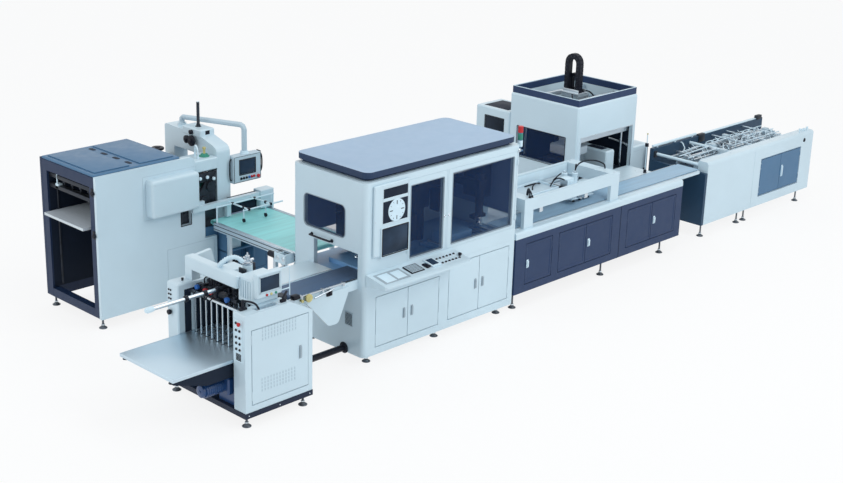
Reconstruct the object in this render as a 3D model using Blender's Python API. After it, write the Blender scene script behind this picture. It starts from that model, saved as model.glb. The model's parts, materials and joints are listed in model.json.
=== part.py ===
"""Rigid box making line: paper feeder and gluer, card feeder, positioning machine,
transfer table, box former and end unit. Metres, +Z up, X along the line."""

import math

import bmesh
import bpy
from mathutils import Matrix, Vector

COLLECTION_NAME = "rigid_box_making_machine"

# Gaps and general thicknesses
SEAT_GAP = 0.0003
MOVING_GAP = 0.0075
HALF_GAP = MOVING_GAP / 2
BITE = 0.003
DOOR_THICKNESS = 0.02
HINGE_PIN_RADIUS = 0.0025
HINGE_LUG_HALF = 0.0015
HINGE_LUG_HEIGHT = 0.016
HINGE_INSET = 0.09
KNUCKLE_HEIGHT = 0.06
DOOR_BORDER = 0.035
DOOR_PRESSING = 0.004
HANDLE_WIDTH = 0.018
HANDLE_PROUD = 0.014
FOOT_RADIUS = 0.045
FOOT_NECK = 0.020
FOOT_HEIGHT = 0.028
FOOT_STEM_RADIUS = 0.012
SEAM_WIDTH = 0.004
SEAM_DEPTH = 0.003

# Main positioning machine
MAIN_LENGTH = 2.37
MAIN_DEPTH = 1.10
MAIN_BASE_Z = 0.11
MAIN_SEAM_Z = 0.90
MAIN_TOP_Z = 2.00
MAIN_WALL = 0.05
MAIN_CORNER_RADIUS = 0.05
MAIN_POCKET_DEPTH = 0.55
MAIN_DOORS_1 = (0.169, 1.12, 0.19, 0.755)
MAIN_DOORS_2 = (1.267, MAIN_LENGTH - 0.117, 0.20, 0.842)
MAIN_UPPER_DOOR_1 = (0.615, 1.195, 1.04, 1.93)
MAIN_UPPER_DOOR_2 = (1.212, MAIN_LENGTH - 0.055, 1.04, 1.93)
MAIN_WINDOW_1 = (0.65, 1.143, 1.065, 1.86)
MAIN_WINDOW_2 = (1.28, MAIN_LENGTH - 0.106, 1.08, 1.875)
MAIN_WINDOW_LEFT = (0.295, MAIN_DEPTH - 0.175, 1.355, 1.705)
MAIN_WINDOW_RADIUS = 0.05
MAIN_INLET = (0.10, 0.77, 1.24)
MAIN_BACK_INLET = (0.03, 0.95, 1.20)
MAIN_OUTLET = (0.06, 0.52, 1.18)
GLASS_THICKNESS = 0.012
GLASS_SET_BACK = 0.012
ROOF_RECESS = 0.03
ROOF_THICKNESS = 0.065
ROOF_INSET = 0.04
ROOF_RADIUS = 0.08
ROBOT_COLUMN = (MAIN_LENGTH - 0.92, 0.68)
ROBOT_TOOL = (MAIN_LENGTH - 0.43, 0.20)
ROBOT_COLUMN_RADIUS = 0.075
ROBOT_TOOL_RADIUS = 0.045
ROBOT_ARM = (1.52, 1.62)
ROBOT_TOOL_Z = (1.22, 1.66)
TOWER_REACH = 0.05
TOWER_Y = 0.06
TOWER_Z = (1.90, 2.18)
TOWER_RADIUS = 0.027

# Raised control panel on the front of the main machine
PANEL = (0.10, 0.60, 1.20, 1.96)
PANEL_DEPTH = 0.03
PANEL_SIGN = (0.225, 0.572, 1.81, 1.91)
PANEL_DIAL = (0.220, 0.574, 1.544, 1.775)
PANEL_MONITOR = (0.187, 0.590, 1.183, 1.507)
PANEL_SCREEN = (0.207, 0.570, 1.208, 1.487)
PANEL_RECESS = 0.003

# Console in front of the main machine
CONSOLE_START = 0.02
CONSOLE_LENGTH = 1.28
CONSOLE_REACH = 0.30
CONSOLE_TOP_Z = 1.035
CONSOLE_FALL = 0.050
CONSOLE_ROOT_HEIGHT = 0.130
CONSOLE_LIP_HEIGHT = 0.025
CONSOLE_CORNER = 0.035

# Transfer table, in two modules
TABLE_START = MAIN_LENGTH + SEAT_GAP
TABLE_1_LENGTH = 1.97
TABLE_2_LENGTH = 1.30
TABLE_SEAM_X = TABLE_START + TABLE_1_LENGTH
TABLE_END = TABLE_SEAM_X + TABLE_2_LENGTH
TABLE_DEPTH = 0.87
TABLE_BASE_Z = 0.20
TABLE_SEAM_Z = 0.87
TABLE_TOP_Z = 0.95
TABLE_CAP_RADIUS = 0.03
TABLE_POCKET_DEPTH = 0.45
TABLE_DOOR_Z = (0.29, 0.79)
TABLE_DOORS_A = (TABLE_START + 0.18, TABLE_START + 0.66, *TABLE_DOOR_Z)
TABLE_DOORS_B = (TABLE_START + 0.78, TABLE_SEAM_X - 0.165, *TABLE_DOOR_Z)
TABLE_DOORS_C = (TABLE_SEAM_X + 0.138, TABLE_END - 0.13, *TABLE_DOOR_Z)
TABLE_BELT = (0.13, 0.46)
TABLE_NOSE_LENGTH = 0.55
TABLE_NOSE_WALL = 0.012
TABLE_BELT_END = TABLE_END + TABLE_NOSE_LENGTH
TABLE_BELT_RISE = 0.012
BELT_THICKNESS = 0.005
BELT_ROLLER_RADIUS = 0.014
CONVEYOR_ROLLER_RADIUS = 0.022
SENSOR_ROD = (TABLE_END - 0.11, 0.53, 1.48)

# Guard frame on the table, with the handling gantry in it
GUARD = (TABLE_START + 0.18, TABLE_SEAM_X - 0.02, 0.05, TABLE_DEPTH - 0.08)
GUARD_LOW_Z = 1.155
GUARD_TOP_Z = 1.30
GUARD_POST = 0.16
GUARD_RAIL = 0.05
GANTRY_BEAM_HEIGHT = 0.055
GANTRY_BEAM_WIDTH = 0.06
GANTRY_HEAD_INSET = 0.64
GANTRY_HEAD_REACH = 0.30
GANTRY_CYLINDER_RADIUS = 0.024

# Box former
FORMER_LENGTH = 1.245
FORMER_WIDTH = 1.14
FORMER_LEFT = TABLE_SEAM_X + 0.26
FORMER_NEAR = TABLE_DEPTH + 0.08
FORMER = (FORMER_LEFT, FORMER_LEFT + FORMER_LENGTH, FORMER_NEAR, FORMER_NEAR + FORMER_WIDTH)
FORMER_BASE_Z = 0.10
FORMER_FLOOR_Z = 0.85
FORMER_TOP_Z = 1.875
FORMER_WALL = 0.05
FORMER_BAND_HEIGHT = 0.085
FORMER_BAND_INSET = 0.02
FORMER_FRONT_OPENING = (FORMER[0] + 0.08, FORMER[1] - 0.08, 0.90, 1.465)
FORMER_WINDOW = (FORMER[2] + 0.191, FORMER[3] - 0.142, 1.05, 1.45)
SIDE_CABINET = (FORMER[0], FORMER[0] + 0.50, FORMER[3] + SEAT_GAP, FORMER[3] + 0.59, 1.60)
SIDE_CABINET_WINDOW = (0.10, 0.42, 1.08, 1.48)
LOW_CABINET_LENGTH = 0.50
LOW_CABINET_DEPTH = 0.42
LOW_CABINET_TOP_Z = 1.09
PRESS_X = FORMER[0] + 0.52
PRESS_Y = FORMER[2] + 0.525
PRESS_HEAD_Z = (1.12, 1.26)
PRESS_RAIL_HALF = (0.025, 0.03)
PRESS_RAIL_NEAR_Z = 1.405
PRESS_RAIL_MIDDLE_Z = 1.375
PRESS_RAIL_FAR_Z = 1.60
PRESS_COVER_TOP_Z = 1.17
CHAIN_OUTER = 0.125
CHAIN_INNER = 0.055
CHAIN_WIDTH = 0.07
CHAIN_CREST_Z = 2.42
CHAIN_FOOT_Z = 1.90
CHAIN_LINKS = 21
SMALL_CHAIN_DROP = 0.263
SMALL_CHAIN_OUTER = 0.075
SMALL_CHAIN_INNER = 0.031
SMALL_CHAIN_LINKS = 9
CHAIN_NOTCH = 0.008

# End unit
END_LENGTH = 2.725
END_LEFT = TABLE_BELT_END + 0.034
END = (END_LEFT, END_LEFT + END_LENGTH, 0.049, 0.96)
END_BASE_Z = 0.185
END_TOP_Z = 1.047
END_REAR_TOP_Z = 1.065
END_PANEL_DEPTH = 0.16
END_REAR_PANEL_DEPTH = 0.06
END_PLATE_THICKNESS = 0.05
END_PLATE_TOP_Z = 0.90
END_DOORS = (END[0] + 1.376, END[1] - 0.319, 0.322, 0.85)
END_SEAM_X = END[0] + 1.196
END_POCKET_DEPTH = 0.11
END_SHAFT_Z = 0.93
END_SHAFT_RADIUS = 0.018
END_SHAFTS = 7
END_RAIL_Z = (0.94, 0.975)
END_RAIL_WIDTH = 0.03
END_RAIL_YS = (0.265, 0.425, 0.56, 0.72)
END_TUBE_RADIUS = 0.02
END_TUBES = ((END[0] + 0.07, 0.985), (END[0] + 0.86, 1.005))

# Card feeder
CARD_LENGTH = 0.833
CARD_WIDTH = 1.197
CARD_RIGHT = -0.943
CARD_NEAR = -0.274
CARD = (CARD_RIGHT - CARD_LENGTH, CARD_RIGHT, CARD_NEAR, CARD_NEAR + CARD_WIDTH)
CARD_PLINTH_LOW_Z = 0.10
CARD_PLINTH_TOP_Z = 0.156
CARD_TOP_Z = 1.146
CARD_FRONT_DEPTH = 0.17
CARD_REAR_DEPTH = 0.18
CARD_DOOR = (CARD[0] + 0.076, CARD[1] - 0.052, 0.22, 0.985)
CARD_POCKET_DEPTH = 0.11
CARD_TABLE_REACH = 0.694
CARD_TABLE_START = CARD[0] - CARD_TABLE_REACH
CARD_TABLE_END = CARD[0] + 0.476
CARD_TABLE_Z = 0.66
CARD_TABLE_THICKNESS = 0.035
CARD_APRON_DROP = 0.15
CARD_GUIDE_X = (CARD[0] + 0.156, CARD[0] + 0.196)
CARD_GUIDE_DEPTH = 0.004
CARD_BAR_Z = 1.21
CARD_BAR_Y = 0.31
CARD_HOUSING = (CARD[0] + 0.226, CARD[0] + 0.536, -0.12, 0.10)
CARD_HOUSING_TOP_Z = 1.40
CARD_SCREEN_Z = (1.215, 1.46)
CARD_CHANNEL_Z = (1.27, 1.40)
MOTOR_RADIUS = 0.07
MOTOR_Z = 0.36

# Card conveyor between the card feeder and the main machine
CARD_BELT = (-0.84, 0.35, 0.14, 0.47)
CARD_BELT_TOP_Z = 0.965
CARD_CONVEYOR_FAR = CARD[3] - 0.073
DUCT_RADIUS = 0.035

# Paper feeder
PAPER_CONVEYOR_LENGTH = 1.519
PAPER_NEAR = MAIN_DEPTH + PAPER_CONVEYOR_LENGTH
PAPER_WIDTH = 1.092
PAPER = (-1.423, -0.30, PAPER_NEAR, PAPER_NEAR + PAPER_WIDTH)
PAPER_BASE_Z = 0.129
PAPER_TOP_Z = 1.764
PAPER_PANEL = 0.04
PAPER_FRAME_WALL = 0.09
PAPER_STEPS = ((0.16, 0.755), (-0.005, 1.20), (-0.13, PAPER_TOP_Z - 0.02))
PAPER_NOTCH = (-0.335, -0.20, 0.97, 1.21)
PAPER_COVER = (-0.80, -0.15, 1.17, 1.60)
PAPER_COVER_PROUD = 0.12
PLATFORM = (-1.49, -0.52, PAPER_NEAR + 0.181, PAPER_NEAR + 0.941)
PLATFORM_Z = 1.15
PLATFORM_THICKNESS = 0.03
PLATFORM_GUIDES = (PAPER_NEAR + 0.351, PAPER_NEAR + 0.771)
GUIDE_DEPTH = 0.03

# Gluer and paper conveyor
GLUER = (0.14, 0.95, PAPER_NEAR + 0.041, PAPER_NEAR + 1.081)
GLUER_BASE_Z = 0.129
GLUER_DECK_Z = 0.86
BRIDGE_X = (0.24, 0.43)
BRIDGE_TOP_Z = 1.84
BRIDGE_UNDER_Z = 1.62
BRIDGE_COLUMN = 0.18
HOOD = (-0.11, PAPER_NEAR + 0.061, PAPER_NEAR + 0.34, 1.52, 1.66)
SPINDLE_XY = (0.33, PAPER_NEAR + 0.531)
SPINDLE_TOP_Z = 2.20
SPINDLE_LOW_Z = 1.30
SPINDLE_BOX_TOP_Z = 1.905
SWING_PIVOT = (0.33, PAPER_NEAR + 0.841)
SWING_TIP = (0.64, PAPER_NEAR + 0.081)
SWING_Z = 1.96
SWING_SEAT_Z = 1.895
SWING_PIPE_RADIUS = 0.032
SWING_PANEL_Z = (1.30, 1.625)
SWING_PANEL_HALF = (0.205, 0.055)
GLUE_ROLLERS = ((-0.10, 1.03, 0.055), (0.03, 1.17, 0.065), (0.12, 1.34, 0.055))
PAPER_BELT = (0.10, 0.87, MAIN_DEPTH + 0.04, PAPER_NEAR + 0.036)
PAPER_BELT_TOP_Z = 0.95
EXIT_BAR = (-0.21, 0.93, 1.105, 1.165)
EXIT_BAR_DEPTH = 0.055

# Overall box of the line, which sets the origin at the middle of its footprint
LINE_MIN_X = CARD_TABLE_START
LINE_MAX_X = END[1]
LINE_MIN_Y = -CONSOLE_REACH
LINE_MAX_Y = PAPER[3]
ORIGIN_X = (LINE_MIN_X + LINE_MAX_X) / 2
ORIGIN_Y = (LINE_MIN_Y + LINE_MAX_Y) / 2

WHITE = ("white_enamel", (0.80, 0.86, 0.90), 0.35, 0.0)
NAVY = ("navy_enamel", (0.045, 0.065, 0.13), 0.40, 0.0)
SLATE = ("slate_enamel", (0.13, 0.22, 0.33), 0.38, 0.0)
ROOF_GLOSS = ("roof_gloss", (0.42, 0.52, 0.66), 0.25, 0.0)
GLASS = ("smoked_glass", (0.02, 0.03, 0.06), 0.08, 0.0)
STEEL = ("bright_steel", (0.62, 0.65, 0.68), 0.28, 1.0)
ALUMINIUM = ("aluminium", (0.72, 0.75, 0.78), 0.38, 1.0)
DARK_STEEL = ("dark_steel", (0.09, 0.10, 0.12), 0.45, 0.6)
MOTOR_BLUE = ("motor_enamel", (0.06, 0.16, 0.36), 0.40, 0.0)
BLACK = ("black_plastic", (0.02, 0.02, 0.025), 0.45, 0.0)
CARD_BLUE = ("blue_belt", (0.07, 0.13, 0.28), 0.60, 0.0)
TABLE_BLUE = ("steel_blue_belt", (0.26, 0.44, 0.60), 0.55, 0.0)
GREEN = ("green_belt", (0.20, 0.52, 0.50), 0.60, 0.0)
BOARD = ("pale_board", (0.72, 0.72, 0.76), 0.60, 0.0)
PANEL_GREY = ("panel_grey", (0.55, 0.62, 0.68), 0.40, 0.2)


def clear_scene():
    for item in list(bpy.data.objects):
        bpy.data.objects.remove(item, do_unlink=True)


def make_collection(name):
    found = bpy.data.collections.get(name)
    if found is None:
        found = bpy.data.collections.new(name)
        bpy.context.scene.collection.children.link(found)
    return found


def make_material(spec):
    name, colour, roughness, metallic = spec
    made = bpy.data.materials.get(name)
    if made is None:
        made = bpy.data.materials.new(name)
        made.use_nodes = True
        shader = made.node_tree.nodes["Principled BSDF"]
        shader.inputs["Base Color"].default_value = (*colour, 1.0)
        shader.inputs["Roughness"].default_value = roughness
        shader.inputs["Metallic"].default_value = metallic
        made.diffuse_color = (*colour, 1.0)
    return made


def link_mesh(name, mesh):
    item = bpy.data.objects.new(name, mesh)
    bpy.context.scene.collection.objects.link(item)
    return item


def mesh_from(bm, name="shape"):
    mesh = bpy.data.meshes.new(name)
    bm.to_mesh(mesh)
    bm.free()
    return link_mesh(name, mesh)


def block(x, y, z, bevel=0.0, segments=1):
    """A box between the given (low, high) pairs, with its edges rounded by bevel."""
    bm = bmesh.new()
    bmesh.ops.create_cube(bm, size=1.0)
    size = Vector((x[1] - x[0], y[1] - y[0], z[1] - z[0]))
    middle = Vector(((x[0] + x[1]) / 2, (y[0] + y[1]) / 2, (z[0] + z[1]) / 2))
    bmesh.ops.scale(bm, vec=size, verts=bm.verts)
    bmesh.ops.translate(bm, vec=middle, verts=bm.verts)
    if bevel > 0:
        bmesh.ops.bevel(bm, geom=bm.edges, offset=bevel, segments=segments, affect="EDGES", profile=0.5)
    return mesh_from(bm)


def upright_block(x, y, z, radius, segments=4):
    """A box whose four upright edges are rounded."""
    bm = bmesh.new()
    bmesh.ops.create_cube(bm, size=1.0)
    size = Vector((x[1] - x[0], y[1] - y[0], z[1] - z[0]))
    middle = Vector(((x[0] + x[1]) / 2, (y[0] + y[1]) / 2, (z[0] + z[1]) / 2))
    bmesh.ops.scale(bm, vec=size, verts=bm.verts)
    bmesh.ops.translate(bm, vec=middle, verts=bm.verts)
    upright = [edge for edge in bm.edges if abs(edge.verts[0].co.z - edge.verts[1].co.z) > 0.5 * size.z]
    bmesh.ops.bevel(bm, geom=upright, offset=radius, segments=segments, affect="EDGES", profile=0.5)
    return mesh_from(bm)


def rod(start, end, radius, sides=16):
    """A round bar between two points."""
    start = Vector(start)
    end = Vector(end)
    along = end - start
    turn = Vector((0, 0, 1)).rotation_difference(along).to_matrix().to_4x4()
    bm = bmesh.new()
    bmesh.ops.create_cone(
        bm, cap_ends=True, segments=sides, radius1=radius, radius2=radius, depth=along.length,
        matrix=Matrix.Translation((start + end) / 2) @ turn,
    )
    return mesh_from(bm)


def curve_mesh(curve, matrix):
    """The mesh of a curve, with its caps welded, as a new object."""
    item = bpy.data.objects.new("curve", curve)
    item.matrix_world = matrix
    bpy.context.scene.collection.objects.link(item)
    bpy.context.view_layer.update()
    graph = bpy.context.evaluated_depsgraph_get()
    mesh = bpy.data.meshes.new_from_object(item.evaluated_get(graph))
    bm = bmesh.new()
    bm.from_mesh(mesh)
    bmesh.ops.remove_doubles(bm, verts=bm.verts, dist=0.00005)
    bmesh.ops.transform(bm, matrix=matrix, verts=bm.verts)
    bm.to_mesh(mesh)
    bm.free()
    bpy.data.objects.remove(item, do_unlink=True)
    return link_mesh("shape", mesh)


def outline(points, axis, span):
    """A flat closed outline made solid across span on axis X, Y or Z.

    Points are (y, z) for X, (x, z) for Y and (x, y) for Z.
    """
    curve = bpy.data.curves.new("outline", "CURVE")
    curve.dimensions = "2D"
    curve.fill_mode = "BOTH"
    curve.extrude = (span[1] - span[0]) / 2
    spline = curve.splines.new("POLY")
    spline.points.add(len(points) - 1)
    for spot, (u, v) in zip(spline.points, points):
        spot.co = (u, v, 0, 1)
    spline.use_cyclic_u = True
    middle = (span[0] + span[1]) / 2
    if axis == "X":
        matrix = Matrix(((0, 0, 1, middle), (1, 0, 0, 0), (0, 1, 0, 0), (0, 0, 0, 1)))
    elif axis == "Y":
        matrix = Matrix(((1, 0, 0, 0), (0, 0, -1, middle), (0, 1, 0, 0), (0, 0, 0, 1)))
    else:
        matrix = Matrix.Translation((0, 0, middle))
    return curve_mesh(curve, matrix)


def rounded(points, radii, steps=4):
    """The outline with each corner replaced by an arc of its radius, 0 for a sharp one."""
    result = []
    count = len(points)
    for index, radius in enumerate(radii):
        corner = Vector(points[index])
        if radius <= 0:
            result.append(tuple(corner))
            continue
        before = (Vector(points[index - 1]) - corner).normalized()
        after = (Vector(points[(index + 1) % count]) - corner).normalized()
        half = before.angle(after) / 2
        reach = radius / math.tan(half)
        centre = corner + (before + after).normalized() * (radius / math.sin(half))
        first = corner + before * reach - centre
        last = corner + after * reach - centre
        for step in range(steps + 1):
            blend = first.lerp(last, step / steps)
            if step in (0, steps):
                spot = centre + (first if step == 0 else last)
            else:
                spot = centre + blend.normalized() * radius
            result.append(tuple(spot))
    return result


def tube(points, radius, resolution=2):
    """A bent round tube through the points, with closed ends."""
    curve = bpy.data.curves.new("tube", "CURVE")
    curve.dimensions = "3D"
    curve.bevel_depth = radius
    curve.bevel_resolution = resolution
    curve.use_fill_caps = True
    spline = curve.splines.new("POLY")
    spline.points.add(len(points) - 1)
    for spot, place in zip(spline.points, points):
        spot.co = (*place, 1)
    return curve_mesh(curve, Matrix.Identity(4))


def boolean(base, tools, operation):
    """Join the tools to base or cut them from it, and return base with the new mesh."""
    for tool in tools:
        modifier = base.modifiers.new("join", "BOOLEAN")
        modifier.operation = operation
        modifier.solver = "EXACT"
        modifier.object = tool
    bpy.context.view_layer.update()
    graph = bpy.context.evaluated_depsgraph_get()
    mesh = bpy.data.meshes.new_from_object(base.evaluated_get(graph))
    base.modifiers.clear()
    base.data = mesh
    for tool in tools:
        bpy.data.objects.remove(tool, do_unlink=True)
    return base


def fuse(shapes, cutters=()):
    """One solid from the overlapping shapes, with the cutters taken out."""
    base = shapes[0]
    if len(shapes) > 1:
        boolean(base, list(shapes[1:]), "UNION")
    if cutters:
        boolean(base, list(cutters), "DIFFERENCE")
    return base


def finish(item, name, spec, parent, origin=(0, 0, 0)):
    """Name the piece, colour it and hang it on its parent with its origin where asked."""
    item.name = name
    item.data.name = name
    item.data.materials.clear()
    item.data.materials.append(make_material(spec))
    shift = Vector(origin)
    item.data.transform(Matrix.Translation(-shift))
    item.location = shift
    item.parent = parent
    item.data.shade_smooth()
    item.data.set_sharp_from_angle(angle=math.radians(35))
    for holder in list(item.users_collection):
        holder.objects.unlink(item)
    make_collection(COLLECTION_NAME).objects.link(item)
    return item


def foot(x, y, top):
    """A screw foot with a flared pad, reaching up into the base at top."""
    bm = bmesh.new()
    bmesh.ops.create_cone(
        bm, cap_ends=True, segments=8, radius1=FOOT_RADIUS, radius2=FOOT_NECK, depth=FOOT_HEIGHT,
        matrix=Matrix.Translation((x, y, FOOT_HEIGHT / 2)),
    )
    stem = rod((x, y, FOOT_HEIGHT / 2), (x, y, top + BITE), FOOT_STEM_RADIUS, 5)
    return [mesh_from(bm), stem]


def feet(xs, ys, top):
    made = []
    for x in xs:
        for y in ys:
            made += foot(x, y, top)
    return made


def hinge_heights(low, high):
    return (low + HINGE_INSET, high - HINGE_INSET)


def hinge_lugs(axis_x, side, front, low, high):
    """The cabinet's half of the hinges: a short lug from the jamb under and over each knuckle."""
    made = []
    x = sorted((axis_x - side * (HALF_GAP + BITE), axis_x + side * HINGE_LUG_HALF))
    for middle in hinge_heights(low, high):
        for way in (-1, 1):
            near = middle + way * (KNUCKLE_HEIGHT / 2 + SEAT_GAP)
            far = near + way * HINGE_LUG_HEIGHT
            made.append(block(x, (front - HINGE_LUG_HALF, front + HINGE_LUG_HALF), sorted((near, far))))
    return made


def knuckle(axis_x, side, front, middle):
    """The door's half of a hinge: a round barrel in the gap, with a leaf into the door's edge."""
    half = KNUCKLE_HEIGHT / 2
    barrel = rod((axis_x, front, middle - half), (axis_x, front, middle + half), HINGE_PIN_RADIUS, 8)
    leaf = block(sorted((axis_x, axis_x + side * (HALF_GAP + BITE))),
                 (front - HINGE_LUG_HALF, front + HINGE_LUG_HALF),
                 (middle - half + BITE, middle + half - BITE))
    return [barrel, leaf]


def handle(x, front, middle):
    """A flat lever handle that stands off the door."""
    height = middle[1]
    centre = middle[0]
    low = centre - height / 2
    high = centre + height / 2
    back = front + DOOR_PRESSING + BITE
    profile = [(back, low), (back, high), (front - HANDLE_PROUD * 0.6, high),
               (front - HANDLE_PROUD, low + height * 0.2), (front - HANDLE_PROUD * 0.8, low)]
    return outline(profile, "X", (x - HANDLE_WIDTH / 2, x + HANDLE_WIDTH / 2))


def door(name, spec, parent, axis_x, side, width, front, low, high, grip=None, pressed=False):
    """A flat door hung on two knuckles on axis_x; side is +1 when it reaches to +X.

    grip is (inset from the free edge, height) of its handle, if it has one.
    """
    x = sorted((axis_x + side * HALF_GAP, axis_x + side * (HALF_GAP + width)))
    bm = bmesh.new()
    bmesh.ops.create_cube(bm, size=1.0)
    size = Vector((width, DOOR_THICKNESS, high - low))
    middle = Vector(((x[0] + x[1]) / 2, front + DOOR_THICKNESS / 2, (low + high) / 2))
    bmesh.ops.scale(bm, vec=size, verts=bm.verts)
    bmesh.ops.translate(bm, vec=middle, verts=bm.verts)
    if pressed:
        face = [item for item in bm.faces if item.normal.y < -0.9]
        bmesh.ops.inset_individual(bm, faces=face, thickness=DOOR_BORDER, depth=0.0)
        bmesh.ops.inset_individual(bm, faces=face, thickness=0.008, depth=-DOOR_PRESSING)
    shapes = [mesh_from(bm)]
    for height in hinge_heights(low, high):
        shapes += knuckle(axis_x, side, front, height)
    if grip is not None:
        inset, height = grip
        shapes.append(handle(axis_x + side * (HALF_GAP + width - inset), front, ((low + high) / 2, height)))
    return finish(fuse(shapes), name, spec, parent, (axis_x, front, 0))


def door_pair(names, spec, parent, opening, front, grips, pressed=False):
    """Two doors that meet in the middle of the opening."""
    left, right, low, high = opening
    width = (right - left) / 2 - MOVING_GAP - HALF_GAP
    low += MOVING_GAP
    high -= MOVING_GAP
    door(names[0], spec, parent, left + HALF_GAP, 1, width, front, low, high, grips[0], pressed)
    door(names[1], spec, parent, right - HALF_GAP, -1, width, front, low, high, grips[1], pressed)


def pair_lugs(opening, front):
    left, right, low, high = opening
    return (hinge_lugs(left + HALF_GAP, 1, front, low + MOVING_GAP, high - MOVING_GAP)
            + hinge_lugs(right - HALF_GAP, -1, front, low + MOVING_GAP, high - MOVING_GAP))


def groove_frame(x, front, z):
    """A cutter that leaves a narrow groove round a rectangle on a front face."""
    outer = block(x, (front - 0.01, front + SEAM_DEPTH), z)
    inner = block((x[0] + SEAM_WIDTH, x[1] - SEAM_WIDTH), (front - 0.02, front + 2 * SEAM_DEPTH),
                  (z[0] + SEAM_WIDTH, z[1] - SEAM_WIDTH))
    return boolean(outer, [inner], "DIFFERENCE")


def seam_cut(x, front, z):
    """A cutter for an upright seam between two modules on a front face."""
    return block((x - SEAM_WIDTH / 2, x + SEAM_WIDTH / 2), (front - 0.01, front + SEAM_DEPTH), z)


def drag_chain(middle_y, crest_z, foot_z, outer, inner, x, links):
    """A drag chain hung in an arch, its outer side notched between the links."""
    centre_z = crest_z - outer
    leg = centre_z - foot_z
    arc = math.pi * outer
    total = 2 * leg + arc

    def spot(along, radius):
        if along < leg:
            return (middle_y + radius, foot_z + along)
        if along > leg + arc:
            return (middle_y - radius, foot_z + total - along)
        turn = (along - leg) / outer
        return (middle_y + radius * math.cos(turn), centre_z + radius * math.sin(turn))

    step = total / links
    points = []
    for link in range(links):
        start = link * step
        points += [spot(start + CHAIN_NOTCH / 2, outer), spot(start + step - CHAIN_NOTCH / 2, outer)]
        if link < links - 1:
            points.append(spot(start + step, outer - CHAIN_NOTCH))
    for link in range(links, -1, -1):
        points.append(spot(link * step, inner))
    return outline(points, "X", x)


def pocket(opening, front, depth):
    left, right, low, high = opening
    return block((left, right), (front - 0.05, front + depth), (low, high))


def belt_loop(x, y, top, radius, thickness, along="X", slack=0.0):
    """A flat endless belt round two end rollers, open inside; slack grows it both ways."""
    def ring(outer):
        centres = (x[0] + radius + thickness, x[1] - radius - thickness)
        middle = top - thickness - radius
        points = []
        for index, centre in enumerate(centres):
            for step in range(9):
                angle = math.pi / 2 + math.pi * step / 8 + math.pi * index
                points.append((centre + outer * math.cos(angle), middle + outer * math.sin(angle)))
        return points

    axis = "Y" if along == "X" else "X"
    outside = outline(ring(radius + thickness + slack), axis, y)
    inside = outline(ring(radius - slack), axis, (y[0] - 0.01, y[1] + 0.01))
    return fuse([outside], [inside])


def build_main_machine(root):
    front = 0.0
    x = (0.0, MAIN_LENGTH)
    y = (front, MAIN_DEPTH)
    base = upright_block(x, y, (MAIN_BASE_Z, MAIN_SEAM_Z), MAIN_CORNER_RADIUS)
    shapes = [base]
    shapes += pair_lugs(MAIN_DOORS_1, front) + pair_lugs(MAIN_DOORS_2, front)
    shapes += feet((0.16, MAIN_LENGTH / 2, MAIN_LENGTH - 0.16), (0.12, MAIN_DEPTH - 0.12), MAIN_BASE_Z)
    cutters = [pocket(opening, front, MAIN_POCKET_DEPTH) for opening in (MAIN_DOORS_1, MAIN_DOORS_2)]
    boolean(base, cutters, "DIFFERENCE")
    finish(fuse(shapes), "main_base_cabinet", WHITE, root)

    build_main_enclosure(root)
    build_main_windows(root)

    low = MAIN_TOP_Z + SEAT_GAP
    neck = upright_block((0.09, MAIN_LENGTH - 0.08), (0.08, MAIN_DEPTH - 0.02),
                         (low, low + ROOF_RECESS + BITE), ROOF_RADIUS / 2)
    slab = upright_block((0.05, MAIN_LENGTH - ROOF_INSET), (0.03, MAIN_DEPTH + 0.02),
                         (low + ROOF_RECESS, low + ROOF_RECESS + ROOF_THICKNESS), ROOF_RADIUS)
    finish(fuse([slab, neck]), "main_roof", ROOF_GLOSS, root)

    build_console(root)
    build_control_panel(root)
    build_signal_tower(root)
    build_robot(root)

    grips = ((0.055, 0.09), (0.055, 0.09))
    door_pair(("main_door_1", "main_door_2"), WHITE, root, MAIN_DOORS_1, front, grips)
    door_pair(("main_door_3", "main_door_4"), WHITE, root, MAIN_DOORS_2, front, grips)


def build_main_enclosure(root):
    front = 0.0
    x = (0.0, MAIN_LENGTH)
    shell = upright_block(x, (front, MAIN_DEPTH), (MAIN_SEAM_Z + SEAT_GAP, MAIN_TOP_Z), MAIN_CORNER_RADIUS)
    low = MAIN_SEAM_Z - 0.1
    wall = MAIN_WALL
    near, far, sill, head = MAIN_WINDOW_LEFT
    corner = MAIN_WINDOW_RADIUS
    left_window = rounded([(near, sill), (far, sill), (far, head), (near, head)], (corner,) * 4, 3)
    cutters = [
        block((wall, MAIN_LENGTH - wall), (wall, MAIN_DEPTH - wall), (low, MAIN_TOP_Z - wall)),
        block((-0.1, 2 * wall), MAIN_INLET[:2], (low, MAIN_INLET[2])),
        block(MAIN_BACK_INLET[:2], (MAIN_DEPTH - 2 * wall, MAIN_DEPTH + 0.1), (low, MAIN_BACK_INLET[2])),
        block((MAIN_LENGTH - 2 * wall, MAIN_LENGTH + 0.1), MAIN_OUTLET[:2], (low, MAIN_OUTLET[2])),
        block(MAIN_WINDOW_1[:2], (-0.1, 2 * wall), MAIN_WINDOW_1[2:]),
        block(MAIN_WINDOW_2[:2], (-0.1, 2 * wall), MAIN_WINDOW_2[2:]),
        outline(left_window, "X", (-0.1, 2 * wall)),
        groove_frame(MAIN_UPPER_DOOR_1[:2], front, MAIN_UPPER_DOOR_1[2:]),
        groove_frame(MAIN_UPPER_DOOR_2[:2], front, MAIN_UPPER_DOOR_2[2:]),
    ]
    finish(fuse([shell], cutters), "main_enclosure", WHITE, root)


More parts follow.
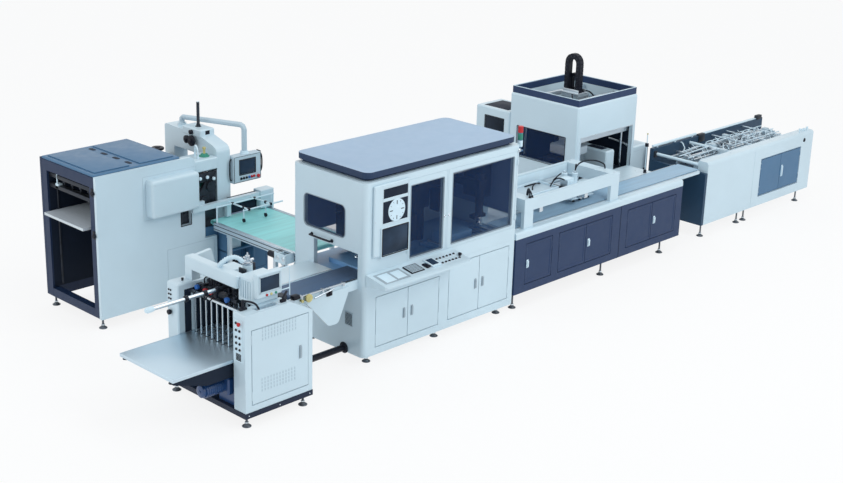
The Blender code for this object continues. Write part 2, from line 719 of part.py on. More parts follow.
def build_main_windows(root):
    deep = (GLASS_SET_BACK, GLASS_SET_BACK + GLASS_THICKNESS)
    gap = SEAT_GAP
    for name, (left, right, low, high) in (
        ("main_window_front_1", MAIN_WINDOW_1),
        ("main_window_front_2", MAIN_WINDOW_2),
    ):
        finish(block((left + gap, right - gap), deep, (low + gap, high - gap)), name, GLASS, root)
    near, far, low, high = MAIN_WINDOW_LEFT
    corners = [(near + gap, low + gap), (far - gap, low + gap), (far - gap, high - gap),
               (near + gap, high - gap)]
    pane = outline(rounded(corners, (MAIN_WINDOW_RADIUS,) * 4, 3), "X", deep)
    finish(pane, "main_window_left", GLASS, root)


def build_console(root):
    """A thin shelf that falls to its front lip, with rounded front corners."""
    back = -SEAT_GAP
    reach = -CONSOLE_REACH
    lip_top = CONSOLE_TOP_Z - CONSOLE_FALL - 0.010
    lip_low = lip_top - CONSOLE_LIP_HEIGHT
    profile = [
        (back, CONSOLE_TOP_Z - CONSOLE_ROOT_HEIGHT), (back, CONSOLE_TOP_Z),
        (reach + 0.03, CONSOLE_TOP_Z - CONSOLE_FALL), (reach, lip_top), (reach, lip_low),
        (reach + 0.02, lip_low - 0.008),
    ]
    x = (CONSOLE_START, CONSOLE_START + CONSOLE_LENGTH)
    shelf = outline(profile, "X", x)
    plan = rounded([(x[0] - 0.01, 0.02), (x[0] - 0.001, reach - 0.001), (x[1] + 0.001, reach - 0.001),
                    (x[1] + 0.01, 0.02)], (0, CONSOLE_CORNER, CONSOLE_CORNER, 0), 3)
    boolean(shelf, [outline(plan, "Z", (lip_low - 0.2, CONSOLE_TOP_Z + 0.1))], "INTERSECT")
    finish(shelf, "main_console", WHITE, root)


def build_control_panel(root):
    left, right, low, high = PANEL
    face = -PANEL_DEPTH
    panel = block((left, right), (face, -SEAT_GAP), (low, high), 0.008)
    monitor_face = face - 0.015
    monitor = block(PANEL_MONITOR[:2], (monitor_face, -0.02), PANEL_MONITOR[2:], 0.006)
    cutters = [
        block(PANEL_SIGN[:2], (face - 0.01, face + PANEL_RECESS), PANEL_SIGN[2:]),
        block(PANEL_DIAL[:2], (face - 0.01, face + PANEL_RECESS), PANEL_DIAL[2:]),
        block(PANEL_SCREEN[:2], (monitor_face - 0.01, monitor_face + PANEL_RECESS), PANEL_SCREEN[2:]),
    ]
    finish(fuse([panel, monitor], cutters), "main_control_panel", WHITE, root)


def build_signal_tower(root):
    x = MAIN_LENGTH + TOWER_REACH
    y = TOWER_Y
    low, high = TOWER_Z
    half = TOWER_RADIUS
    wall = MAIN_LENGTH + SEAT_GAP
    bracket = block((wall, x + half), (y - half, y + half), (low, low + 0.015))
    plate = block((wall, wall + 0.012), (y - half, y + half), (low - 0.06, low + 0.014))
    stem = rod((x, y, low + 0.005), (x, y, low + 0.06), TOWER_RADIUS * 0.5, 10)
    lamp = rod((x, y, low + 0.05), (x, y, high), TOWER_RADIUS, 16)
    finish(fuse([bracket, stem, lamp, plate]), "signal_tower", SLATE, root)


def build_robot(root):
    """The gripper behind the front window: a column, an arm over the table and an upright tool."""
    deck = MAIN_SEAM_Z + SEAT_GAP
    column_x, column_y = ROBOT_COLUMN
    tool_x, tool_y = ROBOT_TOOL
    arm_low, arm_high = ROBOT_ARM
    foot_plate = block((column_x - 0.20, column_x + 0.20), (column_y - 0.17, column_y + 0.17),
                       (deck, deck + 0.03))
    column = rod((column_x, column_y, deck + 0.02), (column_x, column_y, arm_high - 0.02),
                 ROBOT_COLUMN_RADIUS, 16)
    arm = block((column_x - 0.09, tool_x + 0.05), (column_y - 0.09, column_y + 0.09), (arm_low, arm_high))
    fore_arm = block((tool_x - 0.045, tool_x + 0.045), (tool_y - 0.03, column_y),
                     (arm_low + 0.005, arm_high - 0.012))
    tool = rod((tool_x, tool_y, ROBOT_TOOL_Z[0]), (tool_x, tool_y, ROBOT_TOOL_Z[1]), ROBOT_TOOL_RADIUS, 14)
    jaw = block((tool_x - 0.09, tool_x + 0.09), (tool_y - 0.02, tool_y + 0.06),
                (ROBOT_TOOL_Z[0] - 0.03, ROBOT_TOOL_Z[0] + 0.01))
    finish(fuse([foot_plate, column, arm, fore_arm, tool, jaw]), "main_robot", DARK_STEEL, root)


def build_transfer_table(root):
    build_transfer_cabinet(root)
    build_transfer_top(root)
    build_guard(root)


def build_transfer_cabinet(root):
    x = (TABLE_START, TABLE_END)
    front = 0.0
    body = block(x, (front, TABLE_DEPTH), (TABLE_BASE_Z, TABLE_SEAM_Z))
    cutters = [pocket(opening, front, TABLE_POCKET_DEPTH)
               for opening in (TABLE_DOORS_A, TABLE_DOORS_B, TABLE_DOORS_C)]
    cutters.append(seam_cut(TABLE_SEAM_X, front, (TABLE_BASE_Z - 0.1, TABLE_SEAM_Z + 0.1)))
    boolean(body, cutters, "DIFFERENCE")
    shapes = [body]
    left, right, low, high = TABLE_DOORS_A
    low += MOVING_GAP
    high -= MOVING_GAP
    shapes += hinge_lugs(right - HALF_GAP, -1, front, low, high)
    shapes += pair_lugs(TABLE_DOORS_B, front) + pair_lugs(TABLE_DOORS_C, front)
    shapes += feet((x[0] + 0.10, TABLE_SEAM_X - 0.21, x[1] - 0.27), (0.10, TABLE_DEPTH - 0.10), TABLE_BASE_Z)
    finish(fuse(shapes), "transfer_cabinet", NAVY, root)

    grip = (0.055, 0.07)
    width = right - left - MOVING_GAP - HALF_GAP
    door("transfer_door_1", NAVY, root, right - HALF_GAP, -1, width, front, low, high, (0.035, 0.07), True)
    door_pair(("transfer_door_2", "transfer_door_3"), NAVY, root, TABLE_DOORS_B, front, (None, grip), True)
    door_pair(("transfer_door_4", "transfer_door_5"), NAVY, root, TABLE_DOORS_C, front, (None, grip), True)


def build_transfer_top(root):
    """The white top with its long belt, which runs out on a thin nose past the cabinet."""
    front = 0.0
    low = TABLE_SEAM_Z + SEAT_GAP
    profile = rounded([(front, low), (TABLE_DEPTH, low), (TABLE_DEPTH, TABLE_TOP_Z), (front, TABLE_TOP_Z)],
                      (0, 0, 0.008, TABLE_CAP_RADIUS), 3)
    top = outline(profile, "X", (TABLE_START, TABLE_END))
    trough = (TABLE_BELT[0] - 0.01, TABLE_BELT[1] + 0.01)
    belt_top = TABLE_TOP_Z + TABLE_BELT_RISE
    belt_low = belt_top - 2 * (BELT_ROLLER_RADIUS + BELT_THICKNESS)
    nose_y = (trough[0] - 2 * TABLE_NOSE_WALL, trough[1] + 2 * TABLE_NOSE_WALL)
    nose = block((TABLE_END - BITE, TABLE_BELT_END - 0.04), nose_y,
                 (belt_low - TABLE_NOSE_WALL, TABLE_TOP_Z - 0.001))
    belt_x = (TABLE_START + 0.01, TABLE_BELT_END)
    path = belt_loop(belt_x, trough, belt_top, BELT_ROLLER_RADIUS, BELT_THICKNESS, slack=SEAT_GAP)
    sensor_x, sensor_y, sensor_top = SENSOR_ROD
    sensor_foot = rod((sensor_x, sensor_y, TABLE_TOP_Z - BITE), (sensor_x, sensor_y, TABLE_TOP_Z + 0.04),
                      0.018, 8)
    sensor = rod((sensor_x, sensor_y, TABLE_TOP_Z), (sensor_x, sensor_y, sensor_top), 0.007, 6)
    table = fuse([top, nose], [path])
    finish(fuse([table, sensor_foot, sensor]), "transfer_top", WHITE, root)
    belt = belt_loop(belt_x, TABLE_BELT, belt_top, BELT_ROLLER_RADIUS, BELT_THICKNESS)
    finish(belt, "transfer_belt", TABLE_BLUE, root)


def build_guard(root):
    left, right, near, far = GUARD
    rail = GUARD_RAIL
    frame = block((left, right), (near, far), (GUARD_LOW_Z, GUARD_TOP_Z))
    hole = block((left + GUARD_POST, right - GUARD_POST), (near + rail, far - rail),
                 (GUARD_LOW_Z - 0.1, GUARD_TOP_Z + 0.1))
    boolean(frame, [hole], "DIFFERENCE")
    posts = []
    edge = 0.001
    for post_x in ((left + edge, left + GUARD_POST - edge), (right - GUARD_POST + edge, right - edge)):
        for post_y in ((near + edge, near + rail - edge), (far - rail + edge, far - edge)):
            posts.append(block(post_x, post_y, (TABLE_TOP_Z + SEAT_GAP, GUARD_LOW_Z + 0.02)))
    finish(fuse([frame] + posts), "guard_frame", WHITE, root)

    build_gantry(root)


def build_gantry(root):
    """Beams and rails under the guard frame, with the tray, the gripper and two air cylinders."""
    left, right, near, far = GUARD
    seat = GUARD_LOW_Z - SEAT_GAP
    low = GUARD_LOW_Z - GANTRY_BEAM_HEIGHT
    half = GANTRY_BEAM_WIDTH / 2
    span = (near + 0.002, far - 0.002)
    head_x = right - GANTRY_HEAD_INSET
    head_y = near + GANTRY_HEAD_REACH
    shapes = [block((middle - half, middle + half), span, (low, seat)) for middle in (left + 0.30, head_x)]
    rail_x = (left + GUARD_POST + 0.01, right - GUARD_POST - 0.02)
    shapes += [block(rail_x, (y - half, y + half), (low + 0.006, seat - 0.012))
               for y in (near + 0.12, far - 0.13)]
    tray_z = (low + 0.04, GUARD_LOW_Z + 0.02)
    shapes.append(block((left + 0.27, left + 0.98), (near + 0.30, far - 0.10), tray_z, 0.006))
    slide_z = (TABLE_TOP_Z + 0.10, GUARD_TOP_Z - 0.03)
    shapes.append(block((head_x - 0.05, head_x + 0.05), (head_y - 0.05, head_y + 0.07), slide_z, 0.008))
    jaw_z = (TABLE_TOP_Z + 0.07, TABLE_TOP_Z + 0.115)
    shapes.append(block((head_x - 0.02, head_x + 0.42), (head_y - 0.03, head_y + 0.03), jaw_z, 0.006))
    finger_z = (TABLE_TOP_Z + 0.04, TABLE_TOP_Z + 0.08)
    shapes.append(block((head_x + 0.10, head_x + 0.34), (head_y - 0.06, head_y + 0.06), finger_z, 0.006))
    shapes.append(block((head_x, head_x + 0.34), (head_y + 0.01, head_y + 0.25), (low + 0.01, low + 0.035)))
    for x, y in ((head_x + 0.17, head_y + 0.18), (head_x + 0.27, head_y + 0.10)):
        shapes.append(rod((x, y, low), (x, y, GUARD_TOP_Z - 0.01), GANTRY_CYLINDER_RADIUS, 12))
    finish(fuse(shapes), "transfer_gantry", ALUMINIUM, root)


def build_former(root):
    left, right, near, far = FORMER
    wall = FORMER_WALL
    floor = FORMER_FLOOR_Z
    body = block((left, right), (near, far), (FORMER_BASE_Z, FORMER_TOP_Z), 0.02)
    cutters = [
        block((left + wall, right - wall), (near + wall, far - wall), (floor, FORMER_TOP_Z + 0.1)),
        block(FORMER_FRONT_OPENING[:2], (near - 0.1, near + 0.2), FORMER_FRONT_OPENING[2:]),
        block((left - 0.1, left + 0.2), FORMER_WINDOW[:2], FORMER_WINDOW[2:]),
    ]
    boolean(body, cutters, "DIFFERENCE")
    low_box_y = (near + 0.12, near + 0.12 + LOW_CABINET_DEPTH)
    low_box = block((right - wall / 2, right + LOW_CABINET_LENGTH), low_box_y,
                    (FORMER_BASE_Z + 0.027, LOW_CABINET_TOP_Z), 0.01)
    shapes = [body, low_box]
    shapes += feet((left + 0.12, right - 0.12), (near + 0.12, far - 0.12), FORMER_BASE_Z)
    shapes += feet((right + LOW_CABINET_LENGTH - 0.08,), (near + 0.20,), FORMER_BASE_Z + 0.027)
    finish(fuse(shapes), "former_body", WHITE, root)

    inset = FORMER_BAND_INSET
    band_low = FORMER_TOP_Z + SEAT_GAP
    band_high = band_low + FORMER_BAND_HEIGHT
    band = block((left + inset, right - inset), (near + inset, far - inset), (band_low, band_high))
    hole = block((left + wall, right - wall), (near + wall, far - wall), (band_low - 0.1, band_high + 0.1))
    finish(fuse([band], [hole]), "former_band", NAVY, root)

    gap = SEAT_GAP
    pane = block((left + 0.012, left + 0.022), (FORMER_WINDOW[0] + gap, FORMER_WINDOW[1] - gap),
                 (FORMER_WINDOW[2] + gap, FORMER_WINDOW[3] - gap))
    finish(pane, "former_window", GLASS, root)
    build_press(root)
    build_former_cabinet(root)


def build_press(root):
    """The press in the former: column and rails, the white cover of its feed and the drag chains."""
    left, right, near, far = FORMER
    floor = FORMER_FLOOR_Z + SEAT_GAP
    inside_x = (left + FORMER_WALL + SEAT_GAP, right - FORMER_WALL - SEAT_GAP)
    column_y = (PRESS_Y - CHAIN_OUTER - 0.01, PRESS_Y + CHAIN_OUTER + 0.01)
    column = block((PRESS_X - 0.06, PRESS_X + 0.16), column_y, (floor, CHAIN_FOOT_Z))
    press = block((PRESS_X - 0.30, PRESS_X + 0.05), (near + 0.25, PRESS_Y + 0.1), PRESS_HEAD_Z, 0.02)
    shapes = [column, press]
    half_y, half_z = PRESS_RAIL_HALF
    rails = ((near + 0.10, PRESS_RAIL_NEAR_Z), (near + 0.22, PRESS_RAIL_MIDDLE_Z),
             (far - 0.25, PRESS_RAIL_FAR_Z))
    for y, z in rails:
        shapes.append(block(inside_x, (y - half_y, y + half_y), (z - half_z, z + half_z)))
    cross_z = (PRESS_RAIL_MIDDLE_Z - 0.005, PRESS_RAIL_FAR_Z + 0.02)
    shapes.append(block((PRESS_X - half_y, PRESS_X + half_y), (near + 0.08, far - 0.23), cross_z))
    finish(fuse(shapes), "former_press", ALUMINIUM, root)

    cover_x = (PRESS_X + 0.19, PRESS_X + 0.37)
    cover_y = (near + FORMER_WALL + SEAT_GAP, near + 0.68)
    cover = block(cover_x, cover_y, (floor, PRESS_COVER_TOP_Z), 0.018)
    finish(cover, "former_press_cover", WHITE, root)

    chain_x = (PRESS_X - CHAIN_WIDTH / 2, PRESS_X + CHAIN_WIDTH / 2)
    seat = CHAIN_FOOT_Z + SEAT_GAP
    chain = drag_chain(PRESS_Y, CHAIN_CREST_Z, seat, CHAIN_OUTER, CHAIN_INNER, chain_x, CHAIN_LINKS)
    small_x = (chain_x[1] - BITE, chain_x[1] + CHAIN_WIDTH * 0.8)
    small = drag_chain(PRESS_Y + 0.017, CHAIN_CREST_Z - SMALL_CHAIN_DROP, seat + 0.002, SMALL_CHAIN_OUTER,
                       SMALL_CHAIN_INNER, small_x, SMALL_CHAIN_LINKS)
    plate_x = (chain_x[0] + 0.002, small_x[1] - 0.002)
    plate = block(plate_x, (PRESS_Y - CHAIN_OUTER + 0.01, PRESS_Y + CHAIN_OUTER - 0.01),
                  (seat, seat + 0.03))
    finish(fuse([chain, small, plate]), "former_energy_chain", BLACK, root)


def build_former_cabinet(root):
    left, right, near, far, top = SIDE_CABINET
    cabinet = block((left, right), (near, far), (FORMER_BASE_Z, top), 0.015)
    window = block((left - 0.1, left + 0.006), (near + SIDE_CABINET_WINDOW[0], near + SIDE_CABINET_WINDOW[1]),
                   SIDE_CABINET_WINDOW[2:])
    roof_light = block((left + 0.06, right - 0.06), (near + 0.08, far - 0.08), (top - 0.006, top + 0.1))
    boolean(cabinet, [window, roof_light], "DIFFERENCE")
    shapes = [cabinet] + feet((left + 0.08, right - 0.08), (near + 0.08, far - 0.08), FORMER_BASE_Z)
    finish(fuse(shapes), "former_side_cabinet", WHITE, root)


def build_end_unit(root):
    left, right, near, far = END
    front_x = (left + END_PLATE_THICKNESS + SEAT_GAP, right)
    profile = rounded(
        [(near, END_BASE_Z), (near + END_PANEL_DEPTH, END_BASE_Z),
         (near + END_PANEL_DEPTH, END_TOP_Z), (near, END_TOP_Z)],
        (0, 0, 0.01, 0.04),
    )
    panel = outline(profile, "X", front_x)
    cutters = [pocket(END_DOORS, near, END_POCKET_DEPTH),
               seam_cut(END_SEAM_X, near, (END_BASE_Z - 0.1, END_TOP_Z + 0.1))]
    boolean(panel, cutters, "DIFFERENCE")
    shapes = [panel] + pair_lugs(END_DOORS, near)
    foot_xs = (left + 0.12, END_SEAM_X - 0.20, END_SEAM_X - 0.03, right - 0.18)
    shapes += feet(foot_xs, (near + 0.08,), END_BASE_Z)
    finish(fuse(shapes), "end_front_panel", WHITE, root)
    door_pair(("end_door_1", "end_door_2"), SLATE, root, END_DOORS, near, (None, (0.045, 0.13)))

    rear_near = far - END_REAR_PANEL_DEPTH
    rear = block((left, right), (rear_near, far), (END_BASE_Z, END_REAR_TOP_Z), 0.004)
    plate = block((left, left + END_PLATE_THICKNESS), (near, far - 0.001),
                  (END_BASE_Z + 0.001, END_PLATE_TOP_Z))
    shapes = [rear, plate] + feet((left + 0.12, END_SEAM_X - 0.1, right - 0.38), (far - 0.03,), END_BASE_Z)
    finish(fuse(shapes), "end_rear_panel", NAVY, root)
    build_end_bed(root, (near + END_PANEL_DEPTH + SEAT_GAP, rear_near - SEAT_GAP))


def build_end_bed(root, span):
    """Shafts across the trough, rails along it and two higher tubes from panel to panel."""
    left, right = END[:2]
    shapes = []
    half = END_RAIL_WIDTH / 2
    for y in END_RAIL_YS:
        shapes.append(block((left + 0.12, right - 0.28), (y - half, y + half), END_RAIL_Z))
    for index in range(END_SHAFTS):
        x = left + 0.20 + index * (right - left - 0.60) / (END_SHAFTS - 1)
        shapes.append(rod((x, span[0], END_SHAFT_Z), (x, span[1], END_SHAFT_Z), END_SHAFT_RADIUS, 8))
    for x, z in END_TUBES:
        shapes.append(rod((x, span[0], z), (x, span[1], z), END_TUBE_RADIUS, 12))
    middle = (span[0] + span[1]) / 2
    for x, z in END_TUBES:
        stay_z = (END_RAIL_Z[0] + 0.005, z)
        shapes.append(block((x - 0.008, x + 0.14), (middle - 0.008, middle + 0.008), stay_z))
    spine_z = (END_SHAFT_Z - 0.006, END_RAIL_Z[1] - 0.014)
    shapes.append(block((left + 0.06, right - 0.30), (middle - 0.012, middle + 0.012), spine_z))
    finish(fuse(shapes), "end_rollers", STEEL, root)


def build_card_feeder(root):
    build_card_cabinets(root)
    build_card_table(root)
    build_card_head(root)
    build_card_housing(root)


def build_card_cabinets(root):
    left, right, near, far = CARD
    edge = 0.004
    plinth_z = (CARD_PLINTH_LOW_Z, CARD_PLINTH_TOP_Z)
    plinth = block((left - edge, right + edge), (near - edge, far + edge), plinth_z)
    shapes = [plinth] + feet((left + 0.05, right - 0.08), (near + 0.05, far - 0.05), CARD_PLINTH_LOW_Z)
    finish(fuse(shapes), "card_feeder_base", NAVY, root)

    low = CARD_PLINTH_TOP_Z + SEAT_GAP
    profile = rounded(
        [(left, low), (right, low), (right, CARD_TOP_Z - 0.15), (right - 0.27, CARD_TOP_Z),
         (left, CARD_TOP_Z)],
        (0, 0, 0.02, 0.05, 0.02),
    )
    cabinet = outline(profile, "Y", (near, near + CARD_FRONT_DEPTH))
    boolean(cabinet, [pocket(CARD_DOOR, near, CARD_POCKET_DEPTH)], "DIFFERENCE")
    door_left, door_right, door_low, door_high = CARD_DOOR
    door_low += MOVING_GAP
    door_high -= MOVING_GAP
    lugs = hinge_lugs(door_left + HALF_GAP, 1, near, door_low, door_high)
    inner = (near + CARD_FRONT_DEPTH, far - CARD_REAR_DEPTH)
    guide_z = (low + 0.10, CARD_TOP_Z - 0.08)
    lugs.append(block(CARD_GUIDE_X, (inner[0] - BITE, inner[0] + CARD_GUIDE_DEPTH), guide_z))
    finish(fuse([cabinet] + lugs), "card_feeder_front_cabinet", WHITE, root)
    width = door_right - door_left - MOVING_GAP - HALF_GAP
    door("card_feeder_door", WHITE, root, door_left + HALF_GAP, 1, width, near, door_low, door_high,
         (0.10, 0.10))

    rear = block((left, right), (far - CARD_REAR_DEPTH, far), (low, CARD_TOP_Z + 0.02), 0.012)
    guide = block(CARD_GUIDE_X, (inner[1] - CARD_GUIDE_DEPTH, inner[1] + BITE), guide_z)
    finish(fuse([rear, guide]), "card_feeder_rear_cabinet", WHITE, root)


def build_card_table(root):
    """The pile table on its guide shoes, its navy apron underneath and the geared motor."""
    left, right, near, far = CARD
    inner = (near + CARD_FRONT_DEPTH, far - CARD_REAR_DEPTH)
    slab_y = (inner[0] + MOVING_GAP, inner[1] - MOVING_GAP)
    slab_z = (CARD_TABLE_Z - CARD_TABLE_THICKNESS, CARD_TABLE_Z)
    slab = block((CARD_TABLE_START, CARD_TABLE_END), slab_y, slab_z, 0.004)
    shoe_x = (CARD_GUIDE_X[0] + 0.005, CARD_GUIDE_X[1] - 0.005)
    shoe_z = (CARD_TABLE_Z - 0.03, CARD_TABLE_Z - 0.005)
    shoes = [
        block(shoe_x, (inner[0] + CARD_GUIDE_DEPTH + SEAT_GAP, slab_y[0] + 0.01), shoe_z),
        block(shoe_x, (slab_y[1] - 0.01, inner[1] - CARD_GUIDE_DEPTH - SEAT_GAP), shoe_z),
    ]
    origin = (CARD_TABLE_END, (slab_y[0] + slab_y[1]) / 2, CARD_TABLE_Z)
    finish(fuse([slab] + shoes), "card_table", STEEL, root, origin)

    high = slab_z[0] - SEAT_GAP
    low = high - CARD_APRON_DROP
    profile = [(CARD_TABLE_START + 0.02, high), (CARD_TABLE_START + 0.02, high - 0.03),
               (CARD_TABLE_START + 0.40, low), (CARD_TABLE_END - 0.02, low), (CARD_TABLE_END - 0.02, high)]
    aprons = [outline(profile, "Y", (y, y + 0.02)) for y in (slab_y[0] + 0.02, slab_y[1] - 0.04)]
    cross_z = (high - 0.055, high - 0.01)
    cross = block((left - 0.12, left - 0.06), (slab_y[0] + 0.03, slab_y[1] - 0.03), cross_z)
    finish(fuse(aprons + [cross]), "card_table_apron", NAVY, root, origin)

    seat = CARD_PLINTH_TOP_Z + SEAT_GAP
    drive_y = inner[0] + 0.16
    foot_block = block((left + 0.04, left + 0.30), (inner[0] + 0.04, drive_y + 0.12), (seat, MOTOR_Z - 0.05))
    gearbox = block((left - 0.02, left + 0.28), (drive_y - 0.10, drive_y + 0.10),
                    (MOTOR_Z - 0.09, MOTOR_Z + 0.09), 0.015)
    motor = rod((left - 0.24, drive_y, MOTOR_Z), (left, drive_y, MOTOR_Z), MOTOR_RADIUS, 16)
    cap = rod((left - 0.27, drive_y, MOTOR_Z), (left - 0.23, drive_y, MOTOR_Z), MOTOR_RADIUS * 0.86, 16)
    finish(fuse([foot_block, gearbox, motor, cap]), "card_table_drive", MOTOR_BLUE, root)


def build_card_head(root):
    """The rod fence at the end of the pile and the suction head over it."""
    left, right, near, far = CARD
    y = (near + CARD_FRONT_DEPTH + SEAT_GAP, far - CARD_REAR_DEPTH - SEAT_GAP)
    fence_x = right - 0.217
    bars = [block((fence_x, fence_x + 0.02), y, (z, z + 0.03)) for z in (0.60, 0.75, 0.90)]
    count = 6
    for index in range(count):
        post_y = y[0] + 0.08 + index * (y[1] - y[0] - 0.16) / (count - 1)
        bars.append(rod((fence_x, post_y, 0.35), (fence_x, post_y, 1.06), 0.008, 6))
    finish(fuse(bars), "pile_fence", STEEL, root)

    top = CARD_TOP_Z
    beam_z = (top - 0.046, top - 0.001)
    shapes = [block((left + 0.356, left + 0.43), y, beam_z), block((left + 0.576, left + 0.656), y, beam_z)]
    tie_z = (top - 0.040, top - 0.006)
    shapes.append(block((left + 0.40, left + 0.60), (CARD_BAR_Y - 0.05, CARD_BAR_Y + 0.05), tie_z))
    hang_x = (left + 0.366, left + 0.416)
    shapes.append(block(hang_x, (CARD_BAR_Y - 0.03, CARD_BAR_Y + 0.03), (top - 0.02, CARD_BAR_Z + 0.025)))
    bar_x = (CARD_TABLE_START + 0.05, hang_x[1])
    shapes.append(rod((bar_x[0], CARD_BAR_Y, CARD_BAR_Z), (bar_x[1], CARD_BAR_Y, CARD_BAR_Z), 0.018, 12))
    shapes.append(block((left + 0.20, left + 0.26), (y[0] + 0.20, y[1] - 0.03), (top - 0.036, top)))
    arm_z = (top - 0.030, top - 0.004)
    for arm_y in (y[0] + 0.24, y[1] - 0.16):
        shapes.append(block((left + 0.22, left + 0.40), (arm_y, arm_y + 0.06), arm_z))
    finish(fuse(shapes), "suction_head", DARK_STEEL, root)


def build_card_housing(root):
    """The control housing on the feeder: ribbed box, screen, cable channel and air pump."""
    left, right, near, far = CARD
    seat = CARD_TOP_Z + SEAT_GAP
    box_left, box_right, box_near, box_far = CARD_HOUSING
    housing = block((box_left, box_right), (box_near, box_far), (seat, CARD_HOUSING_TOP_Z), 0.010)
    shapes = [housing]
    ribs = 5
    for index in range(ribs):
        y = box_near + 0.035 + index * 0.034
        shapes.append(block((box_left - 0.010, box_left + BITE), (y, y + 0.016),
                            (seat + 0.05, CARD_HOUSING_TOP_Z - 0.03)))
    screen_y = (box_near - 0.045, box_near + 0.02)
    shapes.append(block((box_left + 0.013, box_right + 0.012), screen_y, CARD_SCREEN_Z, 0.010))
    channel_x = (box_left - 0.05, box_left + 0.06)
    shapes.append(block(channel_x, (box_far - 0.03, far - 0.06), CARD_CHANNEL_Z, 0.010))
    shapes.append(block((channel_x[0] + 0.003, channel_x[1] - 0.003), (far - 0.17, far - 0.065),
                        (seat + 0.02, CARD_CHANNEL_Z[1] - 0.02)))
    hook_low, hook_high = CARD_CHANNEL_Z
    hook = [(channel_x[1] - BITE, hook_low + 0.002), (channel_x[1] + 0.22, hook_low + 0.002),
            (channel_x[1] + 0.18, hook_high + 0.01), (channel_x[1] - BITE, hook_high - 0.011)]
    shapes.append(outline(hook, "Y", (far - 0.115, far - 0.07)))
    deck_z = (CARD_CHANNEL_Z[0] + 0.01, CARD_CHANNEL_Z[0] + 0.035)
    deck_x = (channel_x[1] - BITE, box_right - 0.013)
    shapes.append(block(deck_x, (box_far - 0.02, box_far + 0.22), deck_z))
    pump = (box_right - 0.10, box_far + 0.113)
    shapes.append(rod((*pump, deck_z[0] + 0.01), (*pump, CARD_HOUSING_TOP_Z + 0.03), 0.05, 14))
    shapes.append(rod((*pump, CARD_HOUSING_TOP_Z), (*pump, CARD_HOUSING_TOP_Z + 0.10), 0.018, 10))
    finish(fuse(shapes), "card_feeder_control_housing", WHITE, root)


def build_card_conveyor(root):
    x0, x1, near, far = CARD_BELT
    top = CARD_BELT_TOP_Z
    belt = belt_loop((x0, x1), (near, far), top, CONVEYOR_ROLLER_RADIUS, BELT_THICKNESS)
    finish(belt, "card_conveyor_belt", CARD_BLUE, root)
    slack = 2 * (CONVEYOR_ROLLER_RADIUS + BELT_THICKNESS) + SEAT_GAP
    bed_x = (CARD[1] + SEAT_GAP, -SEAT_GAP)
    bed = block(bed_x, (near - 0.05, CARD_CONVEYOR_FAR), (top - slack - 0.05, top - slack))
    side = block(bed_x, (far + 0.01, CARD_CONVEYOR_FAR), (top - slack - 0.01, top + 0.005))
    edge = block(bed_x, (near - 0.05, near - 0.008), (top - slack - 0.01, top + 0.002))
    shield_y = (near - 0.065, near - 0.045)
    profile = rounded([(-0.75, 0.93), (-0.415, 0.57), (-0.285, 0.565), (-0.15, 0.86), (-0.14, 0.93)],
                      (0, 0.06, 0.06, 0, 0))
    shield = outline(profile, "Y", shield_y)
    slide_top = top - BELT_THICKNESS - SEAT_GAP
    slider = block((x0 + 0.06, bed_x[1] - 0.03), (near - 0.02, far + 0.03), (slide_top - 0.012, slide_top))
    finish(fuse([bed, side, edge, shield, slider]), "card_conveyor_bed", WHITE, root)

    duct_top = top - slack - 0.05 - SEAT_GAP
    duct_path = [
        (-0.86, 0.22, duct_top), (-0.86, 0.22, 0.36), (-0.84, 0.23, 0.28), (-0.78, 0.25, 0.21),
        (-0.68, 0.28, 0.165), (-0.56, 0.29, 0.15), (-SEAT_GAP, 0.29, 0.15),
    ]
    duct = tube(duct_path, DUCT_RADIUS)
    finish(duct, "card_feeder_duct", BLACK, root)


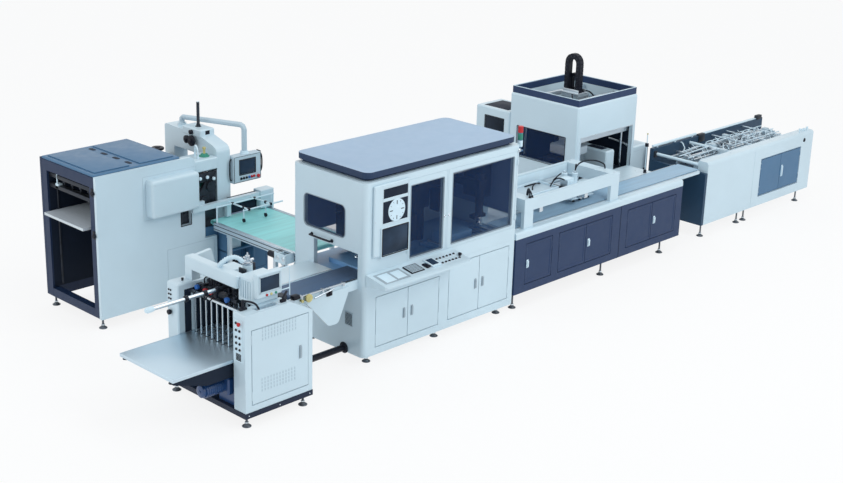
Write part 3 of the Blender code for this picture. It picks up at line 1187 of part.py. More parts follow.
def build_paper_feeder(root):
    left, right, near, far = PAPER
    panel = PAPER_PANEL
    low = PAPER_BASE_Z
    inner_y = (near + panel + SEAT_GAP, far - panel - SEAT_GAP)
    top = PAPER_TOP_Z - 0.03
    shell = block((left, right), inner_y, (low, top), 0.006)
    wall = PAPER_FRAME_WALL
    cavity = block((left - 0.1, right - 0.05), (inner_y[0] + wall, inner_y[1] - wall),
                   (low - 0.1, top - 0.12))
    boolean(shell, [cavity], "DIFFERENCE")
    rear = block((left, right), (far - panel - BITE, far), (low, PAPER_TOP_Z - 0.02), 0.004)
    rail_x = (right - 0.05 - GUIDE_DEPTH, right - 0.05 + BITE)
    shapes = [shell, rear]
    shapes += [block(rail_x, (y - 0.02, y + 0.02), (low + 0.09, top - 0.11)) for y in PLATFORM_GUIDES]
    sill = block((left + 0.001, left + wall), (inner_y[0] + 0.02, inner_y[1] - 0.02),
                 (low + 0.001, low + 0.10))
    shapes.append(sill)
    shapes += feet((left + 0.06, right - 0.06), (near + 0.08, far - 0.08), low)
    finish(fuse(shapes), "paper_feeder_frame", NAVY, root)

    profile = [(left - 0.005, low)]
    radii = [0]
    height = low
    for x, step_top in PAPER_STEPS:
        profile += [(x, height), (x, step_top)]
        radii += [0, 0]
        height = step_top
    radii[-1] = 0.06
    profile.append((left - 0.005, height))
    radii.append(0)
    side = outline(rounded(profile, radii), "Y", (near, near + panel))
    notch = block(PAPER_NOTCH[:2], (near - 0.1, near + panel + 0.1), PAPER_NOTCH[2:])
    boolean(side, [notch], "DIFFERENCE")
    cover = block(PAPER_COVER[:2], (near - PAPER_COVER_PROUD, near + 0.02), PAPER_COVER[2:], 0.035, 3)
    finish(fuse([side, cover]), "paper_feeder_side_panel", WHITE, root)
    roof_y = (inner_y[0], far - panel - BITE - SEAT_GAP)
    roof = block((left - 0.005, right), roof_y, (top + SEAT_GAP, PAPER_TOP_Z), 0.012)
    finish(roof, "paper_feeder_roof", SLATE, root)

    board_x0, board_x1, board_near, board_far = PLATFORM
    low_z = PLATFORM_Z - PLATFORM_THICKNESS
    board = block((board_x0, board_x1), (board_near, board_far), (low_z, PLATFORM_Z), 0.003)
    shoe_x = (board_x1 - 0.02, rail_x[0] - SEAT_GAP)
    shoe_z = (low_z + 0.004, PLATFORM_Z - 0.004)
    shoes = [block(shoe_x, (y - 0.03, y + 0.03), shoe_z) for y in PLATFORM_GUIDES]
    board = fuse([board] + shoes)
    finish(board, "paper_platform", BOARD, root, (board_x1, (board_near + board_far) / 2, PLATFORM_Z))


def build_gluer(root):
    left, right, near, far = GLUER
    start = PAPER[1] + SEAT_GAP
    y = (PAPER[2] + PAPER_PANEL + SEAT_GAP, PAPER[3] - PAPER_PANEL - SEAT_GAP)
    base = block((start, right), y, (GLUER_BASE_Z, GLUER_DECK_Z), 0.006)
    shapes = [base] + feet((start + 0.3, right - 0.08), (near + 0.08, far - 0.08), GLUER_BASE_Z)
    finish(fuse(shapes), "gluer_base", SLATE, root)
    build_gluer_bridge(root)

    deck = GLUER_DECK_Z + SEAT_GAP
    shapes = [rod((x, y[0], z), (x, y[1], z), radius, 14) for x, z, radius in GLUE_ROLLERS]
    head = GLUE_ROLLERS[-1][1] + 0.05
    web = [(-0.14, deck), (0.20, deck), (0.20, head), (0.05, head), (-0.14, 1.10)]
    for web_y in ((y[0] + 0.02, y[0] + 0.05), (y[1] - 0.05, y[1] - 0.02)):
        shapes.append(outline(web, "Y", web_y))
    shapes.append(block((-0.05, -0.02), (y[0] + 0.03, y[1] - 0.03), (0.95, 1.01)))
    finish(fuse(shapes), "gluer_rollers", DARK_STEEL, root)

    bar_y = (PAPER[2] - EXIT_BAR_DEPTH, PAPER[2] - SEAT_GAP)
    bar = block(EXIT_BAR[:2], bar_y, EXIT_BAR[2:])
    post = block((0.27, 0.33), (bar_y[0] + 0.002, bar_y[1] - 0.002),
                 (PAPER_BELT_TOP_Z + 0.012, EXIT_BAR[3] - 0.01))
    end_box = block((right - 0.20, right), (bar_y[0] - 0.02, near + 0.02),
                    (PAPER_BELT_TOP_Z + 0.02, EXIT_BAR[3] + 0.02), 0.006)
    leg = block((right - 0.027, right - 0.001), (bar_y[0] - 0.015, near - 0.003),
                (0.50, PAPER_BELT_TOP_Z + 0.03))
    finish(fuse([end_box, bar, post, leg]), "gluer_exit_frame", WHITE, root)


def build_gluer_bridge(root):
    """The white bridge over the gluer, with its hood, threaded spindle and swinging control panel."""
    left, right, near, far = GLUER
    deck = GLUER_DECK_Z + SEAT_GAP
    under = BRIDGE_UNDER_Z
    top = BRIDGE_TOP_Z
    near_leg = (near + 0.04, near + 0.04 + BRIDGE_COLUMN)
    far_leg = (far - 0.20, far - 0.20 + BRIDGE_COLUMN)
    profile = rounded(
        [(near_leg[0], deck), (near_leg[1], deck), (near_leg[1], under - 0.06), (near_leg[1] + 0.12, under),
         (far_leg[0], under), (far_leg[0], deck), (far_leg[1], deck), (far_leg[1], top + 0.02),
         (near + 0.36, top), (near_leg[0], top - 0.09)],
        (0, 0, 0.05, 0, 0, 0, 0, 0.03, 0.05, 0.09),
    )
    bridge = outline(profile, "X", BRIDGE_X)
    sx, sy = SPINDLE_XY
    spindle = rod((sx, sy, top), (sx, sy, SPINDLE_TOP_Z), 0.014, 10)
    spindle_box = block((BRIDGE_X[0] - 0.012, BRIDGE_X[1] + 0.006), (sy - 0.17, sy + 0.18),
                        (top - 0.03, SPINDLE_BOX_TOP_Z), 0.012)
    collar = rod((sx, sy, SPINDLE_BOX_TOP_Z - 0.01), (sx, sy, SPINDLE_BOX_TOP_Z + 0.012), 0.028, 12)
    px, py = SWING_PIVOT
    boss = rod((px, py, top - 0.02), (px, py, SWING_SEAT_Z), 0.05, 14)
    hood_x, hood_near, hood_far, hood_low, hood_high = HOOD
    hood = block((hood_x, BRIDGE_X[0] + BITE), (hood_near, hood_far), (hood_low, hood_high), 0.012)
    shaft = rod((sx, sy, SPINDLE_LOW_Z), (sx, sy, under + 0.02), 0.02, 10)
    finish(fuse([bridge, spindle_box, spindle, collar, boss, hood, shaft]), "gluer_bridge", WHITE, root)

    tx, ty = SWING_TIP
    seat = SWING_SEAT_Z + SEAT_GAP
    low, high = SWING_PANEL_Z
    half_x, half_y = SWING_PANEL_HALF
    bend = 0.05
    start = Vector((px, py, SWING_Z))
    end = Vector((tx, ty, SWING_Z))
    along = (end - start).normalized() * bend
    down = Vector((0, 0, -bend))
    path = [(px, py, seat), start + down * 0.4, start + along * 0.4, end - along,
            end - along * 0.3 + down * 0.3, end + down, (tx, ty, high - BITE)]
    pipe = tube(path, SWING_PIPE_RADIUS)
    flange = rod((tx, ty, high - BITE), (tx, ty, high + 0.03), SWING_PIPE_RADIUS * 1.35, 12)
    screen = block((tx - half_x, tx + half_x), (ty - half_y, ty + half_y), (low, high), 0.012)
    glass = block((tx - half_x * 0.55, tx + half_x * 0.55), (ty - half_y - 0.05, ty - half_y + 0.004),
                  (low + 0.10, high - 0.06))
    boolean(screen, [glass], "DIFFERENCE")
    finish(fuse([screen, flange, pipe]), "operator_panel_arm", PANEL_GREY, root, (px, py, SWING_Z))


def build_paper_conveyor(root):
    x0, x1, near, far = PAPER_BELT
    top = PAPER_BELT_TOP_Z
    belt = belt_loop((near, far), (x0, x1), top, CONVEYOR_ROLLER_RADIUS, BELT_THICKNESS, along="Y")
    finish(belt, "paper_conveyor_belt", GREEN, root)
    rail_z = (top - 0.09, top - 0.002)
    y = (MAIN_DEPTH + SEAT_GAP, PAPER_NEAR - EXIT_BAR_DEPTH - 0.03)
    slide_top = top - BELT_THICKNESS - SEAT_GAP
    shapes = [
        block((x0 - 0.05, x0 - 0.004), y, rail_z),
        block((x1 + 0.004, x1 + 0.05), y, rail_z),
        block((x0 - 0.02, x1 + 0.02), (near + 0.06, y[1] - 0.06), (slide_top - 0.012, slide_top)),
    ]
    leg_z = (FOOT_HEIGHT + 0.02, top - 0.08)
    for middle in (MAIN_DEPTH + 0.375, MAIN_DEPTH + 1.175):
        shapes.append(block((x0 - 0.05, x1 + 0.05), (middle - 0.025, middle + 0.025),
                            (top - 0.12, top - 0.065)))
        for x in (x0 - 0.049, x1 + 0.009):
            shapes.append(block((x, x + 0.04), (middle - 0.02, middle + 0.02), leg_z))
            shapes += foot(x + 0.02, middle, leg_z[0])
    finish(fuse(shapes), "paper_conveyor_frame", ALUMINIUM, root)


def main():
    clear_scene()
    root = bpy.data.objects.new("line_origin", None)
    root.location = (-ORIGIN_X, -ORIGIN_Y, 0)
    bpy.context.scene.collection.objects.link(root)
    bpy.context.view_layer.update()
    build_paper_feeder(root)
    build_gluer(root)
    build_paper_conveyor(root)
    build_card_feeder(root)
    build_card_conveyor(root)
    build_main_machine(root)
    build_transfer_table(root)
    build_former(root)
    build_end_unit(root)
    bpy.context.view_layer.update()


main()
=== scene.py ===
"""Looks of the rigid box making line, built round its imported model. Metres, +Z up.

Places are given in the line's own frame: X runs along the line from the left wall of the main
machine, Y runs back from its front face and Z up from the floor. HOME moves them to the model.
"""

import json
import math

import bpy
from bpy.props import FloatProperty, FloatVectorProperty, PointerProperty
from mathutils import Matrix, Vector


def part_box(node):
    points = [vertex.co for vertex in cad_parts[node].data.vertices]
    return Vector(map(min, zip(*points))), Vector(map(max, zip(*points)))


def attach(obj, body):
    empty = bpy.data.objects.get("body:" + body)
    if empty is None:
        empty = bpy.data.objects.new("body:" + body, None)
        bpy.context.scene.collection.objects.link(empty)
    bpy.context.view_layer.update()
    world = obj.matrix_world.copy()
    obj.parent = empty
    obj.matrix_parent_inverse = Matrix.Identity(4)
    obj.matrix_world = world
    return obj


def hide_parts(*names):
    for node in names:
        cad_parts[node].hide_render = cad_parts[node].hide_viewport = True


bl_info = {
    "name": "Rigid box making line",
    "version": (1, 0, 0),
    "blender": (4, 5, 0),
    "location": "View3D > Sidebar > Box line",
    "description": "Finishes, fittings and studio for a rigid box making line",
    "category": "Object",
}

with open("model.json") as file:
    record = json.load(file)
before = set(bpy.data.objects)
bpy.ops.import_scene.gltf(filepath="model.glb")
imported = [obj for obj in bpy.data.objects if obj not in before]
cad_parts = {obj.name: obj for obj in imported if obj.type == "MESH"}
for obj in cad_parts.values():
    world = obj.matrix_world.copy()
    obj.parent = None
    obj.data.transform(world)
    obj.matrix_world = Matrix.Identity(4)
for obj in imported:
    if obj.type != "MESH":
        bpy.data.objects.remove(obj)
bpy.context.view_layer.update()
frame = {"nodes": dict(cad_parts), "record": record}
LINE = "line"

MAIN_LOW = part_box("main_enclosure")[0]
HOME = Vector((MAIN_LOW[0], MAIN_LOW[1], 0.0))

PHOTO_WIDTH = 843
FOCAL_PIXELS = 1451.244
SENSOR_WIDTH = 36.0
CAMERA_PLACE = Vector((-9.5685, -9.9799, 6.2084))
CAMERA_YAW = math.radians(46.16)
CAMERA_PITCH = math.radians(19.12)
CAMERA_ROLL = math.radians(1.698)
END_RAIL_TOP = 0.974
SMOOTH_ANGLE = math.radians(35)
QUARTER_TURN = math.radians(90)
FLOOR_WHITE = 0.85
LAMP_COLOUR = (0.93, 0.985, 1.0)
SKY_COLOUR = (0.94, 0.97, 1.0)
SKY_STRENGTH = 0.72

# Directions in the line's own frame
UP, DOWN = (0, 0, 1), (0, 0, -1)
FRONT, BACK = (0, -1, 0), (0, 1, 0)
LEFT, RIGHT = (-1, 0, 0), (1, 0, 0)

FOOT_STEEL = (0.1, 0.115, 0.135)
# The height under which each node that stands on screw feet is bare steel
FOOT_TOP = {
    "main_base_cabinet": 0.109,
    "transfer_cabinet": 0.199,
    "former_body": 0.099,
    "former_side_cabinet": 0.099,
    "end_front_panel": 0.184,
    "end_rear_panel": 0.184,
    "card_feeder_base": 0.099,
    "paper_feeder_frame": 0.128,
    "gluer_base": 0.128,
    "paper_conveyor_frame": 0.047,
}

# Frames drawn darker than the doors, by these factors
FRAME_SHADE = {"card_feeder_base": 0.4, "paper_feeder_frame": 0.7}

# Nodes whose finish isn't that of their slot; the card table's apron is drawn near black as painted shade
# under the table
NODE_PAINT = {"card_table": "table_steel", "card_table_apron": "dark_panel"}


def local_box(node):
    """The low and high corner of a node in the line's own frame."""
    low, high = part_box(node)
    return Vector(low) - HOME, Vector(high) - HOME


# Materials


def start_material(name, colour, roughness, metallic):
    """A new Principled material; gives the material, its node tree and the shader."""
    made = bpy.data.materials.new(name)
    made.use_nodes = True
    made.diffuse_color = (*colour, 1.0)
    shader = made.node_tree.nodes["Principled BSDF"]
    shader.inputs["Base Color"].default_value = (*colour, 1.0)
    shader.inputs["Roughness"].default_value = roughness
    shader.inputs["Metallic"].default_value = metallic
    return made, made.node_tree, shader


def add_noise(tree, scale, detail=2.0, stretch=(1.0, 1.0, 1.0)):
    """Noise on the object's own coordinates, stretched where asked."""
    spot = tree.nodes.new("ShaderNodeTexCoord")
    turn = tree.nodes.new("ShaderNodeMapping")
    turn.inputs["Scale"].default_value = stretch
    noise = tree.nodes.new("ShaderNodeTexNoise")
    noise.inputs["Scale"].default_value = scale
    noise.inputs["Detail"].default_value = detail
    tree.links.new(spot.outputs["Object"], turn.inputs["Vector"])
    tree.links.new(turn.outputs["Vector"], noise.inputs["Vector"])
    return noise.outputs["Fac"]


def spread(tree, value, low, high):
    """The value from about 0.3 to 0.7 spread over low to high."""
    step = tree.nodes.new("ShaderNodeMapRange")
    step.inputs["From Min"].default_value = 0.3
    step.inputs["From Max"].default_value = 0.7
    step.inputs["To Min"].default_value = low
    step.inputs["To Max"].default_value = high
    tree.links.new(value, step.inputs["Value"])
    return step.outputs["Result"]


def blend_colours(tree, factor, first, second):
    """first where factor is 0 and second where it is 1."""
    mix = tree.nodes.new("ShaderNodeMix")
    mix.data_type = "RGBA"
    mix.inputs["A"].default_value = (*first, 1.0)
    mix.inputs["B"].default_value = (*second, 1.0)
    tree.links.new(factor, mix.inputs["Factor"])
    return mix.outputs["Result"]


def shaded(colour, factor):
    return tuple(min(1.0, part * factor) for part in colour)


def edge_round(tree, radius):
    """A normal that rounds the sharp edges for the light."""
    bevel = tree.nodes.new("ShaderNodeBevel")
    bevel.samples = 4
    bevel.inputs["Radius"].default_value = radius
    return bevel.outputs["Normal"]


def add_bump(tree, height, strength, distance, normal=None):
    bump = tree.nodes.new("ShaderNodeBump")
    bump.inputs["Strength"].default_value = strength
    bump.inputs["Distance"].default_value = distance
    tree.links.new(height, bump.inputs["Height"])
    if normal is not None:
        tree.links.new(normal, bump.inputs["Normal"])
    return bump.outputs["Normal"]


def object_height(tree):
    """The height of the shaded spot above the floor."""
    spot = tree.nodes.new("ShaderNodeTexCoord")
    parts = tree.nodes.new("ShaderNodeSeparateXYZ")
    tree.links.new(spot.outputs["Object"], parts.inputs["Vector"])
    return parts.outputs["Z"]


def below(tree, value, limit):
    """1 where the value is under the limit, else 0."""
    test = tree.nodes.new("ShaderNodeMath")
    test.operation = "LESS_THAN"
    test.inputs[1].default_value = limit
    tree.links.new(value, test.inputs[0])
    return test.outputs["Value"]


def enamel(name, colour, roughness=0.36, coat=0.0, grain=0.05, edge=0.003, foot_top=None, side=None,
           gloss=0.5):
    """Sprayed enamel: cloudy colour, fine orange peel and softly rounded edges.

    Below foot_top the piece is the dark steel of its screw feet; side is the colour of its
    upright faces, while faces that point up keep the lighter colour as a painted sky reflection.
    """
    made, tree, shader = start_material(name, colour, roughness, 0.0)
    cloud = spread(tree, add_noise(tree, 1.7, 3.0), 0.0, 1.0)
    base = blend_colours(tree, cloud, shaded(colour, 0.97), shaded(colour, 1.02))
    # Where side is given, the lighter colour on faces that point up is a painted sky reflection
    if side is not None:
        facing = tree.nodes.new("ShaderNodeNewGeometry")
        parts = tree.nodes.new("ShaderNodeSeparateXYZ")
        tree.links.new(facing.outputs["Normal"], parts.inputs["Vector"])
        base = mixed_link(tree, below(tree, parts.outputs["Z"], 0.6), base, side)
    if foot_top is not None:
        at_foot = below(tree, object_height(tree), foot_top)
        base = mixed_link(tree, at_foot, base, FOOT_STEEL)
    tree.links.new(base, shader.inputs["Base Color"])
    rough = spread(tree, add_noise(tree, 9.0, 4.0), roughness - 0.05, roughness + 0.06)
    tree.links.new(rough, shader.inputs["Roughness"])
    peel = add_noise(tree, 900.0, 1.0)
    normal = add_bump(tree, peel, grain, 0.0003, edge_round(tree, edge))
    tree.links.new(normal, shader.inputs["Normal"])
    shader.inputs["Specular IOR Level"].default_value = gloss
    shader.inputs["Coat Weight"].default_value = coat
    shader.inputs["Coat Roughness"].default_value = 0.12
    return made


def mixed_link(tree, factor, first, colour):
    """The linked colour where factor is 0, and the plain colour where it is 1."""
    mix = tree.nodes.new("ShaderNodeMix")
    mix.data_type = "RGBA"
    mix.inputs["B"].default_value = (*colour, 1.0)
    tree.links.new(first, mix.inputs["A"])
    tree.links.new(factor, mix.inputs["Factor"])
    return mix.outputs["Result"]


def brushed(name, colour, roughness=0.3, stretch=(6.0, 260.0, 260.0), dark=0.86, foot_top=None):
    """Brushed or drawn metal, its grain along the object's X unless stretched otherwise."""
    made, tree, shader = start_material(name, colour, roughness, 1.0)
    grain = add_noise(tree, 1.0, 3.0, stretch)
    base = blend_colours(tree, spread(tree, grain, 0.0, 1.0), shaded(colour, dark), colour)
    if foot_top is not None:
        base = mixed_link(tree, below(tree, object_height(tree), foot_top), base, FOOT_STEEL)
    tree.links.new(base, shader.inputs["Base Color"])
    tree.links.new(spread(tree, grain, roughness - 0.06, roughness + 0.1), shader.inputs["Roughness"])
    normal = add_bump(tree, grain, 0.12, 0.0004, edge_round(tree, 0.0015))
    tree.links.new(normal, shader.inputs["Normal"])
    return made


def cast_steel(name, colour, roughness=0.46):
    """Dark oiled steel with a blotchy skin."""
    made, tree, shader = start_material(name, colour, roughness, 0.75)
    blotch = add_noise(tree, 26.0, 5.0)
    base = blend_colours(tree, spread(tree, blotch, 0.0, 1.0), shaded(colour, 0.7), shaded(colour, 1.35))
    tree.links.new(base, shader.inputs["Base Color"])
    tree.links.new(spread(tree, blotch, roughness - 0.12, roughness + 0.12), shader.inputs["Roughness"])
    normal = add_bump(tree, add_noise(tree, 300.0, 2.0), 0.2, 0.0008, edge_round(tree, 0.002))
    tree.links.new(normal, shader.inputs["Normal"])
    return made


def moulded(name, colour, roughness=0.42, cloud=0.15):
    """Moulded plastic or rubber with a fine leathery grain."""
    made, tree, shader = start_material(name, colour, roughness, 0.0)
    patch = spread(tree, add_noise(tree, 14.0, 3.0), 0.0, 1.0)
    base = blend_colours(tree, patch, shaded(colour, 1.0 - cloud), shaded(colour, 1.0 + cloud))
    tree.links.new(base, shader.inputs["Base Color"])
    normal = add_bump(tree, add_noise(tree, 700.0, 2.0), 0.18, 0.0005, edge_round(tree, 0.001))
    tree.links.new(normal, shader.inputs["Normal"])
    shader.inputs["Specular IOR Level"].default_value = 0.22
    return made


def belting(name, colour, roughness=0.5, sheen=0.15):
    """Conveyor belting: a fine woven face with faint rubbed lanes."""
    made, tree, shader = start_material(name, colour, roughness, 0.0)
    lanes = spread(tree, add_noise(tree, 3.0, 2.0, (0.4, 6.0, 1.0)), 0.0, 1.0)
    base = blend_colours(tree, lanes, shaded(colour, 0.92), shaded(colour, 1.08))
    tree.links.new(base, shader.inputs["Base Color"])
    spot = tree.nodes.new("ShaderNodeTexCoord")
    total = None
    for direction in ("X", "Y"):
        wave = tree.nodes.new("ShaderNodeTexWave")
        wave.bands_direction = direction
        wave.inputs["Scale"].default_value = 140.0
        tree.links.new(spot.outputs["Object"], wave.inputs["Vector"])
        if total is None:
            total = wave.outputs["Fac"]
        else:
            weave = tree.nodes.new("ShaderNodeMath")
            weave.operation = "MULTIPLY"
            tree.links.new(total, weave.inputs[0])
            tree.links.new(wave.outputs["Fac"], weave.inputs[1])
            total = weave.outputs["Value"]
    tree.links.new(add_bump(tree, total, 0.25, 0.0006), shader.inputs["Normal"])
    shader.inputs["Sheen Weight"].default_value = sheen
    return made


def smoked_glass(name, tint, roughness=0.04):
    """Smoked see-through acrylic: a navy sheet that lets part of the light straight through."""
    made, tree, shader = start_material(name, tint, roughness, 0.0)
    wipe = spread(tree, add_noise(tree, 2.4, 2.0, (1.0, 1.0, 3.0)), roughness, roughness + 0.05)
    tree.links.new(wipe, shader.inputs["Roughness"])
    shader.inputs["Alpha"].default_value = 0.32
    shader.inputs["Specular IOR Level"].default_value = 0.14
    made.surface_render_method = "BLENDED"
    return made


def display(name, colour):
    """Dark display glass, faintly cloudy and with little glare."""
    made, tree, shader = start_material(name, colour, 0.16, 0.0)
    cloud = spread(tree, add_noise(tree, 5.0, 2.0), 0.0, 1.0)
    base = blend_colours(tree, cloud, shaded(colour, 0.75), shaded(colour, 1.35))
    tree.links.new(base, shader.inputs["Base Color"])
    tree.links.new(spread(tree, add_noise(tree, 60.0, 3.0), 0.16, 0.26), shader.inputs["Roughness"])
    shader.inputs["IOR"].default_value = 1.22
    return made


def sealed_board(name, colour):
    """Pale laminated board with a faint long grain."""
    made, tree, shader = start_material(name, colour, 0.5, 0.0)
    grain = spread(tree, add_noise(tree, 4.0, 5.0, (30.0, 1.0, 6.0)), 0.0, 1.0)
    base = blend_colours(tree, grain, shaded(colour, 0.95), shaded(colour, 1.04))
    tree.links.new(base, shader.inputs["Base Color"])
    tree.links.new(add_bump(tree, grain, 0.05, 0.0005, edge_round(tree, 0.001)), shader.inputs["Normal"])
    return made


def colour_prop(name, description, colour):
    return FloatVectorProperty(name=name, description=description, default=colour, size=3,
                               min=0.0, max=1.0, subtype="COLOR")


def length_prop(name, description, size):
    return FloatProperty(name=name, description=description, default=size, min=0.0, unit="LENGTH")


class LineColours(bpy.types.PropertyGroup):
    """Colours of the line's finishes."""
    white: colour_prop("White enamel", "Housings, covers and guards", (0.6, 0.74, 0.82))
    navy: colour_prop("Navy enamel", "Frames, table cabinet and its doors", (0.02, 0.044, 0.112))
    end_navy: colour_prop("End unit navy", "Rear panel of the end unit", (0.024, 0.064, 0.12))
    slate: colour_prop("Slate enamel", "End unit doors and feeder roof", (0.07, 0.175, 0.31))
    # roof is the roof's top painted lighter than its navy edge, a painted sky reflection
    roof: colour_prop("Roof sky sheen", "Top of the main machine, lightened as a painted sky reflection", (0.34, 0.465, 0.615))
    roof_side: colour_prop("Roof edge", "Edge of the main machine's roof", (0.024, 0.046, 0.1))
    glass: colour_prop("Smoked acrylic", "Window panes", (0.008, 0.034, 0.11))
    steel: colour_prop("Bright steel", "Rods, tables and rollers", (0.66, 0.74, 0.8))
    chrome: colour_prop("Chrome", "Polished rods and fittings", (0.56, 0.62, 0.68))
    aluminium: colour_prop("Aluminium", "Extruded rails and frames", (0.68, 0.76, 0.82))
    dark_steel: colour_prop("Dark steel", "Beams and linkages", (0.035, 0.042, 0.055))
    motor: colour_prop("Motor enamel", "Drive of the card table", (0.01, 0.055, 0.18))
    black: colour_prop("Black plastic", "Handles, ducts and knobs", (0.009, 0.011, 0.02))
    card_belt: colour_prop("Card belt", "Belt that brings the card boards", (0.028, 0.08, 0.172))
    table_belt: colour_prop("Table belt", "Belt of the transfer table", (0.28, 0.46, 0.62))
    green_belt: colour_prop("Paper belt", "Belt that brings the glued paper", (0.31, 0.78, 0.78))
    board: colour_prop("Platform board", "Board under the pile of paper", (0.6, 0.66, 0.72))
    panel: colour_prop("Panel grey", "Control panels", (0.48, 0.6, 0.68))


class LineSizes(bpy.types.PropertyGroup):
    """Sizes of small trim that is the same all over the line."""
    window_seal: length_prop("Window seal", "Width of the rubber round each pane", 0.007)
    belt_guide: length_prop("Belt guide", "Height of the strips beside the table belt", 0.008)
    screw_head: length_prop("Screw head", "Radius of the trim's screw heads", 0.006)
    foot_nut: length_prop("Foot nut", "Radius of the nut over each screw foot", 0.024)


def make_paints(colours):
    """The material of each of the record's slots, and those of the added fittings."""
    return {"white_enamel": enamel("white_enamel", colours.white, 0.34, 0.25),
            "navy_enamel": enamel("navy_enamel", colours.navy, 0.46, gloss=0.28),
            "slate_enamel": enamel("slate_enamel", colours.slate, 0.4, gloss=0.35),
            # The roof's top takes the light roof colour as a painted sky reflection; its upright faces take
            # roof_side
            "roof_gloss": enamel("roof_gloss", colours.roof, 0.4, 0.0, 0.0, 0.006, side=colours.roof_side,
                                 gloss=0.22),
            "smoked_glass": smoked_glass("smoked_glass", colours.glass),
            "bright_steel": brushed("bright_steel", colours.steel, 0.3),
            "aluminium": brushed("aluminium", colours.aluminium, 0.4),
            "dark_steel": cast_steel("dark_steel", colours.dark_steel),
            "motor_enamel": enamel("motor_enamel", colours.motor, 0.34, 0.3, 0.15),
            "black_plastic": moulded("black_plastic", colours.black),
            "blue_belt": belting("blue_belt", colours.card_belt, 0.5),
            "steel_blue_belt": belting("steel_blue_belt", colours.table_belt, 0.42),
            "green_belt": belting("green_belt", colours.green_belt, 0.46),
            "pale_board": sealed_board("pale_board", colours.board),
            "panel_grey": enamel("panel_grey", colours.panel, 0.42, 0.1, 0.2),
            "polished_chrome": brushed("polished_chrome", colours.chrome, 0.14, (8.0, 90.0, 90.0), 0.92),
            "white_plastic": moulded("white_plastic", shaded(colours.white, 1.12), 0.38, 0.02),
            "black_rubber": moulded("black_rubber", (0.012, 0.016, 0.026), 0.62),
            "red_plastic": moulded("red_plastic", (0.52, 0.03, 0.035), 0.34),
            "green_plastic": moulded("green_plastic", (0.045, 0.26, 0.19), 0.36),
            "blue_plastic": moulded("blue_plastic", (0.03, 0.13, 0.42), 0.36),
            "yellow_plastic": moulded("yellow_plastic", (0.56, 0.5, 0.22), 0.4),
            "orange_plastic": moulded("orange_plastic", (0.7, 0.25, 0.1), 0.4),
            "screen_glass": display("screen_glass", (0.022, 0.04, 0.07)),
            "dark_glass": display("dark_glass", (0.012, 0.02, 0.034)),
            # dark_panel is near black: real dark plates, and dark sheets set inside openings as painted
            # shade
            "dark_panel": enamel("dark_panel", (0.014, 0.022, 0.04), 0.55, gloss=0.12),
            "liner_blue": enamel("liner_blue", (0.22, 0.31, 0.5), 0.5, gloss=0.2),
            "foot_steel": cast_steel("foot_steel", shaded(FOOT_STEEL, 1.3)),
            "lever_grey": enamel("lever_grey", (0.34, 0.42, 0.48), 0.34, 0.2),
            "table_steel": brushed("table_steel", (0.6, 0.74, 0.84), 0.38, (90.0, 900.0, 90.0), 0.95),
            "deck_blue": enamel("deck_blue", (0.22, 0.44, 0.72), 0.4, 0.1)}


def on_feet(node, slot, colours):
    """The slot's finish with dark steel screw feet, for a node that stands on them."""
    name = slot + "_" + node
    top = FOOT_TOP[node]
    if slot == "aluminium":
        return brushed(name, colours.aluminium, 0.4, foot_top=top)
    shade = {"white_enamel": colours.white, "navy_enamel": colours.navy,
             "slate_enamel": colours.slate}[slot]
    shade = colours.end_navy if node == "end_rear_panel" else shaded(shade, FRAME_SHADE.get(node, 1.0))
    if slot == "white_enamel":
        return enamel(name, shade, 0.34, 0.25, foot_top=top)
    return enamel(name, shade, 0.44, foot_top=top, gloss=0.28)


PAINTS = {}


def rest():
    """Leave object mode's selection empty."""
    bpy.ops.object.select_all(action="DESELECT")


def along(first, second):
    """The point midway between two points of a plane."""
    return ((first[0] + second[0]) / 2, (first[1] + second[1]) / 2)


def about(middle, half):
    """The span that reaches half to either side of the middle."""
    return middle - half, middle + half


def use_modifier(item, kind, **values):
    """Add one modifier to the active piece and apply it."""
    made = item.modifiers.new(kind.lower(), kind)
    for key, value in values.items():
        setattr(made, key, value)
    bpy.ops.object.modifier_apply(modifier=made.name)


def block(x, y, z, edge=0.002, segments=2):
    """A block between the (low, high) pairs, its edges rounded by edge."""
    rest()
    middle = Vector([(pair[0] + pair[1]) / 2 for pair in (x, y, z)])
    bpy.ops.mesh.primitive_cube_add(size=1.0, location=HOME + middle)
    item = bpy.context.object
    item.scale = [abs(pair[1] - pair[0]) for pair in (x, y, z)]
    bpy.ops.object.transform_apply(location=True, rotation=True, scale=True)
    if edge > 0:
        use_modifier(item, "BEVEL", width=edge, segments=segments, limit_method="NONE")
    return item


def bar(start, end, radius, sides=16, edge=0.0015):
    """A round bar from start to end with softened rims."""
    rest()
    start = HOME + Vector(start)
    end = HOME + Vector(end)
    run = end - start
    turn = run.to_track_quat("Z", "Y").to_euler()
    bpy.ops.mesh.primitive_cylinder_add(vertices=sides, radius=radius, depth=run.length,
                                        location=(start + end) / 2, rotation=turn)
    item = bpy.context.object
    bpy.ops.object.transform_apply(location=True, rotation=True, scale=True)
    if edge > 0:
        use_modifier(item, "BEVEL", width=min(edge, radius * 0.3), segments=1, limit_method="ANGLE",
                     angle_limit=math.radians(60))
    return item


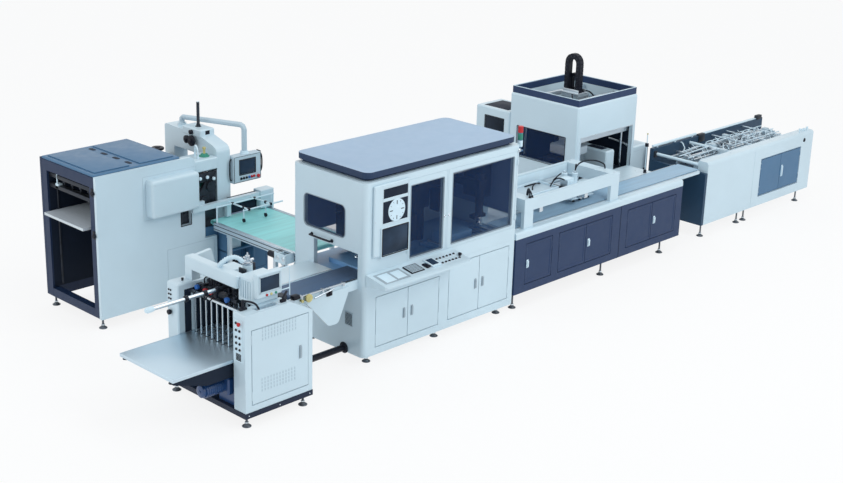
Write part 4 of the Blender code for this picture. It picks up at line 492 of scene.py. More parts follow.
def turned(start, direction, profile, sides=20):
    """A turned part: a disc at start, drawn out along direction ring by ring.

    profile lists (distance from start, radius) of each ring.
    """
    rest()
    direction = Vector(direction).normalized()
    turn = direction.to_track_quat("Z", "Y").to_euler()
    origin = HOME + Vector(start)
    place, radius = profile[0]
    bpy.ops.mesh.primitive_circle_add(vertices=sides, radius=radius, fill_type="NGON",
                                      location=origin + direction * place, rotation=turn)
    item = bpy.context.object
    bpy.ops.object.transform_apply(location=True, rotation=True, scale=True)
    bpy.ops.object.mode_set(mode="EDIT")
    bpy.ops.mesh.select_all(action="SELECT")
    for next_place, next_radius in profile[1:]:
        step = direction * (next_place - place)
        bpy.ops.mesh.extrude_region_move(TRANSFORM_OT_translate={"value": step})
        factor = next_radius / radius
        bpy.ops.transform.resize(value=(factor, factor, factor),
                                 center_override=origin + direction * next_place)
        place, radius = next_place, next_radius
    bpy.ops.mesh.select_all(action="SELECT")
    bpy.ops.mesh.normals_make_consistent(inside=False)
    bpy.ops.object.mode_set(mode="OBJECT")
    return item


def conduit(points, radius, sides=3, smooth=True):
    """A bent tube through the points, closed at both ends."""
    rest()
    bpy.ops.curve.primitive_nurbs_path_add(location=(0.0, 0.0, 0.0))
    item = bpy.context.object
    path = item.data
    path.splines.clear()
    line = path.splines.new("NURBS" if smooth else "POLY")
    line.points.add(len(points) - 1)
    for spot, point in zip(line.points, points):
        spot.co = (*(HOME + Vector(point)), 1.0)
    if smooth:
        line.order_u = 3
        line.use_endpoint_u = True
        line.resolution_u = 6
    path.bevel_depth = radius
    path.bevel_resolution = sides
    path.use_fill_caps = True
    bpy.ops.object.convert(target="MESH")
    return bpy.context.object


def rim(facing, place, first, second, width, depth, corner=0.004, segments=2):
    """A flat frame with rounded corners round an opening.

    facing is "Y" for a frame on a front face and "X" for one on a left face; first and second
    are its outer (low, high) pairs across and up, and it stands depth proud of place.
    """
    rest()
    across, up = along((first[0], second[0]), (first[1], second[1]))
    size = (first[1] - first[0], second[1] - second[0], 1.0)
    if facing == "Y":
        spot = Vector((across, place - depth / 2, up))
        turn = (QUARTER_TURN, 0.0, 0.0)
    else:
        spot = Vector((place - depth / 2, across, up))
        turn = (QUARTER_TURN, 0.0, -QUARTER_TURN)
    bpy.ops.mesh.primitive_plane_add(size=1.0, location=HOME + spot, rotation=turn)
    item = bpy.context.object
    item.scale = size
    bpy.ops.object.transform_apply(location=True, rotation=True, scale=True)
    bpy.ops.object.mode_set(mode="EDIT")
    bpy.ops.mesh.select_all(action="SELECT")
    if corner > 0:
        bpy.ops.mesh.bevel(offset=corner, segments=segments, affect="VERTICES")
    bpy.ops.mesh.select_all(action="SELECT")
    bpy.ops.mesh.inset(thickness=width)
    bpy.ops.mesh.delete(type="FACE")
    bpy.ops.object.mode_set(mode="OBJECT")
    use_modifier(item, "SOLIDIFY", thickness=depth, offset=0.0)
    return item


def capsule(facing, centre, length, height, depth):
    """A flat plate with round ends lying on a face; facing is "Y" for a front face, "Z" for a top."""
    rest()
    turn = (QUARTER_TURN, 0.0, 0.0) if facing == "Y" else (0.0, 0.0, 0.0)
    bpy.ops.mesh.primitive_plane_add(size=1.0, location=HOME + Vector(centre), rotation=turn)
    item = bpy.context.object
    item.scale = (length, height, 1.0)
    bpy.ops.object.transform_apply(location=True, rotation=True, scale=True)
    bpy.ops.object.mode_set(mode="EDIT")
    bpy.ops.mesh.select_all(action="SELECT")
    bpy.ops.mesh.bevel(offset=min(length, height) * 0.49, segments=4, affect="VERTICES")
    bpy.ops.object.mode_set(mode="OBJECT")
    use_modifier(item, "SOLIDIFY", thickness=depth, offset=0.0)
    return item


def copies(item, shifts):
    """The piece with a copy of it, mesh and all, at each shift."""
    made = [item]
    for shift in shifts:
        twin = item.copy()
        twin.data = item.data.copy()
        twin.data.transform(Matrix.Translation(Vector(shift)))
        bpy.context.collection.objects.link(twin)
        made.append(twin)
    return made


def row(item, step, count):
    """count pieces in all, each a step on from the last."""
    return copies(item, [Vector(step) * index for index in range(1, count)])


def joined(shapes):
    """The shapes as one mesh."""
    rest()
    for item in shapes:
        item.select_set(True)
    bpy.context.view_layer.objects.active = shapes[0]
    if len(shapes) > 1:
        bpy.ops.object.join()
    return shapes[0]


def tray(x, y, z, width):
    """The four walls of a flat rectangular tray."""
    return joined([block(x, (y[0], y[0] + width), z, 0.002), block(x, (y[1] - width, y[1]), z, 0.002),
                   block((x[0], x[0] + width), y, z, 0.002), block((x[1] - width, x[1]), y, z, 0.002)])


def settle(name, paint, shapes, body=LINE):
    """Join the shapes into one piece, paint it and let it ride on its body."""
    piece = joined(shapes)
    bpy.ops.object.shade_smooth_by_angle(angle=SMOOTH_ANGLE)
    piece.name = name
    piece.data.name = name
    piece.data.materials.clear()
    piece.data.materials.append(PAINTS[paint])
    for face in piece.data.polygons:
        face.material_index = 0
    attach(piece, body)
    rest()
    return piece


def screws(spots, direction, radius=None):
    """Low round screw heads with a dished top at the spots."""
    direction = Vector(direction)
    if radius is None:
        radius = bpy.context.scene.line_sizes.screw_head
    head = turned(spots[0], direction, [(-0.001, radius), (radius * 0.5, radius * 0.95),
                                        (radius * 0.8, radius * 0.6), (radius * 0.55, radius * 0.3)], 8)
    first = Vector(spots[0])
    return copies(head, [Vector(spot) - first for spot in spots[1:]])


def spun(item, centre, count):
    """Copies of the piece turned round an X axis through centre, count in all."""
    made = [item]
    hub = Matrix.Translation(HOME + Vector(centre))
    for index in range(1, count):
        twin = copies(item, [(0.0, 0.0, 0.0)])[1]
        twin.data.transform(hub @ Matrix.Rotation(math.tau * index / count, 4, "X") @ hub.inverted())
        made.append(twin)
    return made


def lever_handle(x, front, middle, height, sunk=0.0):
    """A lever with its plate and lock barrel over a door's handle; sunk is the face's pressing."""
    lever = block(about(x, 0.0115), (front - 0.0165, front + sunk - 0.001),
                  (middle - height / 2 - 0.003, middle + height / 2 + 0.003), 0.004, 3)
    plate = block(about(x, 0.0165), (front - 0.0025, front + sunk + 0.0005),
                  (middle - height / 2 - 0.014, middle + height / 2 + 0.014), 0.001)
    barrel = turned((x, front - 0.016, middle + height * 0.3), FRONT,
                    [(0, 0.007), (0.0015, 0.007), (0.002, 0.005), (0.0012, 0.003)], 14)
    return [lever, plate, barrel]


def levelling_nuts(name, xs, ys, top):
    """A hexagon nut under the frame and a dark steel ring on the pad of every screw foot."""
    first = (xs[0], ys[0])
    spots = [(x, y) for x in xs for y in ys]
    shifts = [(x - first[0], y - first[1], 0.0) for x, y in spots[1:]]
    wide = bpy.context.scene.line_sizes.foot_nut
    nut = turned((*first, top - 0.022), UP,
                 [(0, wide - 0.003), (0.003, wide), (0.017, wide), (0.02, wide - 0.003)], 6)
    lock_nut = turned((*first, 0.034), UP, [(0, 0.019), (0.002, 0.021), (0.012, 0.021), (0.014, 0.019)], 6)
    settle(name, "bright_steel", copies(nut, shifts) + copies(lock_nut, shifts))
    ring = turned((*first, 0.0005), UP, [(0, 0.0455), (0.006, 0.0455), (0.008, 0.042), (0.012, 0.038)], 20)
    settle(name + "_pads", "foot_steel", copies(ring, shifts))


class LINE_OT_paint_frame(bpy.types.Operator):
    """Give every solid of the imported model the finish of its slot"""
    bl_idname = "line.paint_frame"
    bl_label = "Paint the machine's solids"

    def execute(self, context):
        colours = context.scene.line_colours
        PAINTS.update(make_paints(colours))
        slots = {piece["node"]: piece["material_slot"] for piece in frame["record"]["subparts"]}
        for node, item in frame["nodes"].items():
            slot = slots[node]
            paint = on_feet(node, slot, colours) if node in FOOT_TOP else PAINTS[NODE_PAINT.get(node, slot)]
            for held in item.material_slots:
                held.material = paint
        return {"FINISHED"}


def main_door_levers():
    """A lever with its plate and lock barrel on each lower door."""
    for number, door in enumerate(("main_door_1", "main_door_2", "main_door_3", "main_door_4")):
        low, high = local_box(door)
        middle = (low[2] + high[2]) / 2
        inset = 0.055
        x = high[0] - inset if number % 2 == 0 else low[0] + inset
        settle(door + "_lever", "lever_grey", lever_handle(x, 0.0, middle, 0.09), door)


def main_base_trim(low):
    """Bolt heads along the base cabinet's lower edge and levelling nuts on its feet."""
    base_high = local_box("main_base_cabinet")[1]
    spots = [(x, low[1], 0.135) for x in (0.08, 0.62, 1.19, 1.75, base_high[0] - 0.07)]
    spots += [(low[0], y, 0.135) for y in (0.09, 0.4, 0.72, 1.02)]
    front = screws(spots[:5], FRONT)
    left = screws(spots[5:], LEFT)
    settle("main_base_screws", "bright_steel", front + left)
    levelling_nuts("main_levelling_nuts", (0.16, base_high[0] / 2, base_high[0] - 0.16),
                   (0.12, base_high[1] - 0.12), 0.11)


def lamp_tower():
    """The lamp tower's coloured lenses over a pale foot."""
    high = local_box("signal_tower")[1]
    x, y = high[0] - 0.027, 0.06
    foot_z = 1.9
    radius = 0.0285
    bands = 6
    for name, paint, start, end in (("tower_red_lamp", "red_plastic", 0.215, 0.285),
                                    ("tower_green_lamp", "green_plastic", 0.135, 0.205),
                                    ("tower_foot", "white_plastic", 0.055, 0.125)):
        rings = [(start, radius), (start + 0.004, radius + 0.0012)]
        for index in range(1, bands):
            place = start + 0.004 + (end - start - 0.008) * index / bands
            rings += [(place - 0.002, radius + 0.0012), (place, radius), (place + 0.002, radius + 0.0012)]
        rings += [(end - 0.004, radius + 0.0012), (end, radius)]
        settle(name, paint, [turned((x, y, foot_z), UP, rings, 24)])
    settle("tower_cap", "black_plastic",
           [turned((x, y, high[2] - 0.001), UP, [(0, 0.027), (0.004, 0.024), (0.006, 0.012)], 20)])


class LINE_OT_main_outside(bpy.types.Operator):
    """Trim, vents, handles and corner lock on the main machine's outside"""
    bl_idname = "line.main_outside"
    bl_label = "Main machine: outside"

    def execute(self, context):
        sizes = context.scene.line_sizes
        low, high = local_box("main_enclosure")
        seal = sizes.window_seal
        shapes = []
        for node in ("main_window_front_1", "main_window_front_2"):
            near, far = local_box(node)
            shapes.append(rim("Y", low[1], (near[0] - seal, far[0] + seal), (near[2] - seal, far[2] + seal),
                              seal, 0.004, 0.016, 3))
        near, far = local_box("main_window_left")
        shapes.append(rim("X", low[0], (near[1] - seal, far[1] + seal), (near[2] - seal, far[2] + seal),
                          seal, 0.004, 0.062, 5))
        settle("main_window_seals", "lever_grey", shapes)

        handle_z = 1.28
        handle_y = (0.49, 0.8)
        stand = low[0] - 0.035
        pull = [conduit([(low[0], handle_y[0], handle_z), (stand, handle_y[0], handle_z),
                         (stand - 0.004, sum(handle_y) / 2, handle_z), (stand, handle_y[1], handle_z),
                         (low[0], handle_y[1], handle_z)], 0.011, 3, False)]
        for y in handle_y:
            pull.append(turned((low[0] + 0.001, y, handle_z), LEFT,
                               [(0, 0.02), (0.006, 0.02), (0.01, 0.013)]))
        settle("main_left_pull", "black_plastic", pull)

        louvres = []
        vent_y, vent_z = (0.16, 0.28), (0.42, 0.57)
        slat = block((low[0] - 0.006, low[0] + 0.001), (vent_y[0] + 0.008, vent_y[1] - 0.008),
                     (vent_z[0] + 0.006, vent_z[0] + 0.011), 0.0015, 1)
        louvres += row(slat, (0.0, 0.0, 0.014), 10)
        louvres.append(rim("X", low[0], vent_y, vent_z, 0.008, 0.006, 0.004))
        settle("main_left_vent", "panel_grey", louvres)
        # A black sheet behind the slats is painted shade for the inside of the vent
        settle("main_left_vent_shade", "black_plastic",
               [block((low[0] - 0.0012, low[0] + 0.001), (vent_y[0] + 0.004, vent_y[1] - 0.004),
                      (vent_z[0] + 0.004, vent_z[1] - 0.004), 0.0)])
        collar = turned((low[0] + 0.001, 0.29, 0.15), LEFT,
                        [(0, 0.062), (0.006, 0.062), (0.009, 0.052), (0.022, 0.048), (0.022, 0.037)], 28)
        settle("main_duct_collar", "black_rubber", [collar])

        hinge_z = (high[2] - 0.2, low[2] + 0.26)
        barrels = []
        for x in (0.609, high[0] - 0.049):
            for z in hinge_z:
                barrels.append(turned((x, low[1] - 0.006, z - 0.03), UP,
                                      [(0, 0.006), (0.002, 0.008), (0.058, 0.008), (0.06, 0.006)], 10))
                barrels.append(block(about(x, 0.022), (low[1] - 0.004, low[1] + 0.001), about(z, 0.025),
                                     0.002))
        settle("main_upper_hinges", "white_enamel", barrels)

        lock = [turned((high[0] - 0.028, low[1] + 0.001, high[2] - 0.065), FRONT,
                       [(0, 0.022), (0.006, 0.022), (0.01, 0.017), (0.01, 0.012), (0.018, 0.01)], 20)]
        for x, z in ((1.17, 1.42), (1.235, 1.42)):
            lock.append(turned((x, low[1] + 0.001, z), FRONT,
                               [(0, 0.014), (0.004, 0.014), (0.007, 0.01), (0.004, 0.006)], 16))
        settle("main_locks", "polished_chrome", lock)
        main_door_levers()
        main_base_trim(low)
        lamp_tower()
        return {"FINISHED"}


def panel_dial(x, face, z):
    """A plain round dial: pale disc, rim, twelve ticks and four pointers."""
    disc = turned((x, face + 0.003, z), FRONT,
                  [(0, 0.12), (0.004, 0.12), (0.006, 0.117), (0.0055, 0.11), (0.0055, 0.036),
                   (0.0075, 0.034), (0.0085, 0.012)], 48)
    settle("panel_dial_disc", "white_plastic", [disc])
    marks = []
    for index in range(12):
        turn = math.radians(30 * index)
        way = Vector((math.sin(turn), 0.0, math.cos(turn)))
        start = Vector((x, face - 0.0032, z)) + way * 0.09
        if index % 3:
            marks.append(bar(start, start + way * 0.014, 0.002, 6, 0))
        else:
            marks.append(bar(start - way * 0.03, start + way * 0.01, 0.0044, 6, 0))
    settle("panel_dial_marks", "black_plastic", marks)


def console_fittings():
    """Keypad, touch screen, mouse, two rows of push buttons and a desk mat on the console."""
    tilt = 0.05 / 0.27

    def top(y):
        return 1.035 + y * tilt

    def on_shelf(x, y, thick, edge=0.002, lift=0.0005):
        item = block(x, y, (0.0, thick), edge)
        shift = Matrix.Translation(HOME + Vector((0.0, sum(y) / 2, top(sum(y) / 2) + lift)))
        turn = Matrix.Rotation(math.atan(tilt), 4, "X")
        back = Matrix.Translation(-HOME - Vector((0.0, sum(y) / 2, 0.0)))
        item.data.transform(shift @ turn @ back)
        return item

    settle("console_mat", "lever_grey", [on_shelf((0.07, 0.43), (-0.25, -0.05), 0.003, 0.001)])
    settle("console_keypad", "black_plastic",
           [on_shelf((0.47, 0.66), (-0.22, -0.07), 0.01, 0.003)])
    key = on_shelf((0.484, 0.5), (-0.21, -0.194), 0.013, 0.002)
    step_up = 0.022 * tilt
    keys = row(key, (0.0205, 0.0, 0.0), 8)
    rows_behind = []
    for line in range(1, 6):
        for item in keys:
            rows_behind += copies(item, [(0.0, 0.022 * line, step_up * line)])[1:]
    settle("console_keys", "panel_grey", keys + rows_behind)
    mouse = block((0.705, 0.76), (-0.215, -0.12), (0.0, 0.026), 0.012, 4)
    mouse.data.transform(Matrix.Translation(Vector((0.0, 0.0, top(-0.168) - 0.004))))
    settle("console_mouse", "black_plastic", [mouse])
    settle("console_touch_frame", "white_plastic",
           [on_shelf((0.775, 0.91), (-0.225, -0.065), 0.016, 0.004)])
    settle("console_touch_screen", "screen_glass",
           [on_shelf((0.795, 0.89), (-0.205, -0.085), 0.001, 0.0, 0.0162)])
    settle("console_sheets", "white_plastic",
           [on_shelf((0.1, 0.24), (-0.235, -0.075), 0.002, 0.0008, 0.0036),
            on_shelf((0.27, 0.4), (-0.225, -0.085), 0.0015, 0.0006, 0.0036)])
    spots = [(0.94 + index * 0.052, y) for y in (-0.205, -0.115) for index in range(6)]
    collars = []
    caps = []
    for x, y in spots:
        base = (x, y, top(y) - 0.003)
        way = (0.0, -tilt, 1.0)
        collars.append(turned(base, way, [(0, 0.0165), (0.007, 0.0165), (0.009, 0.014), (0.008, 0.0125)],
                              14))
        caps.append(turned(base, way, [(0.0, 0.0122), (0.015, 0.0122), (0.018, 0.0105)], 14))
    settle("console_button_rings", "bright_steel", collars)
    settle("console_button_caps", "black_plastic", caps)
    stop = [turned((1.245, -0.165, top(-0.165) - 0.003), (0.0, -tilt, 1.0),
                   [(0, 0.014), (0.018, 0.014), (0.02, 0.022), (0.028, 0.022), (0.033, 0.015)], 20)]
    settle("console_stop_button", "black_plastic", stop)


class LINE_OT_control_panel(bpy.types.Operator):
    """Plates, dial, monitor and console controls on the main machine's front"""
    bl_idname = "line.control_panel"
    bl_label = "Main machine: controls"

    def execute(self, context):
        face = -0.03
        screen_face = -0.045
        plate = block((0.219, 0.576), (face + 0.0008, face + 0.004), (1.8, 1.916), 0.001)
        settle("panel_sign_plate", "dark_panel", [plate])
        dial_plate = block((0.219, 0.576), (face + 0.0008, face + 0.004), (1.538, 1.786), 0.001)
        settle("panel_dial_plate", "dark_panel", [dial_plate])
        panel_dial(0.415, face, 1.66)
        glass = block((0.209, 0.568), (screen_face + 0.0006, screen_face + 0.004), (1.21, 1.485), 0.001)
        settle("panel_monitor_screen", "screen_glass", [glass])
        settle("panel_monitor_bezel", "black_plastic",
               [rim("Y", screen_face, (0.199, 0.578), (1.197, 1.498), 0.011, 0.003, 0.008, 3)])
        settle("panel_edge_trim", "bright_steel",
               [rim("Y", face, (0.214, 0.581), (1.533, 1.921), 0.002, 0.002, 0.004)])
        settle("panel_screws", "bright_steel",
               screws([(x, face, z) for x in (0.118, 0.582) for z in (1.225, 1.58, 1.935)], FRONT, 0.006))
        console_fittings()
        return {"FINISHED"}


class LINE_OT_main_inside(bpy.types.Operator):
    """Liner, deck, slides and tools behind the main machine's windows"""
    bl_idname = "line.main_inside"
    bl_label = "Main machine: inside"

    def execute(self, context):
        low, high = local_box("main_enclosure")
        wall = 0.05
        gap = 0.004
        inner_x = (low[0] + wall + gap, high[0] - wall - gap)
        inner_y = (low[1] + wall + gap, high[1] - wall - gap)
        ceiling = high[2] - wall - gap
        liner = [
            block(inner_x, (inner_y[1] - 0.004, inner_y[1]), (1.21, ceiling), 0.0),
            block(inner_x, inner_y, (ceiling - 0.004, ceiling), 0.0),
            block((inner_x[1] - 0.004, inner_x[1]), inner_y, (1.19, ceiling), 0.0),
        ]
        settle("main_liner", "liner_blue", liner)
        deck_z = 0.935
        deck = [block((0.06, 2.31), (0.06, 1.03), (0.9015, deck_z), 0.004),
                block((0.2, 0.95), (0.12, 0.76), (deck_z, 0.985), 0.006),
                block((1.3, 2.25), (0.1, 0.48), (deck_z, 0.975), 0.006),
                block((1.4, 1.75), (0.12, 0.4), (0.976, 1.12), 0.01)]
        settle("main_deck", "deck_blue", deck)
        rails = []
        for y in (0.3, 0.92):
            rails.append(block((0.1, 1.36), about(y, 0.03), (1.74, 1.8), 0.004))
            rails.append(block((1.56, 2.28), about(y, 0.03), (1.74, 1.8), 0.004))
            rails.append(bar((0.1, y, 1.815), (2.28, y, 1.815), 0.012, 12))
        for x in (0.16, 1.12):
            rails.append(block(about(x, 0.03), (0.24, 0.96), (1.8, 1.86), 0.004))
        settle("main_slides", "aluminium", rails)
        heads = [
            block((0.78, 0.98), (0.22, 0.4), (1.42, 1.74), 0.008),
            block((0.82, 0.94), (0.18, 0.34), (1.16, 1.44), 0.008),
            block((0.24, 0.44), (0.34, 0.6), (1.4, 1.72), 0.008),
            block((0.28, 0.4), (0.4, 0.54), (1.1, 1.42), 0.008),
            block((0.5, 0.6), (0.7, 0.98), (0.99, 1.62), 0.008),
            block((2.06, 2.24), (0.3, 0.56), (1.36, 1.78), 0.008),
            block((1.62, 1.76), (0.52, 0.66), (1.24, 1.52), 0.008),
            block((1.36, 1.56), (0.6, 0.8), (1.3, 1.74), 0.008),
            block((1.9, 1.98), (0.6, 0.98), (1.44, 1.6), 0.008),
            block((0.66, 0.74), (0.42, 0.56), (1.3, 1.56), 0.008),
        ]
        settle("main_heads", "black_plastic", heads)
        fittings = []
        for x, y, z in ((0.88, 0.24, 1.14), (0.34, 0.47, 1.08), (1.94, 0.2, 1.185)):
            fittings.append(turned((x, y, z + 0.02), DOWN, [(0, 0.03), (0.02, 0.032), (0.03, 0.02),
                                                            (0.05, 0.018), (0.058, 0.026), (0.07, 0.03)],
                                   20))
        fittings += row(bar((0.3, 0.3, 1.3), (0.98, 0.3, 1.3), 0.01, 12), (0.0, 0.16, 0.05), 4)
        settle("main_suction_heads", "polished_chrome", fittings)
        cylinder = [turned((1.94, 0.2, 1.7), DOWN, [(0, 0.034), (0.02, 0.048), (0.05, 0.05), (0.34, 0.05),
                                                    (0.36, 0.044), (0.41, 0.03), (0.46, 0.024)], 24),
                    block((1.87, 2.01), (0.15, 0.25), (1.56, 1.64), 0.008)]
        settle("main_tool_cover", "black_plastic", cylinder)
        pegs = []
        for index in range(9):
            pegs.append(block((1.36 + index * 0.098, 1.4 + index * 0.098), (0.14, 0.44), (0.976, 0.992),
                              0.003))
        settle("main_deck_bars", "aluminium", pegs)
        return {"FINISHED"}


def table_strips(sizes):
    """Belt guides, nose roller, screws, grooves and sensor of the table's top."""
    top = 0.95
    end = 6.17
    strips = [block((2.4, 5.63), about(y, 0.006), (top - 0.002, top + sizes.belt_guide), 0.002)
              for y in (0.108, 0.482)]
    settle("table_belt_guides", "aluminium", strips)
    caps = [block((5.64, end - 0.03), about(y, 0.004), (top - 0.03, top + 0.006), 0.002)
            for y in (0.104, 0.486)]
    settle("table_nose_cheeks", "bright_steel", caps)
    settle("table_nose_roller", "polished_chrome",
           [turned((end - 0.006, 0.128, top - 0.007), BACK,
                   [(0, 0.008), (0.004, 0.012), (0.33, 0.012), (0.334, 0.008)], 16)])
    spots = [(x, y, top) for x in (2.62, 3.2, 3.8, 4.28, 4.42, 4.9, 5.5) for y in (0.055, 0.66)]
    settle("table_screws", "bright_steel", screws(spots, UP, 0.006))
    groove = [block((2.42, 5.62), (0.6, 0.604), (top - 0.001, top + 0.0006), 0.0),
              block((4.3385, 4.3421), (0.006, 0.86), (top - 0.001, top + 0.0008), 0.0)]
    settle("table_top_grooves", "panel_grey", groove)
    sensor_x, sensor_y = 5.5303, 0.53
    settle("table_sensor_foot", "black_plastic",
           [turned((sensor_x, sensor_y, top), UP,
                   [(0, 0.024), (0.006, 0.024), (0.01, 0.02), (0.038, 0.02), (0.044, 0.012)], 20),
            block(about(sensor_x, 0.016), about(sensor_y, 0.02), (1.3, 1.345), 0.004)])
    settle("table_sensor_cap", "yellow_plastic",
           [turned((sensor_x, sensor_y, 1.462), UP,
                   [(0, 0.0085), (0.003, 0.01), (0.014, 0.01), (0.017, 0.007)], 14)])


def guard_fittings():
    """Screws, feet, hinges and edge strips of the guard frame."""
    low, high = local_box("guard_frame")
    top = high[2]
    corners = []
    for x in (low[0] + 0.08, high[0] - 0.08):
        for y in (low[1] + 0.025, high[1] - 0.025):
            corners.append(turned((x, y, top), UP, [(-0.001, 0.013), (0.005, 0.013), (0.008, 0.008)], 6))
            corners += screws([(x - 0.05, y, top), (x + 0.05, y, top)], UP, 0.006)
            corners.append(block(about(x, 0.075), about(y, 0.021), (0.9498, 0.958), 0.002))
    settle("guard_fasteners", "bright_steel", corners)
    settle("guard_top_edge", "white_plastic",
           [block((low[0] + 0.17, high[0] - 0.17), y, (1.17, 1.285), 0.001)
            for y in ((low[1] + 0.052, low[1] + 0.058), (high[1] - 0.058, high[1] - 0.052))])
    hinges = [block(about(x, 0.03), (high[1] - 0.001, high[1] + 0.006), (1.19, 1.26), 0.002)
              for x in (low[0] + 0.4, high[0] - 0.4)]
    settle("guard_hinges", "black_plastic", hinges)


def gantry_gripper():
    """Tray, guide rods, head plates, cylinders and suction cups of the gantry."""
    head_x, head_y = 3.6803, 0.35
    settle("gantry_tray_liner", "panel_grey",
           [block((2.84, 3.52), (0.37, 0.67), (1.176, 1.18), 0.002)])
    settle("gantry_tray_sides", "white_plastic",
           [tray((2.822, 3.538), (0.352, 0.688), (1.166, 1.2), 0.012)])
    slides = [bar((2.9, y, 1.115), (4.26, y, 1.115), 0.011, 14) for y in (0.145, 0.195, 0.635, 0.685)]
    slides += [bar((head_x + dx, 0.09, 1.095), (head_x + dx, 0.75, 1.095), 0.009, 12)
               for dx in (-0.045, 0.045)]
    settle("gantry_guide_rods", "polished_chrome", slides)
    head = [block(about(head_x, 0.056), (0.292, 0.306), (1.02, 1.262), 0.004),
            block(about(head_x, 0.02), (0.286, 0.296), (1.04, 1.25), 0.002),
            block(about(head_x, 0.07), (0.3, 0.42), (1.262, 1.278), 0.004)]
    settle("gantry_head_plates", "white_plastic", head)
    cylinders = []
    for x, y in ((head_x + 0.17, 0.53), (head_x + 0.27, 0.45)):
        cylinders.append(turned((x, y, 1.1), UP,
                                [(0, 0.03), (0.006, 0.038), (0.02, 0.038), (0.022, 0.034), (0.15, 0.034),
                                 (0.152, 0.038), (0.168, 0.038), (0.172, 0.022), (0.196, 0.01)], 24))
    settle("gantry_air_cylinders", "white_plastic", cylinders)
    cups = []
    for x in (head_x + 0.08, head_x + 0.2, head_x + 0.36):
        for y in about(head_y, 0.05):
            cups.append(turned((x, y, 1.0), DOWN, [(0, 0.009), (0.006, 0.013), (0.01, 0.01), (0.014, 0.015),
                                                   (0.018, 0.012), (0.024, 0.018), (0.026, 0.015)], 16))
    settle("gantry_suction_cups", "black_rubber", cups)
    plates = [block((head_x + 0.02, head_x + 0.44), about(head_y, 0.075), (1.004, 1.016), 0.003),
              block((head_x + 0.12, head_x + 0.3), about(head_y, 0.02), (1.016, 1.075), 0.005)]
    settle("gantry_jaw_plates", "white_plastic", plates)
    settle("gantry_valve_blocks", "dark_steel",
           row(block((head_x - 0.09, head_x - 0.062), (0.33, 0.37), (1.12, 1.18), 0.003), (0.0, 0.05, 0.0),
               5))
    settle("gantry_cable_runs", "black_rubber", [
        conduit([(3.5, 0.62, 1.182), (3.4, 0.6, 1.215), (3.28, 0.56, 1.2), (3.22, 0.5, 1.182)], 0.008, 2),
        conduit([(3.6, 0.33, 1.27), (3.54, 0.36, 1.31), (3.5, 0.42, 1.27), (3.5, 0.46, 1.182)], 0.008, 2),
        conduit([(3.8, 0.66, 1.15), (3.88, 0.62, 1.24), (3.98, 0.62, 1.22), (4.04, 0.66, 1.15)], 0.008, 2),
        bar((3.56, 0.55, 1.165), (3.56, 0.72, 1.165), 0.012, 10),
        bar((3.44, 0.64, 1.188), (3.24, 0.64, 1.188), 0.009, 10)])
    settle("gantry_status_light", "orange_plastic",
           [block((2.8, 2.9), (0.22, 0.3), (1.196, 1.222), 0.006),
            turned((2.85, 0.26, 1.219), UP, [(0, 0.02), (0.004, 0.02), (0.01, 0.012)], 16)])


def gantry_conduits():
    """Conduits clipped between the guard frame, the gantry and the former's wall."""
    settle("gantry_conduit_left", "black_rubber",
           [conduit([(2.66, 0.075, 1.298), (2.66, 0.075, 1.36), (2.69, 0.12, 1.4), (2.74, 0.18, 1.35),
                     (2.79, 0.23, 1.25), (2.82, 0.25, 1.21)], 0.01),
            conduit([(2.7, 0.075, 1.298), (2.71, 0.09, 1.34), (2.75, 0.16, 1.36), (2.8, 0.22, 1.29),
                     (2.86, 0.27, 1.22)], 0.007)])
    settle("gantry_conduit_right", "black_rubber",
           [conduit([(3.9503, 0.45, 1.29), (3.96, 0.445, 1.36), (4.04, 0.4, 1.415), (4.17, 0.33, 1.415),
                     (4.27, 0.28, 1.37), (4.295, 0.26, 1.34), (4.295, 0.26, 1.298)], 0.009),
            conduit([(3.97, 0.46, 1.27), (3.99, 0.48, 1.34), (4.03, 0.5, 1.36), (4.06, 0.52, 1.3),
                     (4.06, 0.55, 1.14)], 0.007)])
    glands = [turned(spot, UP, [(0, 0.017), (0.008, 0.017), (0.01, 0.013), (0.022, 0.012)], 12)
              for spot in ((2.66, 0.075, 1.299), (2.7, 0.075, 1.299))]
    settle("guard_cable_glands", "black_plastic", glands)


class LINE_OT_transfer(bpy.types.Operator):
    """Door levers, table strips, guard frame fittings, gripper and cables of the transfer table"""
    bl_idname = "line.transfer"
    bl_label = "Transfer table"

    def execute(self, context):
        low = local_box("transfer_cabinet")[0]
        for door in ("transfer_door_1", "transfer_door_3", "transfer_door_5"):
            near, far = local_box(door)
            inset = 0.035 if door == "transfer_door_1" else 0.055
            x = near[0] + inset
            settle(door + "_lever", "white_plastic",
                   lever_handle(x, 0.0, (near[2] + far[2]) / 2, 0.07, 0.004), door)
        settle("table_seam_seal", "black_rubber",
               [block((4.3383, 4.3423), (low[1] - 0.0012, low[1] + 0.003), (0.21, 0.865), 0.0005)])
        table_strips(context.scene.line_sizes)
        for side, x in (("left", 2.4703), ("middle", 4.1303), ("right", 5.3703)):
            levelling_nuts("table_nuts_" + side, (x,), (0.1, 0.77), 0.2)
        guard_fittings()
        gantry_gripper()
        gantry_conduits()
        return {"FINISHED"}


